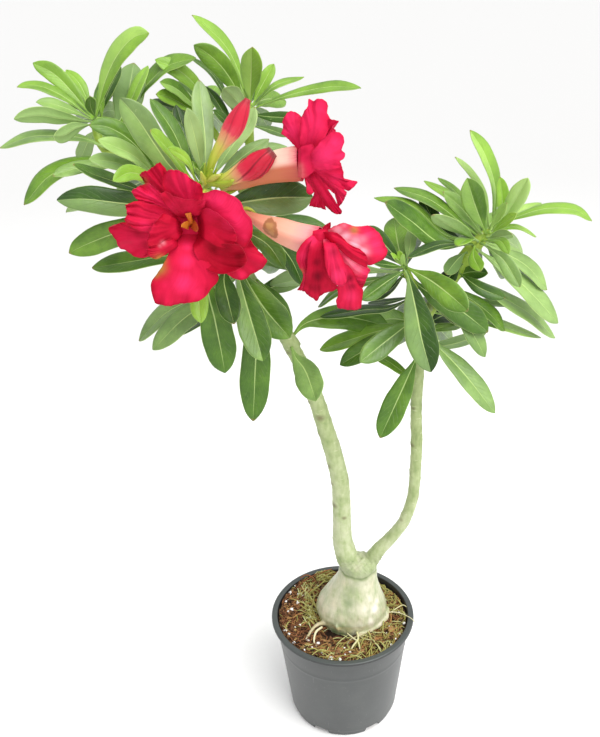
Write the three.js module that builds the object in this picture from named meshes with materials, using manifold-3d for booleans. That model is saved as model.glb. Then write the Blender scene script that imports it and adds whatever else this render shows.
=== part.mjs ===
// Potted desert rose (adenium) in a round nursery pot.
// Units are millimetres, +Z is up, the origin is the centre of the pot's underside
// and the viewer of the reference view stands on the -Y side.
import * as THREE from 'three';
import Module from 'manifold-3d';

// ---- driving dimensions ----
const GAP = 0.35;              // clearance kept between neighbouring pieces
const POT_HEIGHT = 107;
const POT_RIM_RADIUS = 65;
const POT_BODY_TOP_RADIUS = 61.0;
const POT_BASE_RADIUS = 47.6;
const POT_WALL = 1.5;
const POT_FLOOR = 2.2;
const POT_LIP_DROP = 3;
const POT_SIDES = 48;
const DRAIN_SLOTS = 6;
const SOIL_TOP = 100;
const LEAF_THICKNESS = 1.5;
const LEAF_FOLD = 0.2;         // how far the leaf margins rise, as a share of the half width
const PETAL_THICKNESS = 1.3;

// Sections of the swollen base: z, centre x, centre y, half width x, half width y
const CAUDEX = [
  [80, 9, 2, 21, 18], [90, 9, 2, 28, 23], [99, 9.3, 2, 31, 25.5], [107, 8.6, 1.5, 32, 27],
  [114, 8, 1, 32, 27.5], [122, 8.4, 0.5, 29.6, 26], [130, 9.6, 0, 26, 23.4], [138, 11, -0.5, 22.4, 20.6],
  [146, 12.6, -1, 19, 18], [154, 14, -1, 16.7, 16.2], [161, 14.4, -1, 16.8, 15.4], [167, 14.3, -1, 17.2, 13.6],
  [172, 14.6, -1, 16, 11.2], [176, 15.2, -1, 11.5, 7.2],
];
// Stems and shoots: centre line points and radii
const STEMS = [
  ["LS","left_stem",[[8.0,-1.5,164.0],[3.8,-2.0,176.7],[1.0,-2.0,191.2],[0.6,-3.0,213.6],[0.4,-3.0,234.7],[-0.7,-4.0,256.0],[-4.3,-4.0,276.2],[-7.7,-5.0,291.6],[-13.8,-6.0,316.3],[-18.6,-6.0,335.1],[-27.8,-7.0,363.0],[-35.4,-7.0,380.8],[-43.1,-8.0,398.6]],[9.8,9.6,8.6,7.9,7.7,7.5,7.3,7.2,6.8,6.5,6.2,5.9,5.8]],
  ["RS","right_stem",[[16.0,-1.0,158.0],[24.2,-1.0,164.8],[32.4,-1.0,177.9],[41.1,-1.0,188.5],[48.7,-2.0,199.9],[54.7,-2.0,210.4],[60.5,-3.0,232.0],[62.2,-4.0,253.2],[62.5,-5.0,273.9],[62.5,-6.0,294.1],[61.4,-7.0,313.8],[60.9,-8.0,332.9],[61.2,-9.0,347.1]],[7.2,7.0,6.2,5.6,5.2,5.0,4.9,4.8,4.8,4.8,4.7,4.6,4.6]],
  ["LT","left_crown_stem",[[-43.1,-8.0,398.6],[-51.9,-9.0,414.4],[-57.4,-10.0,424.9],[-67.3,-11.0,445.6],[-72.9,-13.0,459.9],[-73.8,-15.0,466.8]],[5.8,5.6,5.5,5.4,5.0,4.0]],
  ["RT","right_crown_stem",[[61.2,-9.0,347.1],[61.7,-10.0,365.3],[62.6,-11.0,383.1],[64.2,-12.0,400.4],[65.3,-13.0,409.9],[66.6,-13.0,414.8]],[4.6,4.6,4.6,4.8,4.8,4.0]],
  ["BA","left_outer_shoot",[[-71.7,-12.0,456.4],[-88.8,-9.0,474.3],[-121.4,-10.0,507.7],[-144.4,-6.0,526.7],[-161.9,0.0,539.8],[-166.6,4.0,551.6],[-167.1,6.0,560.7]],[4.6,4.3,4.0,3.8,3.4,3.0,1.6]],
  ["BB","flower_shoot",[[-72.7,-15.0,462.1],[-76.7,-26.0,479.8],[-85.0,-40.0,506.3],[-88.9,-44.0,521.4],[-89.6,-45.0,527.1]],[4.4,4.2,4.0,3.6,2.0]],
  ["BC","left_top_shoot",[[-71.6,-11.0,459.1],[-66.8,4.0,475.1],[-62.3,25.0,513.9],[-61.3,33.0,548.4],[-60.7,36.0,559.9]],[4.4,4.2,3.8,3.2,1.6]],
  ["BD","left_back_shoot",[[-64.8,14.0,490.9],[-81.1,45.0,524.4],[-93.3,56.0,541.7],[-96.1,60.0,548.3]],[3.2,3.2,2.8,1.5]],
  ["R1","right_inner_shoot",[[63.9,-13.0,405.0],[56.1,-22.0,429.5],[48.9,-29.0,448.3],[45.6,-31.0,456.0]],[3.4,3.2,3.0,1.8]],
  ["R2","right_outer_shoot",[[66.0,-13.0,409.9],[74.3,-10.0,422.1],[84.8,-6.0,436.2],[95.9,-2.0,450.8],[106.9,1.0,463.4],[112.6,2.0,469.0]],[4.6,5.4,5.9,6.0,4.6,2.0]],
];
// Leaves: node, stem, half width data and centre line
// [node or '', stem, width, upper face normal, attachment, centre line points]
const LEAVES = [
  ["leaf_left_01","BA",18.1,[-0.604,-0.736,0.307],[-167.1,6.0,560.6],[[-165.1,3.0,561.3],[-155.3,-0.1,584.2],[-144.6,-3.2,601.0],[-132.2,-6.0,612.3],[-121.2,-8.0,615.2]],0],
  ["leaf_left_02","BA",12.3,[0.067,-0.941,0.332],[-167.1,6.0,560.7],[[-169.5,5.0,562.4],[-180.8,9.8,576.7],[-192.1,13.1,588.5],[-205.7,14.9,595.9]],0],
  ["","BA",9.0,[0.296,-0.67,0.681],[-167.1,6.0,560.7],[[-169.0,10.0,562.7],[-176.9,19.8,579.5],[-187.0,28.0,588.5]],1],
  ["","BA",12.8,[0.468,-0.284,0.837],[-167.1,5.9,560.2],[[-168.7,0.0,561.4],[-184.1,1.0,574.5],[-196.3,0.0,581.7],[-205.7,-1.3,584.2],[-214.1,-3.0,583.5]],0],
  ["","BA",9.2,[0.57,-0.467,0.676],[-167.0,5.6,558.8],[[-168.2,-3.0,560.7],[-179.7,-8.3,568.2],[-189.8,-13.3,573.5],[-199.1,-17.4,575.9]],1],
  ["leaf_left_03","BA",12.6,[-0.357,0.848,0.392],[-166.9,5.1,556.8],[[-166.5,-6.0,559.2],[-184.7,-18.3,565.2],[-197.1,-25.0,569.0],[-211.7,-30.2,568.0]],0],
  ["leaf_left_04","BA",16.9,[0.115,-0.317,0.942],[-158.0,-1.3,536.9],[[-157.1,-4.0,539.3],[-172.7,-6.7,548.1],[-188.7,-9.7,551.4],[-208.1,-13.6,552.3],[-228.3,-18.0,546.7]],0],
  ["","BA",10.7,[-0.94,0.34,-0.028],[-166.9,4.8,555.4],[[-165.8,-10.0,558.7],[-173.6,-24.3,559.5],[-178.6,-38.8,558.4],[-182.3,-50.0,560.5]],0],
  ["","BA",7.3,[0.198,-0.667,-0.718],[-167.1,5.6,559.1],[[-163.4,-6.0,561.8],[-164.2,-13.8,570.1],[-161.5,-24.0,579.7]],1],
  ["","BA",5.6,[0.2,-0.924,0.326],[-167.1,5.6,559.0],[[-162.2,8.0,558.8],[-162.1,10.2,567.9],[-162.2,14.3,577.9]],1],
  ["","BA",9.3,[-0.381,-0.747,0.545],[-167.1,5.7,559.2],[[-164.4,12.0,558.0],[-158.6,17.5,572.5],[-147.9,25.4,589.6]],1],
  ["","BA",22.9,[-0.254,0.855,-0.451],[-164.8,2.4,546.9],[[-158.2,15.0,545.3],[-148.7,20.2,559.9],[-145.4,25.7,570.4],[-141.0,40.2,589.8]],0],
  ["","BA",12.4,[-0.538,-0.642,0.547],[-165.4,3.0,548.5],[[-154.1,18.0,547.9],[-141.5,17.9,569.7],[-135.5,24.0,580.7],[-130.1,32.3,588.6]],0],
  ["","BA",11.5,[0.178,0.902,0.393],[-166.7,4.3,552.8],[[-166.8,12.0,551.2],[-176.5,18.1,540.2],[-187.5,28.0,522.9]],1],
  ["","BA",18.7,[-0.494,-0.501,0.711],[-165.9,3.4,549.7],[[-152.4,25.0,547.7],[-139.9,33.4,566.7],[-130.5,36.4,577.0],[-116.8,38.1,587.2],[-96.4,37.0,592.1]],0],
  ["","BD",14.1,[0.611,-0.728,0.311],[-95.1,58.6,546.0],[[-93.5,50.0,551.8],[-98.8,44.2,571.0],[-110.2,40.0,583.9],[-125.4,36.8,591.8]],0],
  ["","BD",11.2,[0.84,-0.479,0.256],[-95.1,58.6,545.9],[[-96.6,50.0,550.4],[-110.7,32.8,571.4],[-121.6,23.4,578.9]],0],
  ["","BD",11.2,[0.758,-0.538,0.368],[-94.3,57.4,544.0],[[-96.6,48.0,548.7],[-113.8,35.3,564.0],[-125.2,22.9,570.9]],0],
  ["","BD",11.6,[0.631,-0.224,0.743],[-93.5,56.3,542.2],[[-98.0,45.0,547.2],[-108.4,44.5,553.4],[-130.1,23.5,565.5]],0],
  ["","BC",9.8,[0.707,-0.37,0.603],[-61.3,32.7,547.3],[[-68.6,45.0,544.7],[-75.3,47.6,556.7],[-87.3,53.9,578.0],[-102.9,59.7,589.6]],0],
  ["","BC",11.8,[0.637,-0.432,0.638],[-61.7,29.8,534.7],[[-65.9,35.0,533.7],[-75.8,40.6,543.7],[-84.1,48.2,557.6],[-93.3,55.2,569.5]],0],
  ["","BC",8.1,[0.736,-0.539,0.41],[-61.7,29.5,533.4],[[-65.7,30.0,533.4],[-78.8,25.0,550.8],[-85.9,22.0,558.7]],1],
  ["leaf_left_05","BC",14.8,[0.784,-0.413,0.463],[-60.7,36.0,559.9],[[-61.5,38.0,559.5],[-67.3,37.2,582.9],[-77.2,36.3,602.3],[-96.5,35.0,620.8]],0],
  ["leaf_left_06","BC",15.3,[0.279,-0.952,-0.125],[-60.8,35.4,557.5],[[-62.7,30.0,559.0],[-73.8,24.2,581.8],[-83.6,19.5,594.9],[-94.9,15.0,603.8]],0],
  ["","BC",13.8,[-0.554,0.597,0.58],[-61.3,33.2,549.3],[[-61.5,24.0,551.8],[-68.1,4.0,568.5],[-74.4,-15.0,580.1]],0],
  ["","BC",15.3,[-0.02,-0.889,-0.457],[-60.8,35.7,558.9],[[-59.8,30.0,560.3],[-57.5,20.3,581.9],[-55.3,9.0,601.9]],0],
  ["","BC",9.4,[0.102,-0.953,0.285],[-60.8,35.8,559.3],[[-57.9,36.0,559.1],[-54.7,37.6,565.0],[-48.5,40.9,574.7],[-41.6,45.0,584.9]],1],
  ["","BC",9.8,[-0.16,-0.341,0.927],[-60.8,35.6,558.3],[[-57.5,42.0,556.4],[-41.6,49.9,568.6],[-20.1,60.0,572.5]],0],
  ["leaf_left_07","BC",13.5,[-0.234,-0.354,0.906],[-60.9,35.1,556.5],[[-57.2,34.0,556.6],[-30.9,29.8,565.6],[-2.5,24.4,571.1],[19.1,20.0,570.5]],0],
  ["","BC",9.5,[-0.277,-0.738,0.616],[-61.1,34.0,552.2],[[-59.4,28.0,553.7],[-45.8,23.8,552.0],[-23.0,15.0,552.3]],1],
  ["","BC",8.8,[-0.1,-0.317,0.943],[-61.4,32.2,544.9],[[-60.3,22.0,547.2],[-45.9,12.2,545.4],[-32.0,0.0,542.8]],1],
  ["leaf_left_08","BB",18.7,[0.265,-0.964,0.017],[-89.2,-44.4,523.8],[[-95.4,-44.0,523.0],[-109.8,-45.7,536.0],[-119.0,-47.6,551.9],[-128.2,-50.0,569.9],[-137.0,-52.0,582.9]],0],
  ["","BB",15.0,[0.703,-0.531,0.474],[-89.2,-44.4,523.6],[[-94.5,-38.0,524.0],[-100.3,-35.9,535.1],[-109.4,-30.7,557.3],[-122.5,-25.0,576.6]],0],
  ["","BB",11.7,[0.352,-0.721,0.596],[-89.0,-44.2,522.3],[[-93.5,-34.0,523.5],[-98.4,-29.4,533.3],[-104.6,-20.8,548.2],[-112.4,-12.0,561.2]],0],
  ["","BB",12.1,[0.644,-0.763,-0.055],[-89.6,-44.9,526.8],[[-90.4,-44.0,526.9],[-91.9,-46.7,546.1],[-93.6,-49.2,560.9],[-95.9,-52.0,575.3]],0],
  ["leaf_left_09","BB",16.0,[0.541,-0.741,0.397],[-88.7,-43.9,520.9],[[-89.7,-30.0,524.3],[-89.2,-20.6,547.6],[-90.4,-11.6,565.7],[-91.8,-2.0,583.6]],0],
  ["","BB",13.7,[0.581,-0.559,0.592],[-87.8,-42.9,517.1],[[-94.7,-22.0,520.8],[-100.9,-11.5,539.1],[-110.0,8.0,565.8]],0],
  ["","BB",13.6,[0.932,-0.26,0.252],[-89.6,-45.0,527.1],[[-93.9,-50.0,526.0],[-100.5,-55.1,535.0],[-108.4,-66.3,552.9],[-116.5,-78.0,568.2]],0],
  ["leaf_left_10","BB",13.9,[-0.424,-0.675,0.604],[-89.0,-44.2,522.3],[[-86.6,-35.0,524.2],[-70.8,-28.9,544.3],[-59.5,-23.8,557.3],[-54.4,-20.0,568.1]],0],
  ["","BB",12.2,[-0.152,-0.59,0.793],[-87.8,-43.0,517.4],[[-85.9,-30.0,521.4],[-78.9,-27.2,525.9],[-63.0,-19.0,536.1],[-46.4,-10.0,544.3]],0],
  ["","BB",14.8,[-0.23,-0.435,0.871],[-86.1,-41.2,510.8],[[-83.9,-25.0,515.7],[-70.7,-19.4,522.7],[-51.7,-8.5,535.2],[-34.3,0.0,535.9]],0],
  ["","BB",8.4,[0.965,-0.166,0.202],[-89.6,-45.0,527.1],[[-91.8,-52.0,525.8],[-94.2,-56.2,531.7],[-96.9,-68.3,546.7],[-105.9,-84.0,558.4]],0],
  ["","BA",11.2,[0.727,-0.444,0.524],[-122.1,-9.9,508.2],[[-114.3,-40.0,523.9],[-124.5,-48.2,530.7],[-135.2,-59.2,537.4],[-144.5,-70.0,535.5]],0],
  ["leaf_left_11","BA",15.0,[0.604,-0.704,0.374],[-128.0,-8.9,513.1],[[-121.9,-22.0,523.2],[-135.5,-26.7,547.4],[-149.8,-30.9,560.1],[-162.6,-34.0,563.2]],0],
  ["","BA",13.1,[0.757,-0.451,0.473],[-125.6,-9.3,511.1],[[-119.6,-30.0,522.6],[-133.7,-42.2,543.3],[-144.7,-48.5,551.8],[-154.1,-52.9,557.6]],0],
  ["","BA",14.4,[0.492,-0.308,0.814],[-124.3,-9.5,510.0],[[-123.1,-30.0,515.8],[-134.6,-32.7,518.4],[-151.8,-37.3,526.6],[-164.9,-40.7,533.4],[-174.6,-43.1,540.4]],0],
  ["","BA",12.2,[0.574,-0.536,0.619],[-126.9,-9.1,512.2],[[-121.4,-36.0,524.4],[-143.9,-43.3,539.3],[-161.3,-53.8,545.9]],0],
  ["leaf_left_12","BA",19.6,[-0.183,-0.371,0.911],[-145.7,-5.6,527.6],[[-145.2,-8.0,529.4],[-151.4,-9.4,533.5],[-173.2,-15.0,533.6],[-196.6,-22.0,527.4],[-215.3,-30.0,510.2]],0],
  ["","BA",12.9,[0.184,-0.433,0.882],[-143.3,-6.2,525.7],[[-141.9,-20.0,530.4],[-154.6,-23.2,533.7],[-173.3,-30.8,534.4],[-189.7,-40.0,532.1]],0],
  ["leaf_left_13","BB",18.5,[0.094,-0.949,0.3],[-87.0,-42.1,514.1],[[-93.3,-50.0,510.4],[-119.6,-50.9,511.7],[-145.4,-52.0,515.7],[-167.7,-53.1,519.6],[-185.9,-54.0,519.9]],0],
  ["","BA",13.7,[0.018,0.695,0.719],[-128.7,-8.7,513.7],[[-131.0,-5.0,510.2],[-155.3,1.3,504.8],[-179.0,8.5,499.1],[-199.2,15.0,490.2]],0],
  ["leaf_left_14","BA",19.3,[0.056,-0.959,0.279],[-113.4,-9.8,499.4],[[-110.8,-30.0,501.3],[-134.0,-32.5,494.4],[-158.3,-35.7,488.5],[-175.9,-38.3,482.8],[-187.3,-40.0,478.1]],0],
  ["","LT",21.9,[-0.115,-0.331,0.937],[-73.8,-15.0,466.8],[[-88.3,-22.0,469.9],[-122.1,-22.0,466.7],[-149.6,-22.0,463.2],[-177.3,-22.0,459.7]],0],
  ["leaf_left_15","LT",21.5,[-0.442,-0.456,0.772],[-69.0,-11.6,449.9],[[-78.1,-16.0,445.7],[-106.3,-16.6,431.2],[-129.6,-17.3,419.5],[-151.2,-18.0,398.5]],0],
  ["leaf_left_16","LT",19.2,[-0.255,-0.746,0.615],[-70.3,-12.1,453.3],[[-75.8,-28.0,448.9],[-93.9,-31.4,435.5],[-116.3,-36.3,421.2],[-137.2,-42.0,402.3]],0],
  ["","LT",15.8,[-0.576,-0.251,0.778],[-64.0,-10.7,438.7],[[-74.7,-10.0,433.6],[-101.3,-7.6,410.8],[-128.1,-5.0,394.7]],0],
  ["","BB",12.9,[0.121,-0.872,0.475],[-79.0,-29.9,487.2],[[-89.5,-52.0,472.2],[-95.4,-57.3,461.4],[-98.0,-64.5,448.4],[-97.0,-72.0,436.0]],0],
  ["leaf_left_17","LT",23.3,[0.127,-0.97,0.208],[-73.8,-15.0,466.8],[[-82.5,-42.0,463.7],[-92.9,-45.7,452.9],[-89.5,-51.2,428.5],[-86.6,-55.0,406.7],[-84.8,-57.3,389.3]],0],
  ["","LT",16.8,[-0.026,-0.585,0.811],[-73.8,-15.0,466.8],[[-79.0,-30.0,463.5],[-81.8,-41.3,454.5],[-79.0,-54.8,444.9],[-74.8,-70.3,433.6]],0],
  ["","LT",13.4,[0.097,-0.913,0.395],[-61.6,-10.4,433.6],[[-67.5,-8.0,430.9],[-54.9,-5.4,431.7],[-39.8,-2.3,434.7],[-23.8,0.5,438.6]],0],
  ["leaf_left_18","LT",21.8,[0.063,-0.927,0.371],[-73.8,-15.0,466.8],[[-72.9,-40.0,464.1],[-66.0,-47.5,433.6],[-60.5,-56.0,414.0],[-56.8,-63.2,400.8]],0],
  ["leaf_left_19","LT",23.1,[0.03,-0.984,0.175],[-66.0,-10.9,442.9],[[-66.4,-22.0,442.2],[-62.3,-27.1,408.3],[-64.8,-33.2,374.0],[-68.1,-40.0,338.1]],0],
  ["leaf_left_20","LT",24.5,[0.066,-0.93,0.362],[-72.4,-12.8,458.5],[[-71.1,-26.0,457.1],[-56.6,-33.2,430.9],[-37.3,-42.0,407.9]],0],
  ["","LT",13.4,[0.177,-0.984,0.026],[-64.7,-10.7,440.2],[[-59.3,-14.0,442.6],[-46.8,-14.3,426.3],[-38.9,-12.8,399.0]],0],
  ["leaf_left_21","LS",20.2,[-0.285,-0.332,0.899],[-38.0,-7.3,386.6],[[-37.1,-12.0,386.7],[-33.6,-21.1,381.0],[-26.5,-36.1,376.5],[-20.2,-66.0,368.4]],0],
  ["leaf_left_22","BB",24.3,[0.265,-0.919,0.293],[-85.7,-40.8,509.2],[[-84.4,-46.0,508.2],[-68.4,-42.4,509.9],[-43.6,-35.6,510.4],[-17.7,-28.0,507.8]],0],
  ["","LT",13.8,[0.083,-0.953,0.291],[-73.8,-15.0,466.8],[[-73.9,-38.0,491.1],[-64.5,-39.0,488.2],[-49.8,-41.3,479.1],[-39.4,-44.0,462.8]],0],
  ["","LT",15.1,[0.601,-0.715,0.358],[-73.8,-15.0,466.8],[[-65.5,-26.0,479.4],[-47.3,-25.5,477.0],[-35.1,-24.4,462.7],[-26.5,-22.5,440.9]],0],
  ["","LT",9.4,[-0.259,0.965,0.03],[-69.5,-11.8,451.1],[[-64.8,-6.0,453.8],[-46.5,-1.0,451.2],[-28.1,4.1,443.8]],1],
  ["","LT",15.4,[0.079,-0.265,0.961],[-73.8,-15.0,466.8],[[-66.2,-15.0,474.1],[-41.3,-12.3,485.6],[-7.0,-8.0,478.4]],0],
  ["","R1",23.5,[0.009,0.82,0.573],[48.7,-29.1,448.8],[[42.5,-22.0,448.1],[8.0,-18.9,449.8],[-12.2,-16.5,449.6],[-31.4,-13.8,442.2],[-50.8,-10.9,437.1]],0],
  ["","R1",16.9,[-0.456,-0.151,0.877],[50.4,-27.6,444.4],[[44.3,-20.0,444.9],[4.7,-11.2,432.6],[-15.5,-5.0,415.3]],0],
  ["leaf_right_01","R1",17.6,[-0.19,-0.337,0.922],[46.8,-30.3,453.2],[[46.3,-26.0,454.1],[44.3,-4.2,462.2],[44.4,25.7,473.0]],0],
  ["","R1",8.7,[0.029,0.631,-0.775],[47.1,-30.1,452.5],[[48.6,-24.0,454.8],[51.6,-15.5,465.9],[54.5,-2.5,474.2]],1],
  ["","R2",12.6,[0.461,-0.362,0.81],[105.0,0.5,461.2],[[103.8,0.0,462.3],[80.1,4.8,465.4],[56.1,12.5,486.0],[28.7,20.0,490.9]],0],
  ["leaf_right_02","R2",19.9,[0.623,-0.566,0.54],[101.5,-0.5,457.2],[[97.5,-10.0,463.0],[73.6,-12.9,465.7],[52.2,-18.3,484.1],[32.1,-25.5,501.6]],0],
  ["","R2",16.9,[0.38,-0.351,0.856],[106.4,0.9,462.8],[[106.3,5.0,462.0],[95.2,7.8,470.7],[69.8,16.3,488.9],[43.9,24.7,496.5]],0],
  ["","R2",14.2,[0.438,-0.382,0.814],[107.8,1.2,464.2],[[108.3,8.0,462.4],[89.0,19.8,487.1],[67.5,34.1,498.3]],0],
  ["","R2",11.5,[0.484,-0.382,0.788],[108.9,1.4,465.4],[[109.8,12.0,462.5],[93.7,33.8,486.6],[80.1,46.8,496.6]],0],
  ["","R2",12.9,[0.657,-0.654,0.376],[107.9,1.2,464.4],[[108.1,0.0,464.4],[90.4,-5.8,487.5],[74.4,-11.7,503.1]],0],
  ["leaf_right_03","R2",17.1,[0.041,-0.946,-0.321],[110.0,1.5,466.4],[[108.5,-4.0,468.9],[97.6,-11.8,492.8],[89.2,-20.2,514.9]],0],
  ["","R2",8.5,[0.65,-0.539,0.536],[112.3,1.9,468.6],[[115.5,14.0,463.2],[110.7,21.0,489.8],[100.5,27.0,505.9],[89.7,32.0,516.2]],0],
  ["leaf_right_04","R2",16.6,[0.725,-0.628,0.283],[112.6,2.0,469.0],[[115.5,8.0,466.0],[116.2,10.3,496.5],[107.8,12.8,521.8],[96.4,15.0,539.6]],0],
  ["","R2",10.2,[0.429,-0.901,-0.066],[112.6,2.0,469.0],[[116.0,4.0,468.2],[120.4,3.2,487.3],[116.9,0.8,508.8]],1],
  ["leaf_right_05","R2",13.6,[-0.464,-0.862,-0.204],[112.6,2.0,469.0],[[117.0,2.0,469.6],[123.5,-3.7,484.1],[127.8,-8.9,496.6],[132.7,-15.6,512.0]],0],
  ["","R2",11.8,[-0.003,-0.178,0.984],[112.6,2.0,469.0],[[119.8,8.0,468.2],[131.7,16.8,474.9],[157.8,35.0,477.6]],0],
  ["leaf_right_06","R2",16.5,[-0.157,-0.213,0.964],[112.6,2.0,469.0],[[118.4,2.0,470.3],[127.9,0.5,477.3],[150.2,-3.5,485.3],[170.8,-7.3,484.9],[183.1,-10.0,477.2]],0],
  ["","R2",7.8,[-0.869,-0.49,0.06],[111.7,1.8,468.1],[[111.4,-4.0,469.5],[114.1,-2.7,476.6],[120.3,-11.8,493.4]],1],
  ["","R2",8.1,[-0.94,-0.232,0.25],[111.3,1.8,467.7],[[111.3,-8.0,469.4],[116.2,-13.2,477.0],[123.6,-29.1,490.8]],1],
  ["","R2",7.2,[0.507,-0.219,0.834],[112.5,2.0,468.8],[[115.6,8.0,464.5],[135.3,19.0,464.7],[155.6,32.0,451.5]],0],
  ["","R2",9.8,[0.608,0.464,0.644],[108.9,1.4,465.3],[[110.2,-4.0,465.0],[115.4,-18.7,471.4],[119.8,-34.7,478.3]],1],
  ["","R2",8.3,[-0.405,0.044,0.913],[106.1,0.8,462.5],[[106.5,-8.0,464.2],[112.2,-32.9,472.8],[115.1,-49.7,469.3]],0],
  ["","R2",10.9,[0.588,-0.292,0.754],[107.3,1.1,463.8],[[112.5,5.0,457.8],[129.9,13.4,449.4],[144.0,25.8,441.9]],1],
  ["leaf_right_07","R2",11.5,[-0.261,-0.879,0.399],[104.5,0.4,460.7],[[105.4,-14.0,463.4],[113.0,-17.5,458.2],[119.7,-21.8,452.7],[129.4,-32.0,437.1]],1],
  ["","R2",15.9,[0.497,-0.66,0.563],[105.9,0.7,462.2],[[109.5,-2.0,459.7],[140.2,-0.1,441.3],[158.9,0.7,420.0]],0],
  ["leaf_right_08","R2",21.8,[0.564,-0.6,0.568],[101.2,-0.6,456.9],[[102.5,-8.0,457.5],[123.6,-7.7,440.9],[143.8,-7.5,422.4],[167.6,-7.2,395.7]],0],
  ["leaf_right_09","R2",20.4,[0.584,-0.338,0.738],[89.3,-4.4,442.0],[[90.9,-4.0,440.7],[123.1,-0.8,417.1],[148.0,2.0,399.9],[170.4,5.0,377.0]],0],
  ["","R2",10.3,[-0.204,-0.901,0.383],[88.0,-4.8,440.4],[[87.9,-12.0,442.4],[102.0,-25.5,434.7],[120.2,-28.0,427.2]],1],
  ["","R2",11.7,[-0.019,0.793,0.609],[78.2,-8.5,427.4],[[80.3,0.0,423.4],[93.4,2.5,413.6],[137.7,12.0,402.7]],0],
  ["leaf_right_10","R1",18.8,[-0.423,-0.721,0.549],[45.9,-30.9,455.5],[[46.9,-32.0,455.6],[62.6,-43.0,449.5],[74.9,-55.3,442.8],[85.4,-68.0,435.9]],0],
  ["leaf_right_11","R1",20.5,[0.037,-0.961,0.275],[51.7,-26.3,441.0],[[52.8,-22.0,443.0],[62.3,-23.3,433.8],[88.0,-26.9,418.4],[109.0,-30.3,401.4]],0],
  ["","R2",15.3,[0.567,-0.549,0.614],[81.4,-7.3,431.5],[[81.7,-8.0,431.5],[110.9,-7.1,408.8],[127.6,-6.4,390.2]],0],
  ["","RT",16.2,[0.375,-0.184,0.908],[65.0,-12.7,407.5],[[69.5,-5.0,407.8],[101.4,0.3,399.2],[130.3,5.5,388.8],[161.1,10.9,374.6]],0],
  ["","R2",14.2,[0.295,-0.811,0.505],[74.1,-10.1,421.9],[[73.3,-16.0,423.9],[90.5,-23.7,410.4],[100.0,-28.8,396.1],[107.6,-32.4,381.7]],0],
  ["","R1",13.9,[0.424,-0.585,0.691],[55.3,-22.8,431.6],[[55.5,-14.0,435.0],[75.1,-15.5,418.0],[94.8,-22.4,402.3]],0],
  ["","RT",11.8,[0.476,-0.255,0.841],[63.4,-11.5,391.4],[[63.8,-6.0,391.7],[78.9,2.2,390.7],[100.4,24.9,384.5]],0],
  ["leaf_right_12","RT",19.7,[0.396,-0.645,0.654],[63.8,-11.8,396.2],[[62.5,-20.0,395.9],[75.1,-24.1,385.6],[93.4,-32.5,367.1],[115.2,-45.0,340.3]],0],
  ["","RT",13.1,[-0.184,0.967,0.177],[62.6,-11.0,382.5],[[62.8,-10.0,382.6],[85.6,-7.0,381.0],[114.8,-2.0,387.8]],0],
  ["leaf_right_13","R1",22.7,[-0.117,-0.933,0.342],[45.6,-31.0,456.0],[[45.7,-36.0,454.9],[48.5,-37.5,449.4],[53.1,-44.9,427.8],[56.9,-52.8,407.7],[62.7,-62.0,386.5]],0],
  ["leaf_right_14","RT",19.2,[-0.151,-0.899,0.41],[62.5,-10.9,380.9],[[60.2,-18.0,380.7],[46.8,-26.6,352.9],[28.9,-40.0,318.7]],0],
  ["leaf_right_15","RT",17.6,[0.142,-0.8,0.583],[65.9,-13.0,412.1],[[57.4,-26.0,414.4],[49.8,-29.2,409.7],[32.0,-38.5,400.2],[12.8,-50.0,390.4]],0],
  ["","RT",16.5,[-0.344,-0.667,0.661],[64.0,-11.8,397.5],[[60.5,-18.0,397.5],[41.5,-19.0,396.2],[18.9,-19.6,384.8],[-0.2,-19.2,372.6]],0],
  ["","RT",19.5,[-0.35,-0.279,0.894],[63.8,-11.7,395.7],[[61.1,-8.0,396.1],[35.4,-5.6,394.3],[8.7,-2.0,385.2],[-14.7,1.8,375.6]],0],
  ["leaf_left_23","LS",20.8,[0.265,-0.885,0.382],[-39.4,-7.5,390.1],[[-37.7,-8.0,390.8],[-23.4,-3.5,402.5],[5.3,3.4,402.4],[39.4,10.6,390.1]],0],
  ["","R1",15.7,[-0.157,-0.125,0.98],[57.4,-20.4,425.2],[[55.4,-16.0,426.2],[38.0,-13.8,416.2],[19.5,-11.2,414.2],[-14.2,-6.2,407.5]],0],
  ["","R1",11.9,[0.378,-0.692,0.615],[46.0,-30.7,455.0],[[46.0,-34.0,454.2],[30.8,-44.5,449.1],[13.5,-60.0,443.5]],0],
  ["","R1",9.4,[0.571,-0.1,0.815],[45.6,-31.0,456.0],[[45.0,-36.0,457.2],[32.4,-47.7,463.7],[20.1,-62.0,471.1]],1],
  ["","R1",11.3,[0.024,-0.979,0.204],[45.6,-31.0,456.0],[[44.3,-30.0,457.2],[32.3,-27.7,471.1],[20.4,-25.0,484.6]],1],
  ["","R2",13.0,[0.03,-0.145,0.989],[101.4,-0.5,457.1],[[96.6,-14.0,464.5],[71.5,-25.5,468.8],[47.5,-37.2,464.3]],0],
  ["","R2",15.0,[-0.001,0.651,0.759],[104.3,0.3,460.4],[[100.5,-12.0,466.6],[80.7,-30.6,482.8],[61.9,-49.8,499.0]],0],
  ["","R2",11.0,[0.165,0.113,0.98],[104.7,0.4,460.9],[[102.1,-8.0,465.2],[90.7,-21.3,470.3],[81.3,-41.5,473.4]],1],
  ["","R2",10.0,[-0.394,-0.2,0.897],[101.3,-0.5,456.9],[[98.2,-14.0,462.9],[96.2,-25.9,458.2],[97.8,-44.0,455.3]],1],
  ["","R2",10.3,[-0.711,-0.664,0.231],[84.5,-6.1,435.7],[[85.2,-4.0,434.5],[96.9,-11.4,441.8],[107.6,-23.2,445.2]],1],
  ["","R2",14.6,[0.327,-0.733,0.596],[100.5,-0.7,456.0],[[103.8,12.0,450.1],[78.6,19.4,465.9],[64.0,28.0,489.4]],0],
  ["","R2",10.8,[-0.436,0.377,-0.817],[97.0,-1.7,452.0],[[93.8,-8.0,456.2],[85.5,-18.6,454.3],[74.5,-38.0,451.6]],1],
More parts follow.
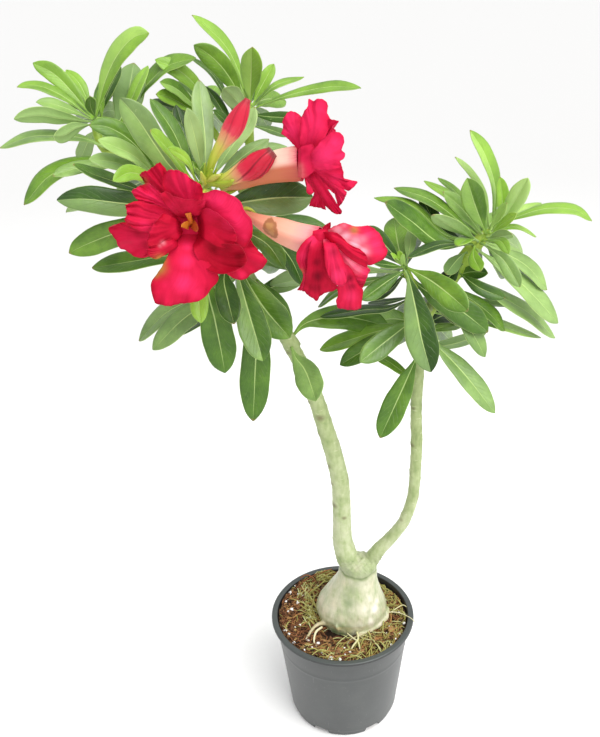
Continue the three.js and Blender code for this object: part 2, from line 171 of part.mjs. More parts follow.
  ["","R2",12.2,[0.414,-0.449,0.792],[91.7,-3.5,445.3],[[90.2,-14.0,449.3],[81.3,-24.4,446.0],[68.3,-44.0,442.1]],1],
  ["","R1",9.3,[-0.729,-0.35,0.589],[49.7,-28.2,446.1],[[48.3,-22.0,447.8],[37.6,-16.3,431.8],[23.4,-10.0,422.5]],1],
  ["","R1",8.7,[-0.463,0.006,0.886],[58.7,-18.9,421.2],[[56.3,-10.0,423.6],[41.4,3.0,414.6],[24.4,20.0,406.2]],0],
  ["","RT",11.3,[0.099,-0.36,0.928],[61.2,-9.0,347.4],[[60.9,-8.0,347.4],[44.8,5.0,357.3],[27.8,20.0,363.0]],0],
  ["","BA",14.3,[-0.196,-0.33,0.923],[-167.0,5.5,558.3],[[-168.4,10.0,557.2],[-183.3,35.0,565.8],[-199.4,57.7,568.5]],1],
  ["","BA",12.9,[0.485,-0.444,0.753],[-167.0,5.5,558.3],[[-168.4,10.0,557.2],[-164.8,34.8,570.1],[-160.5,53.6,577.8]],1],
  ["","BA",15.9,[-0.911,-0.388,0.14],[-167.0,5.5,558.3],[[-168.4,10.0,557.2],[-180.1,31.4,553.7],[-196.5,66.3,540.1]],1],
  ["","BA",13.1,[0.972,-0.112,0.207],[-167.0,5.5,558.3],[[-168.4,10.0,557.2],[-164.7,37.6,557.6],[-160.9,62.9,551.5]],1],
  ["","BA",16.2,[-0.436,-0.314,0.843],[-132.9,-8.0,517.1],[[-132.4,0.0,516.0],[-143.4,28.4,523.4],[-155.2,53.7,524.9]],1],
  ["","BA",16.3,[-0.664,-0.644,-0.379],[-132.9,-8.0,517.1],[[-132.4,0.0,516.0],[-146.8,18.8,507.5],[-165.3,50.0,487.4]],1],
  ["","BA",16.3,[0.64,-0.15,0.754],[-132.9,-8.0,517.1],[[-132.4,0.0,516.0],[-128.7,37.9,520.4],[-123.3,64.3,521.1]],1],
  ["","BC",13.4,[-0.298,-0.576,0.761],[-60.8,35.5,558.1],[[-61.0,40.0,557.0],[-69.2,57.8,573.2],[-78.2,79.5,582.2]],1],
  ["","BC",13.4,[0.407,-0.431,0.805],[-60.8,35.5,558.1],[[-61.0,40.0,557.0],[-55.5,61.4,568.5],[-50.0,80.8,573.7]],1],
  ["","BC",14.1,[0.859,-0.362,0.361],[-60.8,35.5,558.1],[[-61.0,40.0,557.0],[-48.1,69.5,555.8],[-34.2,94.8,548.2]],1],
  ["","BC",14.6,[-0.908,-0.292,-0.3],[-60.8,35.5,558.1],[[-61.0,40.0,557.0],[-66.7,59.4,554.8],[-74.1,96.0,541.6]],1],
  ["","BC",13.6,[0.49,-0.53,-0.692],[-60.8,35.5,558.1],[[-61.0,40.0,557.0],[-54.9,55.9,549.2],[-49.1,85.7,530.5]],1],
  ["","BC",16.9,[0.908,-0.418,-0.035],[-62.1,26.6,520.8],[[-62.1,30.0,520.0],[-49.7,54.8,517.0],[-36.8,85.0,504.8]],1],
  ["","BC",16.9,[-0.882,-0.399,-0.249],[-62.1,26.6,520.8],[[-62.1,30.0,520.0],[-72.4,55.6,515.7],[-84.7,92.0,500.7]],1],
  ["","BC",17.2,[0.422,-0.529,-0.736],[-62.1,26.6,520.8],[[-62.1,30.0,520.0],[-58.8,47.8,507.6],[-56.5,88.0,480.2]],1],
  ["","BD",14.1,[-0.315,-0.477,0.821],[-95.2,58.7,546.2],[[-95.6,60.0,545.3],[-107.8,85.7,557.8],[-120.7,108.1,564.1]],1],
  ["","BD",14.0,[0.38,-0.263,0.887],[-95.2,58.7,546.2],[[-95.6,60.0,545.3],[-93.1,93.8,554.3],[-89.8,114.0,558.9]],1],
  ["","BD",16.7,[-0.953,-0.208,0.221],[-95.2,58.7,546.2],[[-95.6,60.0,545.3],[-103.7,86.8,543.0],[-114.1,124.0,530.8]],1],
  ["","BD",13.9,[-0.71,-0.675,0.199],[-95.2,58.7,546.2],[[-95.6,60.0,545.3],[-113.8,76.1,548.6],[-134.3,97.9,543.4]],1],
  ["","BD",14.8,[0.855,-0.27,-0.443],[-95.2,58.7,546.2],[[-95.6,60.0,545.3],[-90.8,79.1,541.1],[-87.6,116.0,525.1]],1],
  ["","LT",18.9,[-0.361,-0.226,0.905],[-69.5,-11.8,451.1],[[-67.1,-4.0,453.1],[-86.1,29.0,457.7],[-107.1,62.0,455.2]],1],
  ["","LT",17.5,[0.221,-0.137,0.966],[-69.5,-11.8,451.1],[[-67.1,-4.0,453.1],[-60.8,35.0,458.7],[-53.9,66.0,460.2]],1],
  ["","LT",16.9,[0.871,-0.46,-0.171],[-69.5,-11.8,451.1],[[-67.1,-4.0,453.1],[-55.7,18.1,445.9],[-44.0,48.0,427.4]],1],
  ["","LT",19.1,[-0.855,-0.517,-0.036],[-69.5,-11.8,451.1],[[-67.1,-4.0,453.1],[-82.2,16.5,437.8],[-100.2,50.0,407.9]],1],
  ["","LT",20.4,[-0.259,-0.346,0.902],[-69.5,-11.8,451.1],[[-67.1,-4.0,453.1],[-96.2,22.6,460.3],[-128.0,52.0,459.4]],1],
  ["","LT",20.1,[-0.556,-0.591,-0.584],[-69.5,-11.8,451.1],[[-67.1,-4.0,453.1],[-69.3,15.0,434.6],[-73.4,56.0,397.2]],1],
  ["","BB",18.3,[-0.279,-0.06,0.958],[-82.0,-34.9,496.7],[[-83.5,-30.0,498.8],[-95.9,6.6,500.3],[-109.3,39.2,496.4]],1],
  ["","BB",19.2,[0.642,0.125,0.756],[-82.0,-34.9,496.7],[[-83.5,-30.0,498.8],[-80.1,12.1,492.0],[-75.8,46.8,480.3]],1],
  ["","R1",14.6,[-0.492,-0.024,0.87],[49.2,-28.7,447.5],[[47.8,-20.0,450.2],[41.8,9.0,451.2],[35.0,35.9,445.7]],1],
  ["","R1",16.1,[-0.255,0.087,0.963],[49.2,-28.7,447.5],[[47.8,-20.0,450.2],[57.4,24.9,448.8],[64.8,48.3,448.4]],1],
  ["","R1",17.1,[-0.983,-0.152,0.101],[49.2,-28.7,447.5],[[47.8,-20.0,450.2],[39.6,0.8,440.0],[32.2,36.8,415.1]],1],
  ["","R1",13.4,[-0.224,-0.305,0.926],[49.2,-28.7,447.5],[[47.8,-20.0,450.2],[47.2,5.1,461.1],[46.3,27.5,466.0]],1],
  ["","R2",15.2,[-0.551,-0.1,0.828],[107.3,1.1,463.8],[[108.7,6.0,461.5],[101.0,32.4,465.5],[93.5,62.3,460.9]],1],
  ["","R2",14.7,[0.258,-0.141,0.956],[107.3,1.1,463.8],[[108.7,6.0,461.5],[120.5,30.4,466.2],[133.2,54.4,463.6]],1],
  ["","R2",19.7,[0.812,-0.323,0.487],[107.3,1.1,463.8],[[108.7,6.0,461.5],[129.1,29.9,451.6],[153.9,63.2,429.5]],1],
  ["","R2",17.9,[-0.845,-0.256,-0.469],[107.3,1.1,463.8],[[108.7,6.0,461.5],[108.7,23.2,448.3],[113.9,64.0,416.8]],1],
  ["","R2",19.2,[0.819,-0.568,-0.085],[107.3,1.1,463.8],[[108.7,6.0,461.5],[123.7,30.0,441.1],[142.0,61.7,407.8]],1],
  ["","R2",18.3,[-0.852,-0.008,0.523],[107.3,1.1,463.8],[[108.7,6.0,461.5],[98.7,37.6,452.5],[88.4,74.3,433.2]],1],
  ["","R2",16.3,[0.38,-0.112,0.918],[107.3,1.1,463.8],[[108.7,6.0,461.5],[116.3,51.1,463.6],[119.8,75.9,465.6]],1],
  ["","R2",20.9,[0.809,-0.505,0.301],[107.3,1.1,463.8],[[108.7,6.0,461.5],[131.1,21.8,442.2],[158.6,48.7,408.9]],1],
  ["","RT",17.5,[-0.845,-0.469,-0.259],[64.0,-11.8,397.5],[[64.9,-8.0,397.7],[54.9,14.2,386.0],[45.2,46.5,360.3]],1],
  ["","RT",19.5,[0.882,-0.47,-0.003],[64.0,-11.8,397.5],[[64.9,-8.0,397.7],[80.5,20.2,381.3],[98.9,55.4,352.0]],1],
  ["","RT",20.3,[0.652,-0.184,0.736],[64.0,-11.8,397.5],[[64.9,-8.0,397.7],[84.8,15.6,395.5],[108.4,50.3,379.9]],1],
  ["","RT",17.6,[-0.81,-0.033,0.585],[64.0,-11.8,397.5],[[64.9,-8.0,397.7],[59.5,27.3,393.9],[52.6,56.7,384.7]],1],
  ["","RT",18.1,[-0.005,0.095,0.995],[64.0,-11.8,397.5],[[64.9,-8.0,397.7],[74.7,38.4,393.6],[82.0,65.6,390.6]],1],
  ["","RT",17.4,[-0.831,-0.494,0.255],[64.0,-11.8,397.5],[[64.9,-8.0,397.7],[46.1,14.7,394.0],[26.5,43.1,379.1]],1],
];
// Flowers: tube centre line with radii, then petals [width, facing normal, points]
const FLOWERS = [
  ["flower_main",[[[-87.2,-50.0,520.4],[-89.9,-62.0,516.1],[-93.4,-76.0,514.0],[-96.5,-86.0,512.1]],[2.6,4.6,7.0,8.5]],[[12.8,[0.334,-0.942,-0.023],[[-97.9,-86.0,515.1],[-107.6,-89.5,532.6],[-118.1,-94.0,549.1]]],[21.3,[0.084,-0.939,0.334],[[-94.2,-86.0,509.9],[-80.1,-89.0,497.8],[-50.8,-92.0,482.1]]],[9.0,[0.454,-0.89,0.043],[[-99.3,-86.0,514.0],[-110.8,-93.8,527.1],[-127.2,-99.0,538.9]]],[21.2,[0.133,-0.939,0.316],[[-100.0,-86.0,510.1],[-117.6,-92.8,505.6],[-142.2,-95.0,501.0]]],[23.4,[0.19,-0.902,-0.388],[[-96.4,-86.0,515.4],[-96.8,-95.8,532.5],[-98.1,-101.0,549.4]]],[17.3,[0.567,-0.806,0.169],[[-99.8,-86.0,512.2],[-117.8,-98.5,519.3],[-132.4,-106.0,526.0]]],[32.4,[-0.521,-0.853,0.033],[[-93.4,-86.0,512.6],[-79.9,-98.2,516.3],[-62.8,-104.0,530.3]]],[37.3,[0.143,-0.876,0.46],[[-97.2,-86.0,507.8],[-98.2,-101.8,488.6],[-107.1,-110.0,465.1]]],[13.6,[0.081,-0.994,-0.076],[[-96.5,-88.0,507.3],[-95.8,-89.8,512.1],[-95.1,-89.0,521.8]]],[22.8,[0.318,-0.671,-0.67],[[-96.4,-87.0,514.0],[-96.4,-101.2,525.4],[-97.5,-108.0,534.5]]],[21.1,[0.745,-0.574,0.341],[[-99.3,-87.0,510.8],[-107.4,-103.5,512.8],[-119.1,-111.0,513.6]]],[8.2,[0.571,-0.685,0.454],[[-99.9,-95.0,508.2],[-110.6,-108.2,503.6],[-120.9,-115.0,504.5]]],[20.2,[-0.622,-0.649,0.439],[[-93.6,-87.0,511.7],[-80.5,-104.8,514.0],[-66.1,-113.0,512.3]]],[18.0,[-0.401,-0.696,0.596],[[-94.2,-88.0,508.0],[-83.6,-106.2,497.2],[-59.7,-118.0,496.2]]]]],
  ["flower_upper",[[[-77.9,-49.0,521.8],[-65.6,-52.0,527.5],[-53.4,-55.0,533.9],[-39.6,-57.0,537.8],[-25.4,-60.0,540.0]],[3.2,5.8,8.4,10.2,11.2]],[[9.7,[-0.016,-0.967,0.254],[[-24.2,-64.0,544.3],[-27.1,-62.5,555.6],[-34.6,-57.0,570.3]]],[8.4,[-0.355,-0.925,-0.132],[[-22.5,-64.0,543.9],[-12.3,-69.0,554.2],[-2.9,-75.0,568.4]]],[18.5,[-0.072,-0.983,-0.168],[[-23.1,-66.0,543.7],[-17.4,-72.2,559.9],[-18.7,-73.0,582.9]]],[12.0,[-0.158,-0.938,0.308],[[-23.6,-70.0,542.1],[-10.7,-74.2,538.2],[4.7,-78.0,532.2]]],[4.8,[0.121,-0.985,0.122],[[-22.0,-69.0,539.8],[-8.3,-70.5,529.4],[1.6,-69.0,516.5]]],[5.3,[0.109,-0.979,-0.171],[[-23.4,-66.0,538.7],[-16.5,-65.2,524.4],[-15.3,-60.0,509.5]]],[7.2,[0.064,-0.989,0.133],[[-22.2,-70.0,540.5],[-12.4,-73.0,525.3],[-2.5,-73.0,508.7]]],[18.4,[-0.566,-0.824,0.013],[[-23.2,-71.0,543.1],[-12.8,-81.5,549.0],[0.4,-87.0,556.1]]],[18.5,[-0.62,-0.784,-0.012],[[-27.0,-71.0,543.0],[-22.8,-76.0,545.3],[-17.0,-79.0,548.7]]],[8.9,[0.155,-0.885,0.439],[[-23.8,-58.0,540.5],[-13.5,-50.0,549.3],[-3.7,-44.0,561.5]]],[9.2,[0.419,-0.907,-0.031],[[-24.4,-57.0,537.9],[-12.7,-50.0,527.9],[2.2,-44.0,517.6]]]]],
  ["flower_lower",[[[-66.6,-56.0,508.6],[-58.7,-61.0,505.8],[-50.9,-65.0,502.8],[-39.9,-70.0,499.3],[-27.8,-75.0,495.8],[-16.3,-79.0,494.0]],[2.6,3.3,5.4,8.2,9.3,9.6]],[[25.9,[0.108,-0.936,0.334],[[-13.6,-86.0,498.8],[1.7,-88.0,496.8],[24.7,-82.0,497.6]]],[12.3,[0.142,-0.969,0.204],[[-14.5,-87.0,496.8],[-3.0,-90.2,483.1],[15.4,-88.0,471.3]]],[10.8,[-0.133,-0.918,0.375],[[-14.3,-90.0,500.6],[-1.3,-97.5,497.1],[14.2,-99.0,488.7]]],[7.7,[0.006,-0.952,0.307],[[-13.2,-89.0,499.5],[-0.8,-95.2,489.1],[15.9,-96.0,477.2]]],[13.2,[0.008,-0.99,0.137],[[-9.5,-86.0,493.5],[1.1,-94.2,474.9],[2.1,-92.0,449.5]]],[7.5,[-0.119,-0.992,0.039],[[-15.6,-88.0,500.2],[-26.5,-93.0,486.6],[-28.1,-88.0,462.4]]],[14.8,[-0.032,-0.978,0.205],[[-15.1,-89.0,499.1],[-17.2,-98.5,486.3],[-16.9,-97.0,460.7]]],[12.4,[-0.067,-0.889,0.454],[[-12.5,-90.0,499.0],[-7.6,-103.2,491.5],[-5.8,-104.0,472.5]]]]],
];
const BUDS = [
  ["bud_cluster","green",[[[[-89.2,-45.0,525.1],[-87.7,-51.0,529.4]],[4.2,3.4]],[[[-88.1,-48.0,527.2],[-85.3,-53.0,532.5],[-82.8,-56.0,537.2]],[2.6,2.4,0.8]],[[[-88.1,-48.0,527.2],[-82.0,-56.0,531.3],[-77.5,-62.0,534.7]],[2.4,2.4,0.8]],[[[-88.1,-48.0,526.6],[-89.1,-56.0,531.5],[-89.4,-62.0,537.1]],[2.2,2.0,0.7]],[[[-88.1,-48.0,526.6],[-79.5,-58.0,527.8],[-72.5,-66.0,529.8],[-68.8,-70.0,533.4]],[2.4,2.2,2.0,0.7]]]],
  ["bud_upper","red",[[[[-87.0,-50.0,531.1],[-78.1,-56.0,548.0],[-69.6,-62.0,565.4],[-62.2,-63.0,573.9],[-55.6,-62.0,581.4]],[3.4,4.6,5.6,4.9,1.4]]]],
  ["bud_lower","red",[[[[-81.1,-54.0,527.4],[-70.0,-60.0,532.6],[-59.3,-65.0,538.1],[-52.0,-67.0,541.6],[-46.2,-68.0,544.8],[-42.3,-68.0,547.2]],[3.0,4.8,7.4,8.3,7.4,4.8]]]],
];
const COLORS = {
  pot: 0x55585a, soil: 0x6a4628, caudex: 0xc3c9a2, stem: 0xb9c592, shoot: 0x9dba3c,
  leaf: 0x4f8a30, petal: 0xd81536, bud: 0xcf4a48, youngbud: 0xa9b84a,
};

const v3 = (a) => new THREE.Vector3(a[0], a[1], a[2]);

// Catmull-Rom through the points, sampled at the given shares of the length.
function sample(points, shares) {
  const P = points.map(v3);
  const s = [0];
  for (let i = 1; i < P.length; i++) s.push(s[i - 1] + P[i].distanceTo(P[i - 1]));
  const total = s[s.length - 1];
  return shares.map((q) => {
    const d = q * total;
    let i = 0;
    while (i < P.length - 2 && d > s[i + 1]) i++;
    const t = (d - s[i]) / (s[i + 1] - s[i]);
    const p1 = P[i], p2 = P[i + 1];
    const p0 = i > 0 ? P[i - 1] : p1.clone().multiplyScalar(2).sub(p2);
    const p3 = i + 2 < P.length ? P[i + 2] : p2.clone().multiplyScalar(2).sub(p1);
    const out = new THREE.Vector3();
    for (const k of ['x', 'y', 'z']) {
      out[k] = 0.5 * (2 * p1[k] + (p2[k] - p0[k]) * t + (2 * p0[k] - 5 * p1[k] + 4 * p2[k] - p3[k]) * t * t
        + (3 * p1[k] - p0[k] - 3 * p2[k] + p3[k]) * t * t * t);
    }
    return out;
  });
}

// Rings of points joined into a closed skin. Rings run anticlockwise seen from the far end.
function loft(rings) {
  const verts = [], tris = [], n = rings[0].length;
  for (const r of rings) for (const p of r) verts.push(p.x, p.y, p.z);
  for (let i = 0; i + 1 < rings.length; i++) {
    for (let j = 0; j < n; j++) {
      const a = i * n + j, b = i * n + (j + 1) % n, c = a + n, d = b + n;
      tris.push(a, b, d, a, d, c);
    }
  }
  const cap = (first, ring, flip) => {
    const c = ring.reduce((m, p) => m.add(p), new THREE.Vector3()).multiplyScalar(1 / n);
    const k = verts.length / 3;
    verts.push(c.x, c.y, c.z);
    for (let j = 0; j < n; j++) {
      const a = first + j, b = first + (j + 1) % n;
      if (flip) tris.push(k, b, a); else tris.push(k, a, b);
    }
  };
  cap(0, rings[0], true);
  cap((rings.length - 1) * n, rings[rings.length - 1], false);
  return { verts, tris };
}

function tubeMesh(points, radii, sides, grow = 0, steps = 0) {
  const n = steps || points.length;
  const shares = [];
  const P = points.map(v3);
  const s = [0];
  for (let i = 1; i < P.length; i++) s.push(s[i - 1] + P[i].distanceTo(P[i - 1]));
  const total = s[s.length - 1];
  for (let i = 0; i < n; i++) shares.push(steps ? i / (n - 1) : s[i] / total);
  const C = sample(points, shares);
  const rad = shares.map((q) => {
    const d = q * total;
    let i = 0;
    while (i < P.length - 2 && d > s[i + 1]) i++;
    const t = Math.min(1, Math.max(0, (d - s[i]) / (s[i + 1] - s[i])));
    return radii[i] * (1 - t) + radii[i + 1] * t + grow;
  });
  const rings = [];
  let side = new THREE.Vector3(0, 1, 0);
  for (let i = 0; i < n; i++) {
    const t = C[Math.min(i + 1, n - 1)].clone().sub(C[Math.max(i - 1, 0)]).normalize();
    if (Math.abs(t.dot(side)) > 0.95) side = new THREE.Vector3(1, 0, 0);
    const u = side.clone().addScaledVector(t, -t.dot(side)).normalize();
    side = u.clone();
    const w = t.clone().cross(u);
    const c = C[i].clone();
    if (grow && i === 0) c.addScaledVector(t, -grow);
    if (grow && i === n - 1) c.addScaledVector(t, grow);
    const ring = [];
    for (let j = 0; j < sides; j++) {
      const a = (j / sides) * Math.PI * 2;
      ring.push(c.clone().addScaledVector(u, Math.cos(a) * rad[i]).addScaledVector(w, Math.sin(a) * rad[i]));
    }
    rings.push(ring);
  }
  return loft(rings);
}

const LEAF_SHARES = [0, 0.1, 0.3, 0.52, 0.74, 0.91, 1];
const LEAF_WIDTHS = [0.12, 0.2, 0.62, 0.95, 0.97, 0.62, 0.1];
const SMALL_SHARES = [0, 0.25, 0.6, 0.88, 1];
const SMALL_WIDTHS = [0.14, 0.5, 1, 0.7, 0.1];
const PETAL_SHARES = [0, 0.22, 0.5, 0.78, 0.93, 1];
const PETAL_WIDTHS = [0.24, 0.5, 0.86, 1, 0.72, 0.3];

// A blade of lens section along a centre line, with its margins raised.
function bladeMesh(points, width, normal, thickness, fold, shares, widths, root, grow = 0) {
  const C = sample(points, shares);
  const N = v3(normal);
  const rings = [];
  const add = (c, t, half, th) => {
    const side = t.clone().cross(N).normalize();
    const up = side.clone().cross(t).normalize();
    const h = half + (grow ? grow * 1.6 : 0), k = th / 2 + grow;
    const lift = fold * half;
    rings.push([
      c.clone().addScaledVector(side, h).addScaledVector(up, lift),
      c.clone().addScaledVector(up, k),
      c.clone().addScaledVector(side, -h).addScaledVector(up, lift),
      c.clone().addScaledVector(up, -k),
    ]);
  };
  if (root) {
    const r = v3(root);
    const t = C[0].clone().sub(r);
    if (t.length() > 2.5) {
      t.normalize();
      if (grow) r.addScaledVector(t, -grow);
      add(r, t, 1.3, 1.7);
    }
  }
  for (let i = 0; i < C.length; i++) {
    const t = C[Math.min(i + 1, C.length - 1)].clone().sub(C[Math.max(i - 1, 0)]).normalize();
    const c = C[i].clone();
    if (grow && i === C.length - 1) c.addScaledVector(t, grow);
    const half = Math.max(1.15, widths[i] * width / 2);
    const th = i === C.length - 1 ? 0.7 : i < 2 ? 1.8 : thickness;
    add(c, t, half, th);
  }
  return loft(rings);
}

function ellipseRing(z, cx, cy, rx, ry, sides, wobble) {
  const ring = [];
  for (let j = 0; j < sides; j++) {
    const a = (j / sides) * Math.PI * 2;
    const k = 1 + wobble * Math.sin(3 * a + z * 0.05) + wobble * 0.6 * Math.sin(5 * a + 1.3);
    ring.push(new THREE.Vector3(cx + Math.cos(a) * rx * k, cy + Math.sin(a) * ry * k, z));
  }
  return ring;
}

const wasm = await Module();
wasm.setup();
const { Manifold, Mesh: MMesh } = wasm;
const signedVolume = (m) => {
  let vol = 0;
  for (let i = 0; i < m.tris.length; i += 3) {
    const [a, b, c] = [m.tris[i], m.tris[i + 1], m.tris[i + 2]].map((k) => new THREE.Vector3(m.verts[3 * k], m.verts[3 * k + 1], m.verts[3 * k + 2]));
    vol += a.dot(b.cross(c));
  }
  return vol;
};
const solid = (m) => {
  if (signedVolume(m) < 0) for (let i = 0; i < m.tris.length; i += 3) [m.tris[i + 1], m.tris[i + 2]] = [m.tris[i + 2], m.tris[i + 1]];
  return new Manifold(new MMesh({ numProp: 3, vertProperties: new Float32Array(m.verts), triVerts: new Uint32Array(m.tris) }));
};
const fromLathe = (profile, sides) => {
  const g = new THREE.LatheGeometry(profile.map((p) => new THREE.Vector2(p[0], p[1])), sides);
  g.rotateX(Math.PI / 2);
  const pos = g.attributes.position, idx = g.index.array;
  const key = new Map(), verts = [], map = [];
  for (let i = 0; i < pos.count; i++) {
    const k = [pos.getX(i), pos.getY(i), pos.getZ(i)].map((x) => Math.round(x * 1e4)).join();
    if (!key.has(k)) { key.set(k, verts.length / 3); verts.push(pos.getX(i), pos.getY(i), pos.getZ(i)); }
    map.push(key.get(k));
  }
  const tris = [];
  for (let i = 0; i < idx.length; i += 3) {
    const [a, b, c] = [map[idx[i]], map[idx[i + 1]], map[idx[i + 2]]];
    if (a !== b && b !== c && a !== c) tris.push(a, b, c);
  }
  return solid({ verts, tris });
};
const union = (list) => list.reduce((a, b) => a.add(b));
const hit = (a, b) => {
  const p = a.boundingBox(), q = b.boundingBox();
  for (let k = 0; k < 3; k++) if (p.max[k] < q.min[k] || q.max[k] < p.min[k]) return false;
  return true;
};
const cut = (s, list) => {
  for (const t of list) if (hit(s, t)) s = s.subtract(t);
  return s;
};
const largest = (s) => {
  const parts = s.decompose();
  if (parts.length < 2) return s;
  return parts.reduce((a, b) => (b.volume() > a.volume() ? b : a));
};

const nodes = [];   // [name, solid, colour, roughness]
const put = (name, s, color, rough) => nodes.push([name, s, color, rough]);

// ---- pot ----
const wallAt = (z) => {   // outer radius of the body
  const k = (z - 7) / (POT_HEIGHT - 9);
  return 50 + (POT_BODY_TOP_RADIUS - 50) * k;
};
const potProfile = [
  [0, 0], [POT_BASE_RADIUS - 1, 0], [POT_BASE_RADIUS, 0.8], [POT_BASE_RADIUS + 0.9, 6], [50, 7.2],
  [wallAt(50), 50], [wallAt(POT_HEIGHT - 1.7), POT_HEIGHT - 1.7], [POT_RIM_RADIUS - 1.4, POT_HEIGHT - 1.7],
  [POT_RIM_RADIUS - 1.4, POT_HEIGHT - POT_LIP_DROP], [POT_RIM_RADIUS, POT_HEIGHT - POT_LIP_DROP],
  [POT_RIM_RADIUS, POT_HEIGHT - 1], [POT_RIM_RADIUS - 0.9, POT_HEIGHT],
  [wallAt(POT_HEIGHT) - POT_WALL + 0.9, POT_HEIGHT], [wallAt(POT_HEIGHT) - POT_WALL, POT_HEIGHT - 1],
  [wallAt(50) - POT_WALL, 50], [50 - POT_WALL, 7.5], [POT_BASE_RADIUS + 0.9 - POT_WALL, 6.2],
  [POT_BASE_RADIUS - POT_WALL, POT_FLOOR], [0, POT_FLOOR], [0, 0],
];
let pot = fromLathe(potProfile, POT_SIDES);
for (let i = 0; i < DRAIN_SLOTS; i++) {
  const a = ((i + 0.42) / DRAIN_SLOTS) * 360 - 90;
  pot = pot.subtract(Manifold.cube([9, 13, 5], true).translate([POT_BASE_RADIUS - 2, 0, 0.6]).rotate([0, 0, a]));
}
put('nursery_pot', pot, COLORS.pot, 0.45);

// ---- swollen base ----
const caudexRings = (g) => CAUDEX.map(([z, cx, cy, rx, ry], i) =>
  ellipseRing(z + (i === 0 ? -g : i === CAUDEX.length - 1 ? g : 0), cx, cy, rx + g, ry + g, 20, 0.012));
const caudex = solid(loft(caudexRings(0)));
const caudexBig = solid(loft(caudexRings(GAP)));
put('caudex', caudex, COLORS.caudex, 0.55);

// ---- potting mix, fitted inside the pot and around the swollen base ----
const inner = (z) => wallAt(z) - POT_WALL - GAP;
const soilProfile = [
  [0, POT_FLOOR + GAP], [POT_BASE_RADIUS - POT_WALL - GAP - 0.3, POT_FLOOR + GAP], [POT_BASE_RADIUS - POT_WALL - GAP + 0.6, 6.6],
  [inner(9) - 0.3, 9], [inner(50) - 0.1, 50], [inner(SOIL_TOP - 1.5) - 0.4, SOIL_TOP - 1.5], [inner(SOIL_TOP) - 1.6, SOIL_TOP - 0.4],
  [46, SOIL_TOP + 0.6], [30, SOIL_TOP], [0, SOIL_TOP],
];
const soil = fromLathe(soilProfile, POT_SIDES).subtract(caudexBig);
put('potting_mix', largest(soil), COLORS.soil, 0.95);

// ---- stems and shoots ----
const tubes = {}, tubesBig = {}, blockers = [caudexBig];
for (const [id, node, pts, radii] of STEMS) {
  const sides = id === 'LS' || id === 'RS' ? 12 : 8;
  const s = largest(cut(solid(tubeMesh(pts, radii, sides)), blockers));
  const big = solid(tubeMesh(pts, radii, sides, GAP));
  tubes[id] = s;
  tubesBig[id] = big;
  blockers.push(big);
}
put('left_stem', tubes.LS, COLORS.stem, 0.55);
put('right_stem', tubes.RS, COLORS.stem, 0.55);

// ---- flowers and buds ----
const headBlock = [];   // enlarged solids of the pieces placed so far
const placed = [];      // the pieces themselves
for (const [node, kind, pieces] of BUDS) {
  const make = (g) => union(pieces.map(([pts, radii]) => solid(tubeMesh(pts, radii, 8, g))));
  const s = largest(cut(cut(cut(make(0), blockers), headBlock), placed));
  placed.push(s);
  put(node, s, kind === 'red' ? COLORS.bud : COLORS.youngbud, 0.5);
  headBlock.push(make(GAP));
}
for (const [node, tube, petals] of FLOWERS) {
  const make = (g) => union([
    solid(tubeMesh(tube[0], tube[1], 10, g)),
    ...petals.map(([w, n, pts]) => solid(bladeMesh(pts, w, n, PETAL_THICKNESS, 0.22, PETAL_SHARES, PETAL_WIDTHS, null, g))),
  ]);
  const s = largest(cut(cut(cut(make(0), blockers), headBlock), placed));
  placed.push(s);
  put(node, s, COLORS.petal, 0.6);
  headBlock.push(make(GAP));
}

// ---- leaves: large ones are pieces of their own, small ones belong to their shoot ----
const leafMesh = (row, g) => {
  const [, , w, n, root, pts, small] = row;
  return solid(bladeMesh(pts, w, n, LEAF_THICKNESS, LEAF_FOLD, small ? SMALL_SHARES : LEAF_SHARES, small ? SMALL_WIDTHS : LEAF_WIDTHS, root, g));
};
for (const row of LEAVES.filter((r) => r[0])) {
  const s = largest(cut(cut(cut(leafMesh(row, 0), blockers), headBlock), placed));
  placed.push(s);
  put(row[0], s, COLORS.leaf, 0.42);
  headBlock.push(leafMesh(row, GAP));
}
const shootNodes = STEMS.filter(([id]) => id !== 'LS' && id !== 'RS');
for (const [id, node] of shootNodes) {
  const others = shootNodes.filter(([k]) => k !== id).map(([k]) => tubesBig[k]).concat([tubesBig.LS, tubesBig.RS, caudexBig]);
  const rows = LEAVES.filter((r) => !r[0] && r[1] === id);
  let s = tubes[id];
  if (rows.length) {
    const leaves = union(rows.map((r) => leafMesh(r, 0)));
    s = largest(s.add(cut(cut(cut(leaves, others), headBlock), placed)));
    placed.push(s);
    headBlock.push(union(rows.map((r) => leafMesh(r, GAP))));
  }
  put(node, s, COLORS.shoot, 0.45);
}

const group = new THREE.Group();
group.name = 'potted_desert_rose';
for (const [name, s, color, rough] of nodes) {
  const m = s.getMesh();
  const g = new THREE.BufferGeometry();
  g.setAttribute('position', new THREE.BufferAttribute(new Float32Array(m.vertProperties), 3));
  g.setIndex(new THREE.BufferAttribute(new Uint32Array(m.triVerts), 1));
  g.computeVertexNormals();
  const mesh = new THREE.Mesh(g, new THREE.MeshStandardMaterial({ color, roughness: rough, metalness: 0 }));
  mesh.name = name;
  group.add(mesh);
}
export default group;
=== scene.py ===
import math
import random

import bpy
import numpy as np
from mathutils import Matrix, Vector


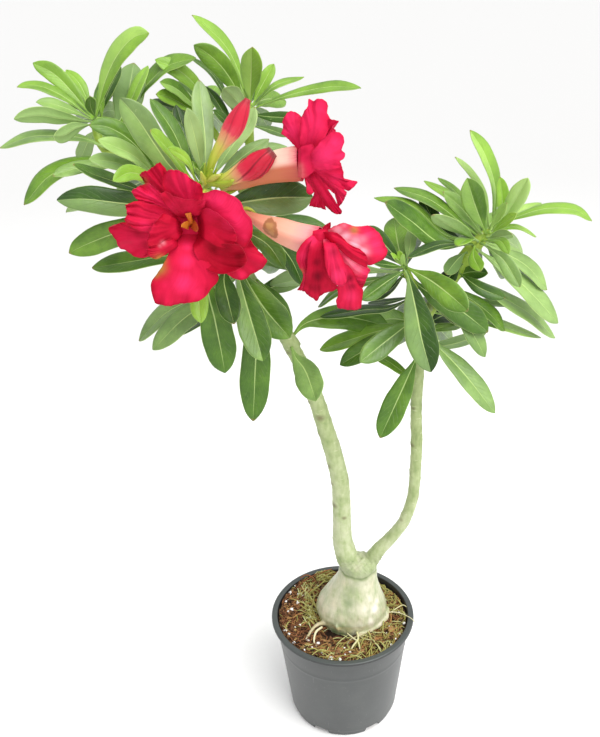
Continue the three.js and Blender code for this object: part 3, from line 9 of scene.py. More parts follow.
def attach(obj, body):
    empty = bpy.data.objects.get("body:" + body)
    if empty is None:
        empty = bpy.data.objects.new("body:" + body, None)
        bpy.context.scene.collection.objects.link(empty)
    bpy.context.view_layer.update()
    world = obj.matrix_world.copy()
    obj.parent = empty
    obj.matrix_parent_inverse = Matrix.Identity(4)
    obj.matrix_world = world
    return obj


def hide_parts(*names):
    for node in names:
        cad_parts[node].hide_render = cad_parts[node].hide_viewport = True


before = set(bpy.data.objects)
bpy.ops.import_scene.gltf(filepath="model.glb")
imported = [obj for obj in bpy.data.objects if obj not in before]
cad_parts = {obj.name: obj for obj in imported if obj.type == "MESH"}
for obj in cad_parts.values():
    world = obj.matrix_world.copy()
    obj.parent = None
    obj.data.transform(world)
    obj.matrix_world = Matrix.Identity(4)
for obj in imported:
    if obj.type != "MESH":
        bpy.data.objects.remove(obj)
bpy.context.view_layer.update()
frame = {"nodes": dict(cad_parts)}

MM = 0.001
RINGZ = 160.0
random.seed(11)
RNG = np.random.RandomState(11)

# ---------------------------------------------------------------------------
# data: the same centre lines as the CAD source, in millimetres
# ---------------------------------------------------------------------------
CAUDEX = [
    (80, 9, 2, 21, 18), (90, 9, 2, 28, 23), (99, 9.3, 2, 31, 25.5), (107, 8.6, 1.5, 32, 27),
    (114, 8, 1, 32, 27.5), (122, 8.4, 0.5, 29.6, 26), (130, 9.6, 0, 26, 23.4), (138, 11, -0.5, 22.4, 20.6),
    (146, 12.6, -1, 19, 18), (154, 14, -1, 16.7, 16.2), (161, 14.4, -1, 16.8, 15.4), (166, 14.3, -1, 17.0, 13.6),
    (169, 14.5, -1, 15, 11), (171.5, 14.8, -1, 9, 6),
]
# id, CAD node, centre line, radii
STEMS = [
    ['LS','left_stem',[[8.0,-1.5,164.0],[3.8,-2.0,176.7],[1.0,-2.0,191.2],[0.6,-3.0,213.6],[0.4,-3.0,234.7],[-0.7,-4.0,256.0],[-4.3,-4.0,276.2],[-7.7,-5.0,291.6],[-13.8,-6.0,316.3],[-18.6,-6.0,335.1],[-27.8,-7.0,363.0],[-35.4,-7.0,380.8],[-43.1,-8.0,398.6]],[9.8,9.6,8.6,7.9,7.7,7.5,7.3,7.2,6.8,6.5,6.2,5.9,5.8]],
    ['RS','right_stem',[[16.0,-1.0,158.0],[24.2,-1.0,164.8],[32.4,-1.0,177.9],[41.1,-1.0,188.5],[48.7,-2.0,199.9],[54.7,-2.0,210.4],[60.5,-3.0,232.0],[62.2,-4.0,253.2],[62.5,-5.0,273.9],[62.5,-6.0,294.1],[61.4,-7.0,313.8],[60.9,-8.0,332.9],[61.2,-9.0,347.1]],[7.2,7.0,6.2,5.6,5.2,5.0,4.9,4.8,4.8,4.8,4.7,4.6,4.6]],
    ['LT','left_crown_stem',[[-43.1,-8.0,398.6],[-51.9,-9.0,414.4],[-57.4,-10.0,424.9],[-67.3,-11.0,445.6],[-72.9,-13.0,459.9],[-73.8,-15.0,466.8]],[5.8,5.6,5.5,5.4,5.0,4.0]],
    ['RT','right_crown_stem',[[61.2,-9.0,347.1],[61.7,-10.0,365.3],[62.6,-11.0,383.1],[64.2,-12.0,400.4],[65.3,-13.0,409.9],[66.6,-13.0,414.8]],[4.6,4.6,4.6,4.8,4.8,4.0]],
    ['BA','left_outer_shoot',[[-71.7,-12.0,456.4],[-88.8,-9.0,474.3],[-121.4,-10.0,507.7],[-144.4,-6.0,526.7],[-161.9,0.0,539.8],[-166.6,4.0,551.6],[-167.1,6.0,560.7]],[4.6,4.3,4.0,3.8,3.4,3.0,1.6]],
    ['BB','flower_shoot',[[-72.7,-15.0,462.1],[-76.7,-26.0,479.8],[-85.0,-40.0,506.3],[-88.9,-44.0,521.4],[-89.6,-45.0,527.1]],[4.4,4.2,4.0,3.6,2.0]],
    ['BC','left_top_shoot',[[-71.6,-11.0,459.1],[-66.8,4.0,475.1],[-62.3,25.0,513.9],[-61.3,33.0,548.4],[-60.7,36.0,559.9]],[4.4,4.2,3.8,3.2,1.6]],
    ['BD','left_back_shoot',[[-64.8,14.0,490.9],[-81.1,45.0,524.4],[-93.3,56.0,541.7],[-96.1,60.0,548.3]],[3.2,3.2,2.8,1.5]],
    ['R1','right_inner_shoot',[[63.9,-13.0,405.0],[56.1,-22.0,429.5],[48.9,-29.0,448.3],[45.6,-31.0,456.0]],[3.4,3.2,3.0,1.8]],
    ['R2','right_outer_shoot',[[66.0,-13.0,409.9],[74.3,-10.0,422.1],[84.8,-6.0,436.2],[95.9,-2.0,450.8],[106.9,1.0,463.4],[112.6,2.0,469.0]],[4.6,5.4,5.9,6.0,4.6,2.0]],
]
# CAD node or '', stem, width, upper face normal, attachment, centre line, tone, lit half (painted light on it, painted
# shade on the other half), wave, curl, seed, share of painted sheen
LEAVES = [
    ['leaf_left_01','BA',18.1,[-0.604,-0.736,0.307],[-167.1,6.0,560.6],[[-165.1,3.0,561.3],[-155.3,-0.1,584.2],[-144.6,-3.2,601.0],[-132.2,-6.0,612.3],[-121.2,-8.0,615.2]],0.78,-1.0,0.0,0.0,0.0,0.0],
    ['leaf_left_02','BA',12.3,[0.067,-0.941,0.332],[-167.1,6.0,560.7],[[-169.5,5.0,562.4],[-180.8,9.8,576.7],[-192.1,13.1,588.5],[-205.7,14.9,595.9]],0.72,0.0,0.0,0.0,0.618,0.0],
    ['','BA',9.0,[0.296,-0.67,0.681],[-167.1,6.0,560.7],[[-169.0,10.0,562.7],[-176.9,19.8,579.5],[-187.0,28.0,588.5]],0.74,0.0,0.0,0.0,0.2361,0.0],
    ['','BA',12.8,[0.468,-0.284,0.837],[-167.1,5.9,560.2],[[-168.7,0.0,561.4],[-184.1,1.0,574.5],[-196.3,0.0,581.7],[-205.7,-1.3,584.2],[-214.1,-3.0,583.5]],0.66,0.0,0.0,0.0,0.8541,0.0],
    ['','BA',9.2,[0.57,-0.467,0.676],[-167.0,5.6,558.8],[[-168.2,-3.0,560.7],[-179.7,-8.3,568.2],[-189.8,-13.3,573.5],[-199.1,-17.4,575.9]],0.6,0.0,0.0,0.0,0.4721,0.3],
    ['leaf_left_03','BA',12.6,[-0.357,0.848,0.392],[-166.9,5.1,556.8],[[-166.5,-6.0,559.2],[-184.7,-18.3,565.2],[-197.1,-25.0,569.0],[-211.7,-30.2,568.0]],0.7,0.0,0.0,0.0,0.0901,0.5],
    ['leaf_left_04','BA',16.9,[0.115,-0.317,0.942],[-158.0,-1.3,536.9],[[-157.1,-4.0,539.3],[-172.7,-6.7,548.1],[-188.7,-9.7,551.4],[-208.1,-13.6,552.3],[-228.3,-18.0,546.7]],0.5,0.0,0.0,0.0,0.7082,0.3],
    ['','BA',10.7,[-0.94,0.34,-0.028],[-166.9,4.8,555.4],[[-165.8,-10.0,558.7],[-173.6,-24.3,559.5],[-178.6,-38.8,558.4],[-182.3,-50.0,560.5]],0.75,0.0,0.0,0.0,0.3262,0.8],
    ['','BA',7.3,[0.198,-0.667,-0.718],[-167.1,5.6,559.1],[[-163.4,-6.0,561.8],[-164.2,-13.8,570.1],[-161.5,-24.0,579.7]],0.5,0.0,0.0,0.0,0.9442,0.0],
    ['','BA',5.6,[0.2,-0.924,0.326],[-167.1,5.6,559.0],[[-162.2,8.0,558.8],[-162.1,10.2,567.9],[-162.2,14.3,577.9]],0.7,0.0,0.0,0.0,0.5623,0.0],
    ['','BA',9.3,[-0.381,-0.747,0.545],[-167.1,5.7,559.2],[[-164.4,12.0,558.0],[-158.6,17.5,572.5],[-147.9,25.4,589.6]],0.25,0.0,0.0,0.0,0.1803,0.0],
    ['','BA',22.9,[-0.254,0.855,-0.451],[-164.8,2.4,546.9],[[-158.2,15.0,545.3],[-148.7,20.2,559.9],[-145.4,25.7,570.4],[-141.0,40.2,589.8]],0.35,0.0,0.0,0.0,0.7983,0.25],
    ['','BA',12.4,[-0.538,-0.642,0.547],[-165.4,3.0,548.5],[[-154.1,18.0,547.9],[-141.5,17.9,569.7],[-135.5,24.0,580.7],[-130.1,32.3,588.6]],0.76,0.0,0.0,0.0,0.4164,0.0],
    ['','BA',11.5,[0.178,0.902,0.393],[-166.7,4.3,552.8],[[-166.8,12.0,551.2],[-176.5,18.1,540.2],[-187.5,28.0,522.9]],0.6,0.0,0.0,0.0,0.0344,0.8],
    ['','BA',18.7,[-0.494,-0.501,0.711],[-165.9,3.4,549.7],[[-152.4,25.0,547.7],[-139.9,33.4,566.7],[-130.5,36.4,577.0],[-116.8,38.1,587.2],[-96.4,37.0,592.1]],0.55,0.0,0.0,0.0,0.6524,0.0],
    ['','BD',14.1,[0.611,-0.728,0.311],[-95.1,58.6,546.0],[[-93.5,50.0,551.8],[-98.8,44.2,571.0],[-110.2,40.0,583.9],[-125.4,36.8,591.8]],0.8,0.0,0.0,0.0,0.2705,0.0],
    ['','BD',11.2,[0.84,-0.479,0.256],[-95.1,58.6,545.9],[[-96.6,50.0,550.4],[-110.7,32.8,571.4],[-121.6,23.4,578.9]],0.62,-1.0,0.0,0.0,0.8885,0.0],
    ['','BD',11.2,[0.758,-0.538,0.368],[-94.3,57.4,544.0],[[-96.6,48.0,548.7],[-113.8,35.3,564.0],[-125.2,22.9,570.9]],0.78,0.0,0.0,0.0,0.5065,0.0],
    ['','BD',11.6,[0.631,-0.224,0.743],[-93.5,56.3,542.2],[[-98.0,45.0,547.2],[-108.4,44.5,553.4],[-130.1,23.5,565.5]],0.28,0.0,0.0,0.0,0.1245,0.0],
    ['','BC',9.8,[0.707,-0.37,0.603],[-61.3,32.7,547.3],[[-68.6,45.0,544.7],[-75.3,47.6,556.7],[-87.3,53.9,578.0],[-102.9,59.7,589.6]],0.35,0.0,0.0,0.0,0.7426,0.0],
    ['','BC',11.8,[0.637,-0.432,0.638],[-61.7,29.8,534.7],[[-65.9,35.0,533.7],[-75.8,40.6,543.7],[-84.1,48.2,557.6],[-93.3,55.2,569.5]],0.3,0.0,0.0,0.0,0.3606,0.0],
    ['','BC',8.1,[0.736,-0.539,0.41],[-61.7,29.5,533.4],[[-65.7,30.0,533.4],[-78.8,25.0,550.8],[-85.9,22.0,558.7]],0.3,0.0,0.0,0.0,0.9786,0.0],
    ['leaf_left_05','BC',14.8,[0.784,-0.413,0.463],[-60.7,36.0,559.9],[[-61.5,38.0,559.5],[-67.3,37.2,582.9],[-77.2,36.3,602.3],[-96.5,35.0,620.8]],0.72,0.0,0.0,0.0,0.5967,0.0],
    ['leaf_left_06','BC',15.3,[0.279,-0.952,-0.125],[-60.8,35.4,557.5],[[-62.7,30.0,559.0],[-73.8,24.2,581.8],[-83.6,19.5,594.9],[-94.9,15.0,603.8]],0.55,0.0,0.0,0.0,0.2147,0.0],
    ['','BC',13.8,[-0.554,0.597,0.58],[-61.3,33.2,549.3],[[-61.5,24.0,551.8],[-68.1,4.0,568.5],[-74.4,-15.0,580.1]],0.7,0.0,0.0,0.0,0.8327,0.8],
    ['','BC',15.3,[-0.02,-0.889,-0.457],[-60.8,35.7,558.9],[[-59.8,30.0,560.3],[-57.5,20.3,581.9],[-55.3,9.0,601.9]],0.75,-1.0,0.0,0.0,0.4507,0.0],
    ['','BC',9.4,[0.102,-0.953,0.285],[-60.8,35.8,559.3],[[-57.9,36.0,559.1],[-54.7,37.6,565.0],[-48.5,40.9,574.7],[-41.6,45.0,584.9]],0.8,0.0,0.0,0.0,0.0688,0.0],
    ['','BC',9.8,[-0.16,-0.341,0.927],[-60.8,35.6,558.3],[[-57.5,42.0,556.4],[-41.6,49.9,568.6],[-20.1,60.0,572.5]],0.7,0.0,0.0,0.0,0.6868,0.0],
    ['leaf_left_07','BC',13.5,[-0.234,-0.354,0.906],[-60.9,35.1,556.5],[[-57.2,34.0,556.6],[-30.9,29.8,565.6],[-2.5,24.4,571.1],[19.1,20.0,570.5]],0.6,0.0,0.0,0.0,0.3048,0.0],
    ['','BC',9.5,[-0.277,-0.738,0.616],[-61.1,34.0,552.2],[[-59.4,28.0,553.7],[-45.8,23.8,552.0],[-23.0,15.0,552.3]],0.25,0.0,0.0,0.0,0.9229,0.0],
    ['','BC',8.8,[-0.1,-0.317,0.943],[-61.4,32.2,544.9],[[-60.3,22.0,547.2],[-45.9,12.2,545.4],[-32.0,0.0,542.8]],0.2,0.0,0.0,0.0,0.5409,0.2],
    ['leaf_left_08','BB',18.7,[0.265,-0.964,0.017],[-89.2,-44.4,523.8],[[-95.4,-44.0,523.0],[-109.8,-45.7,536.0],[-119.0,-47.6,551.9],[-128.2,-50.0,569.9],[-137.0,-52.0,582.9]],0.4,-1.0,0.0,0.0,0.1589,0.35],
    ['','BB',15.0,[0.703,-0.531,0.474],[-89.2,-44.4,523.6],[[-94.5,-38.0,524.0],[-100.3,-35.9,535.1],[-109.4,-30.7,557.3],[-122.5,-25.0,576.6]],0.45,0.0,0.0,0.0,0.777,0.0],
    ['','BB',11.7,[0.352,-0.721,0.596],[-89.0,-44.2,522.3],[[-93.5,-34.0,523.5],[-98.4,-29.4,533.3],[-104.6,-20.8,548.2],[-112.4,-12.0,561.2]],0.28,0.0,0.0,0.0,0.395,0.0],
    ['','BB',12.1,[0.644,-0.763,-0.055],[-89.6,-44.9,526.8],[[-90.4,-44.0,526.9],[-91.9,-46.7,546.1],[-93.6,-49.2,560.9],[-95.9,-52.0,575.3]],0.45,0.0,0.0,0.0,0.013,0.75],
    ['leaf_left_09','BB',16.0,[0.541,-0.741,0.397],[-88.7,-43.9,520.9],[[-89.7,-30.0,524.3],[-89.2,-20.6,547.6],[-90.4,-11.6,565.7],[-91.8,-2.0,583.6]],0.35,-1.0,0.0,0.0,0.631,0.6],
    ['','BB',13.7,[0.581,-0.559,0.592],[-87.8,-42.9,517.1],[[-94.7,-22.0,520.8],[-100.9,-11.5,539.1],[-110.0,8.0,565.8]],0.08,0.0,0.0,0.0,0.2491,0.0],
    ['','BB',13.6,[0.932,-0.26,0.252],[-89.6,-45.0,527.1],[[-93.9,-50.0,526.0],[-100.5,-55.1,535.0],[-108.4,-66.3,552.9],[-116.5,-78.0,568.2]],0.82,0.0,0.0,0.0,0.8671,0.0],
    ['leaf_left_10','BB',13.9,[-0.424,-0.675,0.604],[-89.0,-44.2,522.3],[[-86.6,-35.0,524.2],[-70.8,-28.9,544.3],[-59.5,-23.8,557.3],[-54.4,-20.0,568.1]],0.6,0.0,0.0,0.0,0.4851,0.8],
    ['','BB',12.2,[-0.152,-0.59,0.793],[-87.8,-43.0,517.4],[[-85.9,-30.0,521.4],[-78.9,-27.2,525.9],[-63.0,-19.0,536.1],[-46.4,-10.0,544.3]],0.4,0.0,0.0,0.0,0.1032,0.5],
    ['','BB',14.8,[-0.23,-0.435,0.871],[-86.1,-41.2,510.8],[[-83.9,-25.0,515.7],[-70.7,-19.4,522.7],[-51.7,-8.5,535.2],[-34.3,0.0,535.9]],0.4,0.0,0.0,0.0,0.7212,0.5],
    ['','BB',8.4,[0.965,-0.166,0.202],[-89.6,-45.0,527.1],[[-91.8,-52.0,525.8],[-94.2,-56.2,531.7],[-96.9,-68.3,546.7],[-105.9,-84.0,558.4]],0.82,0.0,0.0,0.0,0.3392,0.0],
    ['','BA',11.2,[0.727,-0.444,0.524],[-122.1,-9.9,508.2],[[-114.3,-40.0,523.9],[-124.5,-48.2,530.7],[-135.2,-59.2,537.4],[-144.5,-70.0,535.5]],0.85,0.0,0.0,0.0,0.9573,0.0],
    ['leaf_left_11','BA',15.0,[0.604,-0.704,0.374],[-128.0,-8.9,513.1],[[-121.9,-22.0,523.2],[-135.5,-26.7,547.4],[-149.8,-30.9,560.1],[-162.6,-34.0,563.2]],0.5,0.0,0.0,0.0,0.5753,0.0],
    ['','BA',13.1,[0.757,-0.451,0.473],[-125.6,-9.3,511.1],[[-119.6,-30.0,522.6],[-133.7,-42.2,543.3],[-144.7,-48.5,551.8],[-154.1,-52.9,557.6]],0.85,0.0,0.0,0.0,0.1933,0.6],
    ['','BA',14.4,[0.492,-0.308,0.814],[-124.3,-9.5,510.0],[[-123.1,-30.0,515.8],[-134.6,-32.7,518.4],[-151.8,-37.3,526.6],[-164.9,-40.7,533.4],[-174.6,-43.1,540.4]],0.38,0.0,0.0,0.0,0.8113,0.0],
    ['','BA',12.2,[0.574,-0.536,0.619],[-126.9,-9.1,512.2],[[-121.4,-36.0,524.4],[-143.9,-43.3,539.3],[-161.3,-53.8,545.9]],0.5,0.0,0.0,0.0,0.4294,0.5],
    ['leaf_left_12','BA',19.6,[-0.183,-0.371,0.911],[-145.7,-5.6,527.6],[[-145.2,-8.0,529.4],[-151.4,-9.4,533.5],[-173.2,-15.0,533.6],[-196.6,-22.0,527.4],[-215.3,-30.0,510.2]],0.55,0.0,0.0,0.0,0.0474,0.0],
    ['','BA',12.9,[0.184,-0.433,0.882],[-143.3,-6.2,525.7],[[-141.9,-20.0,530.4],[-154.6,-23.2,533.7],[-173.3,-30.8,534.4],[-189.7,-40.0,532.1]],0.58,0.0,0.0,0.0,0.6654,0.4],
    ['leaf_left_13','BB',18.5,[0.094,-0.949,0.3],[-87.0,-42.1,514.1],[[-93.3,-50.0,510.4],[-119.6,-50.9,511.7],[-145.4,-52.0,515.7],[-167.7,-53.1,519.6],[-185.9,-54.0,519.9]],0.35,-1.0,0.0,0.0,0.2835,0.0],
    ['','BA',13.7,[0.018,0.695,0.719],[-128.7,-8.7,513.7],[[-131.0,-5.0,510.2],[-155.3,1.3,504.8],[-179.0,8.5,499.1],[-199.2,15.0,490.2]],0.6,0.0,0.0,0.0,0.9015,0.7],
    ['leaf_left_14','BA',19.3,[0.056,-0.959,0.279],[-113.4,-9.8,499.4],[[-110.8,-30.0,501.3],[-134.0,-32.5,494.4],[-158.3,-35.7,488.5],[-175.9,-38.3,482.8],[-187.3,-40.0,478.1]],0.45,0.0,0.0,0.0,0.5195,0.0],
    ['','LT',21.9,[-0.115,-0.331,0.937],[-73.8,-15.0,466.8],[[-88.3,-22.0,469.9],[-122.1,-22.0,466.7],[-149.6,-22.0,463.2],[-177.3,-22.0,459.7]],0.45,0.0,0.0,0.0,0.1376,0.0],
    ['leaf_left_15','LT',21.5,[-0.442,-0.456,0.772],[-69.0,-11.6,449.9],[[-78.1,-16.0,445.7],[-106.3,-16.6,431.2],[-129.6,-17.3,419.5],[-151.2,-18.0,398.5]],0.45,0.0,0.0,0.0,0.7556,0.45],
    ['leaf_left_16','LT',19.2,[-0.255,-0.746,0.615],[-70.3,-12.1,453.3],[[-75.8,-28.0,448.9],[-93.9,-31.4,435.5],[-116.3,-36.3,421.2],[-137.2,-42.0,402.3]],0.44,0.0,0.0,0.0,0.3736,0.35],
    ['','LT',15.8,[-0.576,-0.251,0.778],[-64.0,-10.7,438.7],[[-74.7,-10.0,433.6],[-101.3,-7.6,410.8],[-128.1,-5.0,394.7]],0.32,0.0,0.0,0.0,0.9916,0.0],
    ['','BB',12.9,[0.121,-0.872,0.475],[-79.0,-29.9,487.2],[[-89.5,-52.0,472.2],[-95.4,-57.3,461.4],[-98.0,-64.5,448.4],[-97.0,-72.0,436.0]],0.8,0.0,0.0,0.0,0.6097,0.0],
    ['leaf_left_17','LT',23.3,[0.127,-0.97,0.208],[-73.8,-15.0,466.8],[[-82.5,-42.0,463.7],[-92.9,-45.7,452.9],[-89.5,-51.2,428.5],[-86.6,-55.0,406.7],[-84.8,-57.3,389.3]],0.4,0.0,0.0,0.0,0.2277,0.0],
    ['','LT',16.8,[-0.026,-0.585,0.811],[-73.8,-15.0,466.8],[[-79.0,-30.0,463.5],[-81.8,-41.3,454.5],[-79.0,-54.8,444.9],[-74.8,-70.3,433.6]],0.25,0.0,0.0,0.0,0.8457,0.0],
    ['','LT',13.4,[0.097,-0.913,0.395],[-61.6,-10.4,433.6],[[-67.5,-8.0,430.9],[-54.9,-5.4,431.7],[-39.8,-2.3,434.7],[-23.8,0.5,438.6]],0.3,1.0,0.0,0.0,0.4638,0.0],
    ['leaf_left_18','LT',21.8,[0.063,-0.927,0.371],[-73.8,-15.0,466.8],[[-72.9,-40.0,464.1],[-66.0,-47.5,433.6],[-60.5,-56.0,414.0],[-56.8,-63.2,400.8]],0.42,1.0,0.0,0.0,0.0818,0.0],
    ['leaf_left_19','LT',23.1,[0.03,-0.984,0.175],[-66.0,-10.9,442.9],[[-66.4,-22.0,442.2],[-62.3,-27.1,408.3],[-64.8,-33.2,374.0],[-68.1,-40.0,338.1]],0.4,0.0,0.0,0.0,0.6998,0.0],
    ['leaf_left_20','LT',24.5,[0.066,-0.93,0.362],[-72.4,-12.8,458.5],[[-71.1,-26.0,457.1],[-56.6,-33.2,430.9],[-37.3,-42.0,407.9]],0.45,0.0,0.0,0.0,0.3179,0.0],
    ['','LT',13.4,[0.177,-0.984,0.026],[-64.7,-10.7,440.2],[[-59.3,-14.0,442.6],[-46.8,-14.3,426.3],[-38.9,-12.8,399.0]],0.4,0.0,0.0,0.0,0.9359,0.0],
    ['leaf_left_21','LS',20.2,[-0.285,-0.332,0.899],[-38.0,-7.3,386.6],[[-37.1,-12.0,386.7],[-33.6,-21.1,381.0],[-26.5,-36.1,376.5],[-20.2,-66.0,368.4]],0.48,0.0,0.0,0.0,0.5539,0.35],
    ['leaf_left_22','BB',24.3,[0.265,-0.919,0.293],[-85.7,-40.8,509.2],[[-84.4,-46.0,508.2],[-68.4,-42.4,509.9],[-43.6,-35.6,510.4],[-17.7,-28.0,507.8]],0.3,1.0,0.0,0.0,0.1719,0.0],
    ['','LT',13.8,[0.083,-0.953,0.291],[-73.8,-15.0,466.8],[[-73.9,-38.0,491.1],[-64.5,-39.0,488.2],[-49.8,-41.3,479.1],[-39.4,-44.0,462.8]],0.4,0.0,0.0,0.0,0.79,0.0],
    ['','LT',15.1,[0.601,-0.715,0.358],[-73.8,-15.0,466.8],[[-65.5,-26.0,479.4],[-47.3,-25.5,477.0],[-35.1,-24.4,462.7],[-26.5,-22.5,440.9]],0.2,0.0,0.0,0.0,0.408,0.0],
    ['','LT',9.4,[-0.259,0.965,0.03],[-69.5,-11.8,451.1],[[-64.8,-6.0,453.8],[-46.5,-1.0,451.2],[-28.1,4.1,443.8]],0.4,0.0,0.0,0.0,0.026,0.4],
    ['','LT',15.4,[0.079,-0.265,0.961],[-73.8,-15.0,466.8],[[-66.2,-15.0,474.1],[-41.3,-12.3,485.6],[-7.0,-8.0,478.4]],0.35,0.0,0.0,0.0,0.6441,0.0],
    ['','R1',23.5,[0.009,0.82,0.573],[48.7,-29.1,448.8],[[42.5,-22.0,448.1],[8.0,-18.9,449.8],[-12.2,-16.5,449.6],[-31.4,-13.8,442.2],[-50.8,-10.9,437.1]],0.4,0.0,0.0,0.0,0.2621,0.5],
    ['','R1',16.9,[-0.456,-0.151,0.877],[50.4,-27.6,444.4],[[44.3,-20.0,444.9],[4.7,-11.2,432.6],[-15.5,-5.0,415.3]],0.45,0.0,0.0,0.0,0.8801,0.0],
    ['leaf_right_01','R1',17.6,[-0.19,-0.337,0.922],[46.8,-30.3,453.2],[[46.3,-26.0,454.1],[44.3,-4.2,462.2],[44.4,25.7,473.0]],0.6,0.0,0.0,0.0,0.4982,0.0],
    ['','R1',8.7,[0.029,0.631,-0.775],[47.1,-30.1,452.5],[[48.6,-24.0,454.8],[51.6,-15.5,465.9],[54.5,-2.5,474.2]],0.7,0.0,0.0,0.0,0.1162,0.4],
    ['','R2',12.6,[0.461,-0.362,0.81],[105.0,0.5,461.2],[[103.8,0.0,462.3],[80.1,4.8,465.4],[56.1,12.5,486.0],[28.7,20.0,490.9]],0.62,0.0,0.0,0.0,0.7342,0.0],
    ['leaf_right_02','R2',19.9,[0.623,-0.566,0.54],[101.5,-0.5,457.2],[[97.5,-10.0,463.0],[73.6,-12.9,465.7],[52.2,-18.3,484.1],[32.1,-25.5,501.6]],0.4,0.0,0.0,0.0,0.3522,0.0],
    ['','R2',16.9,[0.38,-0.351,0.856],[106.4,0.9,462.8],[[106.3,5.0,462.0],[95.2,7.8,470.7],[69.8,16.3,488.9],[43.9,24.7,496.5]],0.5,0.0,0.0,0.0,0.9703,0.0],
    ['','R2',14.2,[0.438,-0.382,0.814],[107.8,1.2,464.2],[[108.3,8.0,462.4],[89.0,19.8,487.1],[67.5,34.1,498.3]],0.7,0.0,0.0,0.0,0.5883,0.0],
    ['','R2',11.5,[0.484,-0.382,0.788],[108.9,1.4,465.4],[[109.8,12.0,462.5],[93.7,33.8,486.6],[80.1,46.8,496.6]],0.6,0.0,0.0,0.0,0.2063,0.0],
    ['','R2',12.9,[0.657,-0.654,0.376],[107.9,1.2,464.4],[[108.1,0.0,464.4],[90.4,-5.8,487.5],[74.4,-11.7,503.1]],0.55,0.0,0.0,0.0,0.8244,0.3],
    ['leaf_right_03','R2',17.1,[0.041,-0.946,-0.321],[110.0,1.5,466.4],[[108.5,-4.0,468.9],[97.6,-11.8,492.8],[89.2,-20.2,514.9]],0.64,-1.0,0.0,0.0,0.4424,0.0],
    ['','R2',8.5,[0.65,-0.539,0.536],[112.3,1.9,468.6],[[115.5,14.0,463.2],[110.7,21.0,489.8],[100.5,27.0,505.9],[89.7,32.0,516.2]],0.95,0.0,0.0,0.0,0.0604,0.5],
    ['leaf_right_04','R2',16.6,[0.725,-0.628,0.283],[112.6,2.0,469.0],[[115.5,8.0,466.0],[116.2,10.3,496.5],[107.8,12.8,521.8],[96.4,15.0,539.6]],0.8,-1.0,0.0,0.0,0.6785,0.0],
    ['','R2',10.2,[0.429,-0.901,-0.066],[112.6,2.0,469.0],[[116.0,4.0,468.2],[120.4,3.2,487.3],[116.9,0.8,508.8]],0.85,0.0,0.0,0.0,0.2965,0.0],
    ['leaf_right_05','R2',13.6,[-0.464,-0.862,-0.204],[112.6,2.0,469.0],[[117.0,2.0,469.6],[123.5,-3.7,484.1],[127.8,-8.9,496.6],[132.7,-15.6,512.0]],1.0,0.0,0.0,0.0,0.9145,0.6],
    ['','R2',11.8,[-0.003,-0.178,0.984],[112.6,2.0,469.0],[[119.8,8.0,468.2],[131.7,16.8,474.9],[157.8,35.0,477.6]],0.9,0.0,0.0,0.0,0.5326,0.35],
    ['leaf_right_06','R2',16.5,[-0.157,-0.213,0.964],[112.6,2.0,469.0],[[118.4,2.0,470.3],[127.9,0.5,477.3],[150.2,-3.5,485.3],[170.8,-7.3,484.9],[183.1,-10.0,477.2]],0.76,0.0,0.0,0.0,0.1506,0.0],
    ['','R2',7.8,[-0.869,-0.49,0.06],[111.7,1.8,468.1],[[111.4,-4.0,469.5],[114.1,-2.7,476.6],[120.3,-11.8,493.4]],1.0,0.0,0.0,0.0,0.7686,0.5],
    ['','R2',8.1,[-0.94,-0.232,0.25],[111.3,1.8,467.7],[[111.3,-8.0,469.4],[116.2,-13.2,477.0],[123.6,-29.1,490.8]],0.9,0.0,0.0,0.0,0.3866,0.0],
    ['','R2',7.2,[0.507,-0.219,0.834],[112.5,2.0,468.8],[[115.6,8.0,464.5],[135.3,19.0,464.7],[155.6,32.0,451.5]],0.88,0.0,0.0,0.0,0.0047,0.0],
    ['','R2',9.8,[0.608,0.464,0.644],[108.9,1.4,465.3],[[110.2,-4.0,465.0],[115.4,-18.7,471.4],[119.8,-34.7,478.3]],0.7,0.0,0.0,0.0,0.6227,0.8],
    ['','R2',8.3,[-0.405,0.044,0.913],[106.1,0.8,462.5],[[106.5,-8.0,464.2],[112.2,-32.9,472.8],[115.1,-49.7,469.3]],0.6,0.0,0.0,0.0,0.2407,0.0],
    ['','R2',10.9,[0.588,-0.292,0.754],[107.3,1.1,463.8],[[112.5,5.0,457.8],[129.9,13.4,449.4],[144.0,25.8,441.9]],0.8,0.0,0.0,0.0,0.8588,0.6],
    ['leaf_right_07','R2',11.5,[-0.261,-0.879,0.399],[104.5,0.4,460.7],[[105.4,-14.0,463.4],[113.0,-17.5,458.2],[119.7,-21.8,452.7],[129.4,-32.0,437.1]],0.5,0.0,0.0,0.0,0.4768,0.3],
    ['','R2',15.9,[0.497,-0.66,0.563],[105.9,0.7,462.2],[[109.5,-2.0,459.7],[140.2,-0.1,441.3],[158.9,0.7,420.0]],0.6,0.0,0.0,0.0,0.0948,0.5],
    ['leaf_right_08','R2',21.8,[0.564,-0.6,0.568],[101.2,-0.6,456.9],[[102.5,-8.0,457.5],[123.6,-7.7,440.9],[143.8,-7.5,422.4],[167.6,-7.2,395.7]],0.58,0.0,0.0,0.0,0.7128,0.5],
    ['leaf_right_09','R2',20.4,[0.584,-0.338,0.738],[89.3,-4.4,442.0],[[90.9,-4.0,440.7],[123.1,-0.8,417.1],[148.0,2.0,399.9],[170.4,5.0,377.0]],0.6,0.0,0.0,0.0,0.3309,0.5],
    ['','R2',10.3,[-0.204,-0.901,0.383],[88.0,-4.8,440.4],[[87.9,-12.0,442.4],[102.0,-25.5,434.7],[120.2,-28.0,427.2]],0.28,0.0,0.0,0.0,0.9489,0.0],
    ['','R2',11.7,[-0.019,0.793,0.609],[78.2,-8.5,427.4],[[80.3,0.0,423.4],[93.4,2.5,413.6],[137.7,12.0,402.7]],0.4,0.0,0.0,0.0,0.5669,0.0],
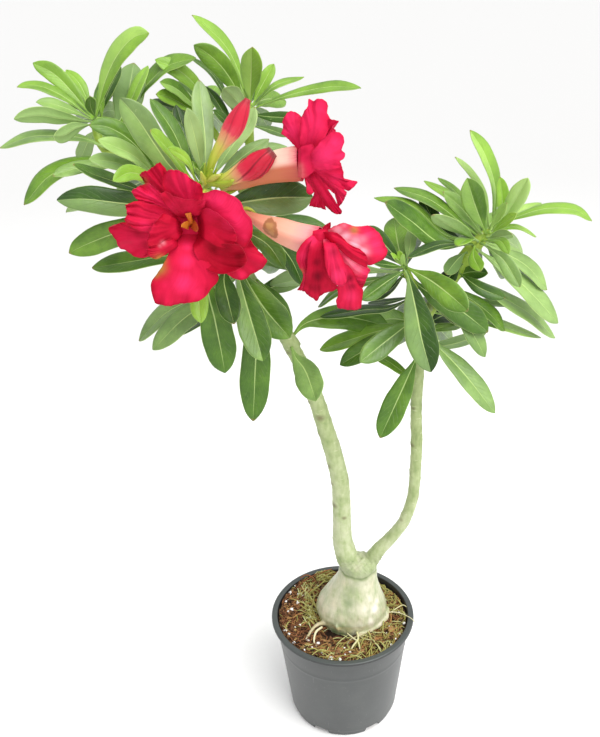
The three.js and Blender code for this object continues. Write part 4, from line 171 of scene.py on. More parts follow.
    ['leaf_right_10','R1',18.8,[-0.423,-0.721,0.549],[45.9,-30.9,455.5],[[46.9,-32.0,455.6],[62.6,-43.0,449.5],[74.9,-55.3,442.8],[85.4,-68.0,435.9]],0.5,0.0,0.0,0.0,0.185,0.0],
    ['leaf_right_11','R1',20.5,[0.037,-0.961,0.275],[51.7,-26.3,441.0],[[52.8,-22.0,443.0],[62.3,-23.3,433.8],[88.0,-26.9,418.4],[109.0,-30.3,401.4]],0.4,0.0,0.0,0.0,0.803,0.0],
    ['','R2',15.3,[0.567,-0.549,0.614],[81.4,-7.3,431.5],[[81.7,-8.0,431.5],[110.9,-7.1,408.8],[127.6,-6.4,390.2]],0.45,0.0,0.0,0.0,0.421,0.0],
    ['','RT',16.2,[0.375,-0.184,0.908],[65.0,-12.7,407.5],[[69.5,-5.0,407.8],[101.4,0.3,399.2],[130.3,5.5,388.8],[161.1,10.9,374.6]],0.82,0.0,0.0,0.0,0.0391,0.4],
    ['','R2',14.2,[0.295,-0.811,0.505],[74.1,-10.1,421.9],[[73.3,-16.0,423.9],[90.5,-23.7,410.4],[100.0,-28.8,396.1],[107.6,-32.4,381.7]],0.45,0.0,0.0,0.0,0.6571,0.3],
    ['','R1',13.9,[0.424,-0.585,0.691],[55.3,-22.8,431.6],[[55.5,-14.0,435.0],[75.1,-15.5,418.0],[94.8,-22.4,402.3]],0.05,0.0,0.0,0.0,0.2751,0.0],
    ['','RT',11.8,[0.476,-0.255,0.841],[63.4,-11.5,391.4],[[63.8,-6.0,391.7],[78.9,2.2,390.7],[100.4,24.9,384.5]],0.58,0.0,0.0,0.0,0.8931,0.2],
    ['leaf_right_12','RT',19.7,[0.396,-0.645,0.654],[63.8,-11.8,396.2],[[62.5,-20.0,395.9],[75.1,-24.1,385.6],[93.4,-32.5,367.1],[115.2,-45.0,340.3]],0.5,0.0,0.0,0.0,0.5112,0.35],
    ['','RT',13.1,[-0.184,0.967,0.177],[62.6,-11.0,382.5],[[62.8,-10.0,382.6],[85.6,-7.0,381.0],[114.8,-2.0,387.8]],0.32,0.0,0.0,0.0,0.1292,0.2],
    ['leaf_right_13','R1',22.7,[-0.117,-0.933,0.342],[45.6,-31.0,456.0],[[45.7,-36.0,454.9],[48.5,-37.5,449.4],[53.1,-44.9,427.8],[56.9,-52.8,407.7],[62.7,-62.0,386.5]],0.3,1.0,0.0,0.0,0.7472,0.0],
    ['leaf_right_14','RT',19.2,[-0.151,-0.899,0.41],[62.5,-10.9,380.9],[[60.2,-18.0,380.7],[46.8,-26.6,352.9],[28.9,-40.0,318.7]],0.45,0.0,0.0,0.0,0.3653,0.0],
    ['leaf_right_15','RT',17.6,[0.142,-0.8,0.583],[65.9,-13.0,412.1],[[57.4,-26.0,414.4],[49.8,-29.2,409.7],[32.0,-38.5,400.2],[12.8,-50.0,390.4]],0.46,0.0,0.0,0.0,0.9833,0.15],
    ['','RT',16.5,[-0.344,-0.667,0.661],[64.0,-11.8,397.5],[[60.5,-18.0,397.5],[41.5,-19.0,396.2],[18.9,-19.6,384.8],[-0.2,-19.2,372.6]],0.3,0.0,0.0,0.0,0.6013,0.0],
    ['','RT',19.5,[-0.35,-0.279,0.894],[63.8,-11.7,395.7],[[61.1,-8.0,396.1],[35.4,-5.6,394.3],[8.7,-2.0,385.2],[-14.7,1.8,375.6]],0.64,0.0,0.0,0.0,0.2194,0.0],
    ['leaf_left_23','LS',20.8,[0.265,-0.885,0.382],[-39.4,-7.5,390.1],[[-37.7,-8.0,390.8],[-23.4,-3.5,402.5],[5.3,3.4,402.4],[39.4,10.6,390.1]],0.5,0.0,0.0,0.0,0.8374,0.0],
    ['','R1',15.7,[-0.157,-0.125,0.98],[57.4,-20.4,425.2],[[55.4,-16.0,426.2],[38.0,-13.8,416.2],[19.5,-11.2,414.2],[-14.2,-6.2,407.5]],0.2,0.0,0.0,0.0,0.4554,0.0],
    ['','R1',11.9,[0.378,-0.692,0.615],[46.0,-30.7,455.0],[[46.0,-34.0,454.2],[30.8,-44.5,449.1],[13.5,-60.0,443.5]],0.36,0.0,0.0,0.0,0.0734,0.0],
    ['','R1',9.4,[0.571,-0.1,0.815],[45.6,-31.0,456.0],[[45.0,-36.0,457.2],[32.4,-47.7,463.7],[20.1,-62.0,471.1]],0.3,0.0,0.0,0.0,0.6915,0.0],
    ['','R1',11.3,[0.024,-0.979,0.204],[45.6,-31.0,456.0],[[44.3,-30.0,457.2],[32.3,-27.7,471.1],[20.4,-25.0,484.6]],0.2,0.0,0.0,0.0,0.3095,0.0],
    ['','R2',13.0,[0.03,-0.145,0.989],[101.4,-0.5,457.1],[[96.6,-14.0,464.5],[71.5,-25.5,468.8],[47.5,-37.2,464.3]],0.25,0.0,0.0,0.0,0.9275,0.0],
    ['','R2',15.0,[-0.001,0.651,0.759],[104.3,0.3,460.4],[[100.5,-12.0,466.6],[80.7,-30.6,482.8],[61.9,-49.8,499.0]],0.75,0.0,0.0,0.0,0.5456,0.75],
    ['','R2',11.0,[0.165,0.113,0.98],[104.7,0.4,460.9],[[102.1,-8.0,465.2],[90.7,-21.3,470.3],[81.3,-41.5,473.4]],0.8,0.0,0.0,0.0,0.1636,0.0],
    ['','R2',10.0,[-0.394,-0.2,0.897],[101.3,-0.5,456.9],[[98.2,-14.0,462.9],[96.2,-25.9,458.2],[97.8,-44.0,455.3]],0.75,0.0,0.0,0.0,0.7816,0.0],
    ['','R2',10.3,[-0.711,-0.664,0.231],[84.5,-6.1,435.7],[[85.2,-4.0,434.5],[96.9,-11.4,441.8],[107.6,-23.2,445.2]],0.28,0.0,0.0,0.0,0.3997,0.0],
    ['','R2',14.6,[0.327,-0.733,0.596],[100.5,-0.7,456.0],[[103.8,12.0,450.1],[78.6,19.4,465.9],[64.0,28.0,489.4]],0.12,0.0,0.0,0.0,0.0177,0.0],
    ['','R2',10.8,[-0.436,0.377,-0.817],[97.0,-1.7,452.0],[[93.8,-8.0,456.2],[85.5,-18.6,454.3],[74.5,-38.0,451.6]],0.3,0.0,0.0,0.0,0.6357,0.0],
    ['','R2',12.2,[0.414,-0.449,0.792],[91.7,-3.5,445.3],[[90.2,-14.0,449.3],[81.3,-24.4,446.0],[68.3,-44.0,442.1]],0.08,0.0,0.0,0.0,0.2537,0.0],
    ['','R1',9.3,[-0.729,-0.35,0.589],[49.7,-28.2,446.1],[[48.3,-22.0,447.8],[37.6,-16.3,431.8],[23.4,-10.0,422.5]],0.1,0.0,0.0,0.0,0.8718,0.0],
    ['','R1',8.7,[-0.463,0.006,0.886],[58.7,-18.9,421.2],[[56.3,-10.0,423.6],[41.4,3.0,414.6],[24.4,20.0,406.2]],0.15,0.0,0.0,0.0,0.4898,0.0],
    ['','RT',11.3,[0.099,-0.36,0.928],[61.2,-9.0,347.4],[[60.9,-8.0,347.4],[44.8,5.0,357.3],[27.8,20.0,363.0]],0.65,0.0,0.0,0.0,0.1078,0.0],
    ['','BA',14.3,[-0.196,-0.33,0.923],[-167.0,5.5,558.3],[[-168.4,10.0,557.2],[-183.3,35.0,565.8],[-199.4,57.7,568.5]],0.52,0.0,0.0,0.0,0.7259,0.0],
    ['','BA',12.9,[0.485,-0.444,0.753],[-167.0,5.5,558.3],[[-168.4,10.0,557.2],[-164.8,34.8,570.1],[-160.5,53.6,577.8]],0.45,0.0,0.0,0.0,0.3439,0.0],
    ['','BA',15.9,[-0.911,-0.388,0.14],[-167.0,5.5,558.3],[[-168.4,10.0,557.2],[-180.1,31.4,553.7],[-196.5,66.3,540.1]],0.44,0.0,0.0,0.0,0.9619,0.0],
    ['','BA',13.1,[0.972,-0.112,0.207],[-167.0,5.5,558.3],[[-168.4,10.0,557.2],[-164.7,37.6,557.6],[-160.9,62.9,551.5]],0.7,0.0,0.0,0.0,0.58,0.0],
    ['','BA',16.2,[-0.436,-0.314,0.843],[-132.9,-8.0,517.1],[[-132.4,0.0,516.0],[-143.4,28.4,523.4],[-155.2,53.7,524.9]],0.75,0.0,0.0,0.0,0.198,0.3],
    ['','BA',16.3,[-0.664,-0.644,-0.379],[-132.9,-8.0,517.1],[[-132.4,0.0,516.0],[-146.8,18.8,507.5],[-165.3,50.0,487.4]],0.4,0.0,0.0,0.0,0.816,0.0],
    ['','BA',16.3,[0.64,-0.15,0.754],[-132.9,-8.0,517.1],[[-132.4,0.0,516.0],[-128.7,37.9,520.4],[-123.3,64.3,521.1]],0.57,0.0,0.0,0.0,0.434,0.0],
    ['','BC',13.4,[-0.298,-0.576,0.761],[-60.8,35.5,558.1],[[-61.0,40.0,557.0],[-69.2,57.8,573.2],[-78.2,79.5,582.2]],0.7,0.0,0.0,0.0,0.0521,0.0],
    ['','BC',13.4,[0.407,-0.431,0.805],[-60.8,35.5,558.1],[[-61.0,40.0,557.0],[-55.5,61.4,568.5],[-50.0,80.8,573.7]],0.42,0.0,0.0,0.0,0.6701,0.0],
    ['','BC',14.1,[0.859,-0.362,0.361],[-60.8,35.5,558.1],[[-61.0,40.0,557.0],[-48.1,69.5,555.8],[-34.2,94.8,548.2]],0.6,0.0,0.0,0.0,0.2881,0.0],
    ['','BC',14.6,[-0.908,-0.292,-0.3],[-60.8,35.5,558.1],[[-61.0,40.0,557.0],[-66.7,59.4,554.8],[-74.1,96.0,541.6]],0.52,0.0,0.0,0.0,0.9062,0.0],
    ['','BC',13.6,[0.49,-0.53,-0.692],[-60.8,35.5,558.1],[[-61.0,40.0,557.0],[-54.9,55.9,549.2],[-49.1,85.7,530.5]],0.45,0.0,0.0,0.0,0.5242,0.0],
    ['','BC',16.9,[0.908,-0.418,-0.035],[-62.1,26.6,520.8],[[-62.1,30.0,520.0],[-49.7,54.8,517.0],[-36.8,85.0,504.8]],0.38,0.0,0.0,0.0,0.1422,0.0],
    ['','BC',16.9,[-0.882,-0.399,-0.249],[-62.1,26.6,520.8],[[-62.1,30.0,520.0],[-72.4,55.6,515.7],[-84.7,92.0,500.7]],0.55,0.0,0.0,0.0,0.7603,0.0],
    ['','BC',17.2,[0.422,-0.529,-0.736],[-62.1,26.6,520.8],[[-62.1,30.0,520.0],[-58.8,47.8,507.6],[-56.5,88.0,480.2]],0.47,0.0,0.0,0.0,0.3783,0.0],
    ['','BD',14.1,[-0.315,-0.477,0.821],[-95.2,58.7,546.2],[[-95.6,60.0,545.3],[-107.8,85.7,557.8],[-120.7,108.1,564.1]],0.4,0.0,0.0,0.0,0.9963,0.0],
    ['','BD',14.0,[0.38,-0.263,0.887],[-95.2,58.7,546.2],[[-95.6,60.0,545.3],[-93.1,93.8,554.3],[-89.8,114.0,558.9]],0.65,0.0,0.0,0.0,0.6144,0.0],
    ['','BD',16.7,[-0.953,-0.208,0.221],[-95.2,58.7,546.2],[[-95.6,60.0,545.3],[-103.7,86.8,543.0],[-114.1,124.0,530.8]],0.58,0.0,0.0,0.0,0.2324,0.4],
    ['','BD',13.9,[-0.71,-0.675,0.199],[-95.2,58.7,546.2],[[-95.6,60.0,545.3],[-113.8,76.1,548.6],[-134.3,97.9,543.4]],0.35,0.0,0.0,0.0,0.8504,0.0],
    ['','BD',14.8,[0.855,-0.27,-0.443],[-95.2,58.7,546.2],[[-95.6,60.0,545.3],[-90.8,79.1,541.1],[-87.6,116.0,525.1]],0.5,0.0,0.0,0.0,0.4684,0.0],
    ['','LT',18.9,[-0.361,-0.226,0.905],[-69.5,-11.8,451.1],[[-67.1,-4.0,453.1],[-86.1,29.0,457.7],[-107.1,62.0,455.2]],0.52,0.0,0.0,0.0,0.0865,0.0],
    ['','LT',17.5,[0.221,-0.137,0.966],[-69.5,-11.8,451.1],[[-67.1,-4.0,453.1],[-60.8,35.0,458.7],[-53.9,66.0,460.2]],0.45,0.0,0.0,0.0,0.7045,0.0],
    ['','LT',16.9,[0.871,-0.46,-0.171],[-69.5,-11.8,451.1],[[-67.1,-4.0,453.1],[-55.7,18.1,445.9],[-44.0,48.0,427.4]],0.38,0.0,0.0,0.0,0.3225,0.0],
    ['','LT',19.1,[-0.855,-0.517,-0.036],[-69.5,-11.8,451.1],[[-67.1,-4.0,453.1],[-82.2,16.5,437.8],[-100.2,50.0,407.9]],0.55,0.0,0.0,0.0,0.9406,0.0],
    ['','LT',20.4,[-0.259,-0.346,0.902],[-69.5,-11.8,451.1],[[-67.1,-4.0,453.1],[-96.2,22.6,460.3],[-128.0,52.0,459.4]],0.47,0.0,0.0,0.0,0.5586,0.0],
    ['','LT',20.1,[-0.556,-0.591,-0.584],[-69.5,-11.8,451.1],[[-67.1,-4.0,453.1],[-69.3,15.0,434.6],[-73.4,56.0,397.2]],0.4,0.0,0.0,0.0,0.1766,0.0],
    ['','BB',18.3,[-0.279,-0.06,0.958],[-82.0,-34.9,496.7],[[-83.5,-30.0,498.8],[-95.9,6.6,500.3],[-109.3,39.2,496.4]],0.57,0.0,0.0,0.0,0.7946,0.0],
    ['','BB',19.2,[0.642,0.125,0.756],[-82.0,-34.9,496.7],[[-83.5,-30.0,498.8],[-80.1,12.1,492.0],[-75.8,46.8,480.3]],0.5,0.0,0.0,0.0,0.4127,0.0],
    ['','R1',14.6,[-0.492,-0.024,0.87],[49.2,-28.7,447.5],[[47.8,-20.0,450.2],[41.8,9.0,451.2],[35.0,35.9,445.7]],0.42,0.0,0.0,0.0,0.0307,0.0],
    ['','R1',16.1,[-0.255,0.087,0.963],[49.2,-28.7,447.5],[[47.8,-20.0,450.2],[57.4,24.9,448.8],[64.8,48.3,448.4]],0.35,0.0,0.0,0.0,0.6487,0.0],
    ['','R1',17.1,[-0.983,-0.152,0.101],[49.2,-28.7,447.5],[[47.8,-20.0,450.2],[39.6,0.8,440.0],[32.2,36.8,415.1]],0.38,0.0,0.0,0.0,0.2668,0.0],
    ['','R1',13.4,[-0.224,-0.305,0.926],[49.2,-28.7,447.5],[[47.8,-20.0,450.2],[47.2,5.1,461.1],[46.3,27.5,466.0]],0.45,0.0,0.0,0.0,0.8848,0.0],
    ['','R2',15.2,[-0.551,-0.1,0.828],[107.3,1.1,463.8],[[108.7,6.0,461.5],[101.0,32.4,465.5],[93.5,62.3,460.9]],0.55,0.0,0.0,0.0,0.5028,0.0],
    ['','R2',14.7,[0.258,-0.141,0.956],[107.3,1.1,463.8],[[108.7,6.0,461.5],[120.5,30.4,466.2],[133.2,54.4,463.6]],0.55,0.0,0.0,0.0,0.1209,0.0],
    ['','R2',19.7,[0.812,-0.323,0.487],[107.3,1.1,463.8],[[108.7,6.0,461.5],[129.1,29.9,451.6],[153.9,63.2,429.5]],0.6,0.0,0.0,0.0,0.7389,0.5],
    ['','R2',17.9,[-0.845,-0.256,-0.469],[107.3,1.1,463.8],[[108.7,6.0,461.5],[108.7,23.2,448.3],[113.9,64.0,416.8]],0.22,0.0,0.0,0.0,0.3569,0.0],
    ['','R2',19.2,[0.819,-0.568,-0.085],[107.3,1.1,463.8],[[108.7,6.0,461.5],[123.7,30.0,441.1],[142.0,61.7,407.8]],0.48,0.0,0.0,0.0,0.9749,0.0],
    ['','R2',18.3,[-0.852,-0.008,0.523],[107.3,1.1,463.8],[[108.7,6.0,461.5],[98.7,37.6,452.5],[88.4,74.3,433.2]],0.42,0.0,0.0,0.0,0.593,0.0],
    ['','R2',16.3,[0.38,-0.112,0.918],[107.3,1.1,463.8],[[108.7,6.0,461.5],[116.3,51.1,463.6],[119.8,75.9,465.6]],0.55,0.0,0.0,0.0,0.211,0.0],
    ['','R2',20.9,[0.809,-0.505,0.301],[107.3,1.1,463.8],[[108.7,6.0,461.5],[131.1,21.8,442.2],[158.6,48.7,408.9]],0.35,0.0,0.0,0.0,0.829,0.0],
    ['','RT',17.5,[-0.845,-0.469,-0.259],[64.0,-11.8,397.5],[[64.9,-8.0,397.7],[54.9,14.2,386.0],[45.2,46.5,360.3]],0.3,0.0,0.0,0.0,0.4471,0.0],
    ['','RT',19.5,[0.882,-0.47,-0.003],[64.0,-11.8,397.5],[[64.9,-8.0,397.7],[80.5,20.2,381.3],[98.9,55.4,352.0]],0.52,0.0,0.0,0.0,0.0651,0.0],
    ['','RT',20.3,[0.652,-0.184,0.736],[64.0,-11.8,397.5],[[64.9,-8.0,397.7],[84.8,15.6,395.5],[108.4,50.3,379.9]],0.06,0.0,0.0,0.0,0.6831,0.0],
    ['','RT',17.6,[-0.81,-0.033,0.585],[64.0,-11.8,397.5],[[64.9,-8.0,397.7],[59.5,27.3,393.9],[52.6,56.7,384.7]],0.26,0.0,0.0,0.0,0.3012,0.0],
    ['','RT',18.1,[-0.005,0.095,0.995],[64.0,-11.8,397.5],[[64.9,-8.0,397.7],[74.7,38.4,393.6],[82.0,65.6,390.6]],0.12,0.0,0.0,0.0,0.9192,0.0],
    ['','RT',17.4,[-0.831,-0.494,0.255],[64.0,-11.8,397.5],[[64.9,-8.0,397.7],[46.1,14.7,394.0],[26.5,43.1,379.1]],0.6,0.0,0.0,0.0,0.5372,0.0],
]
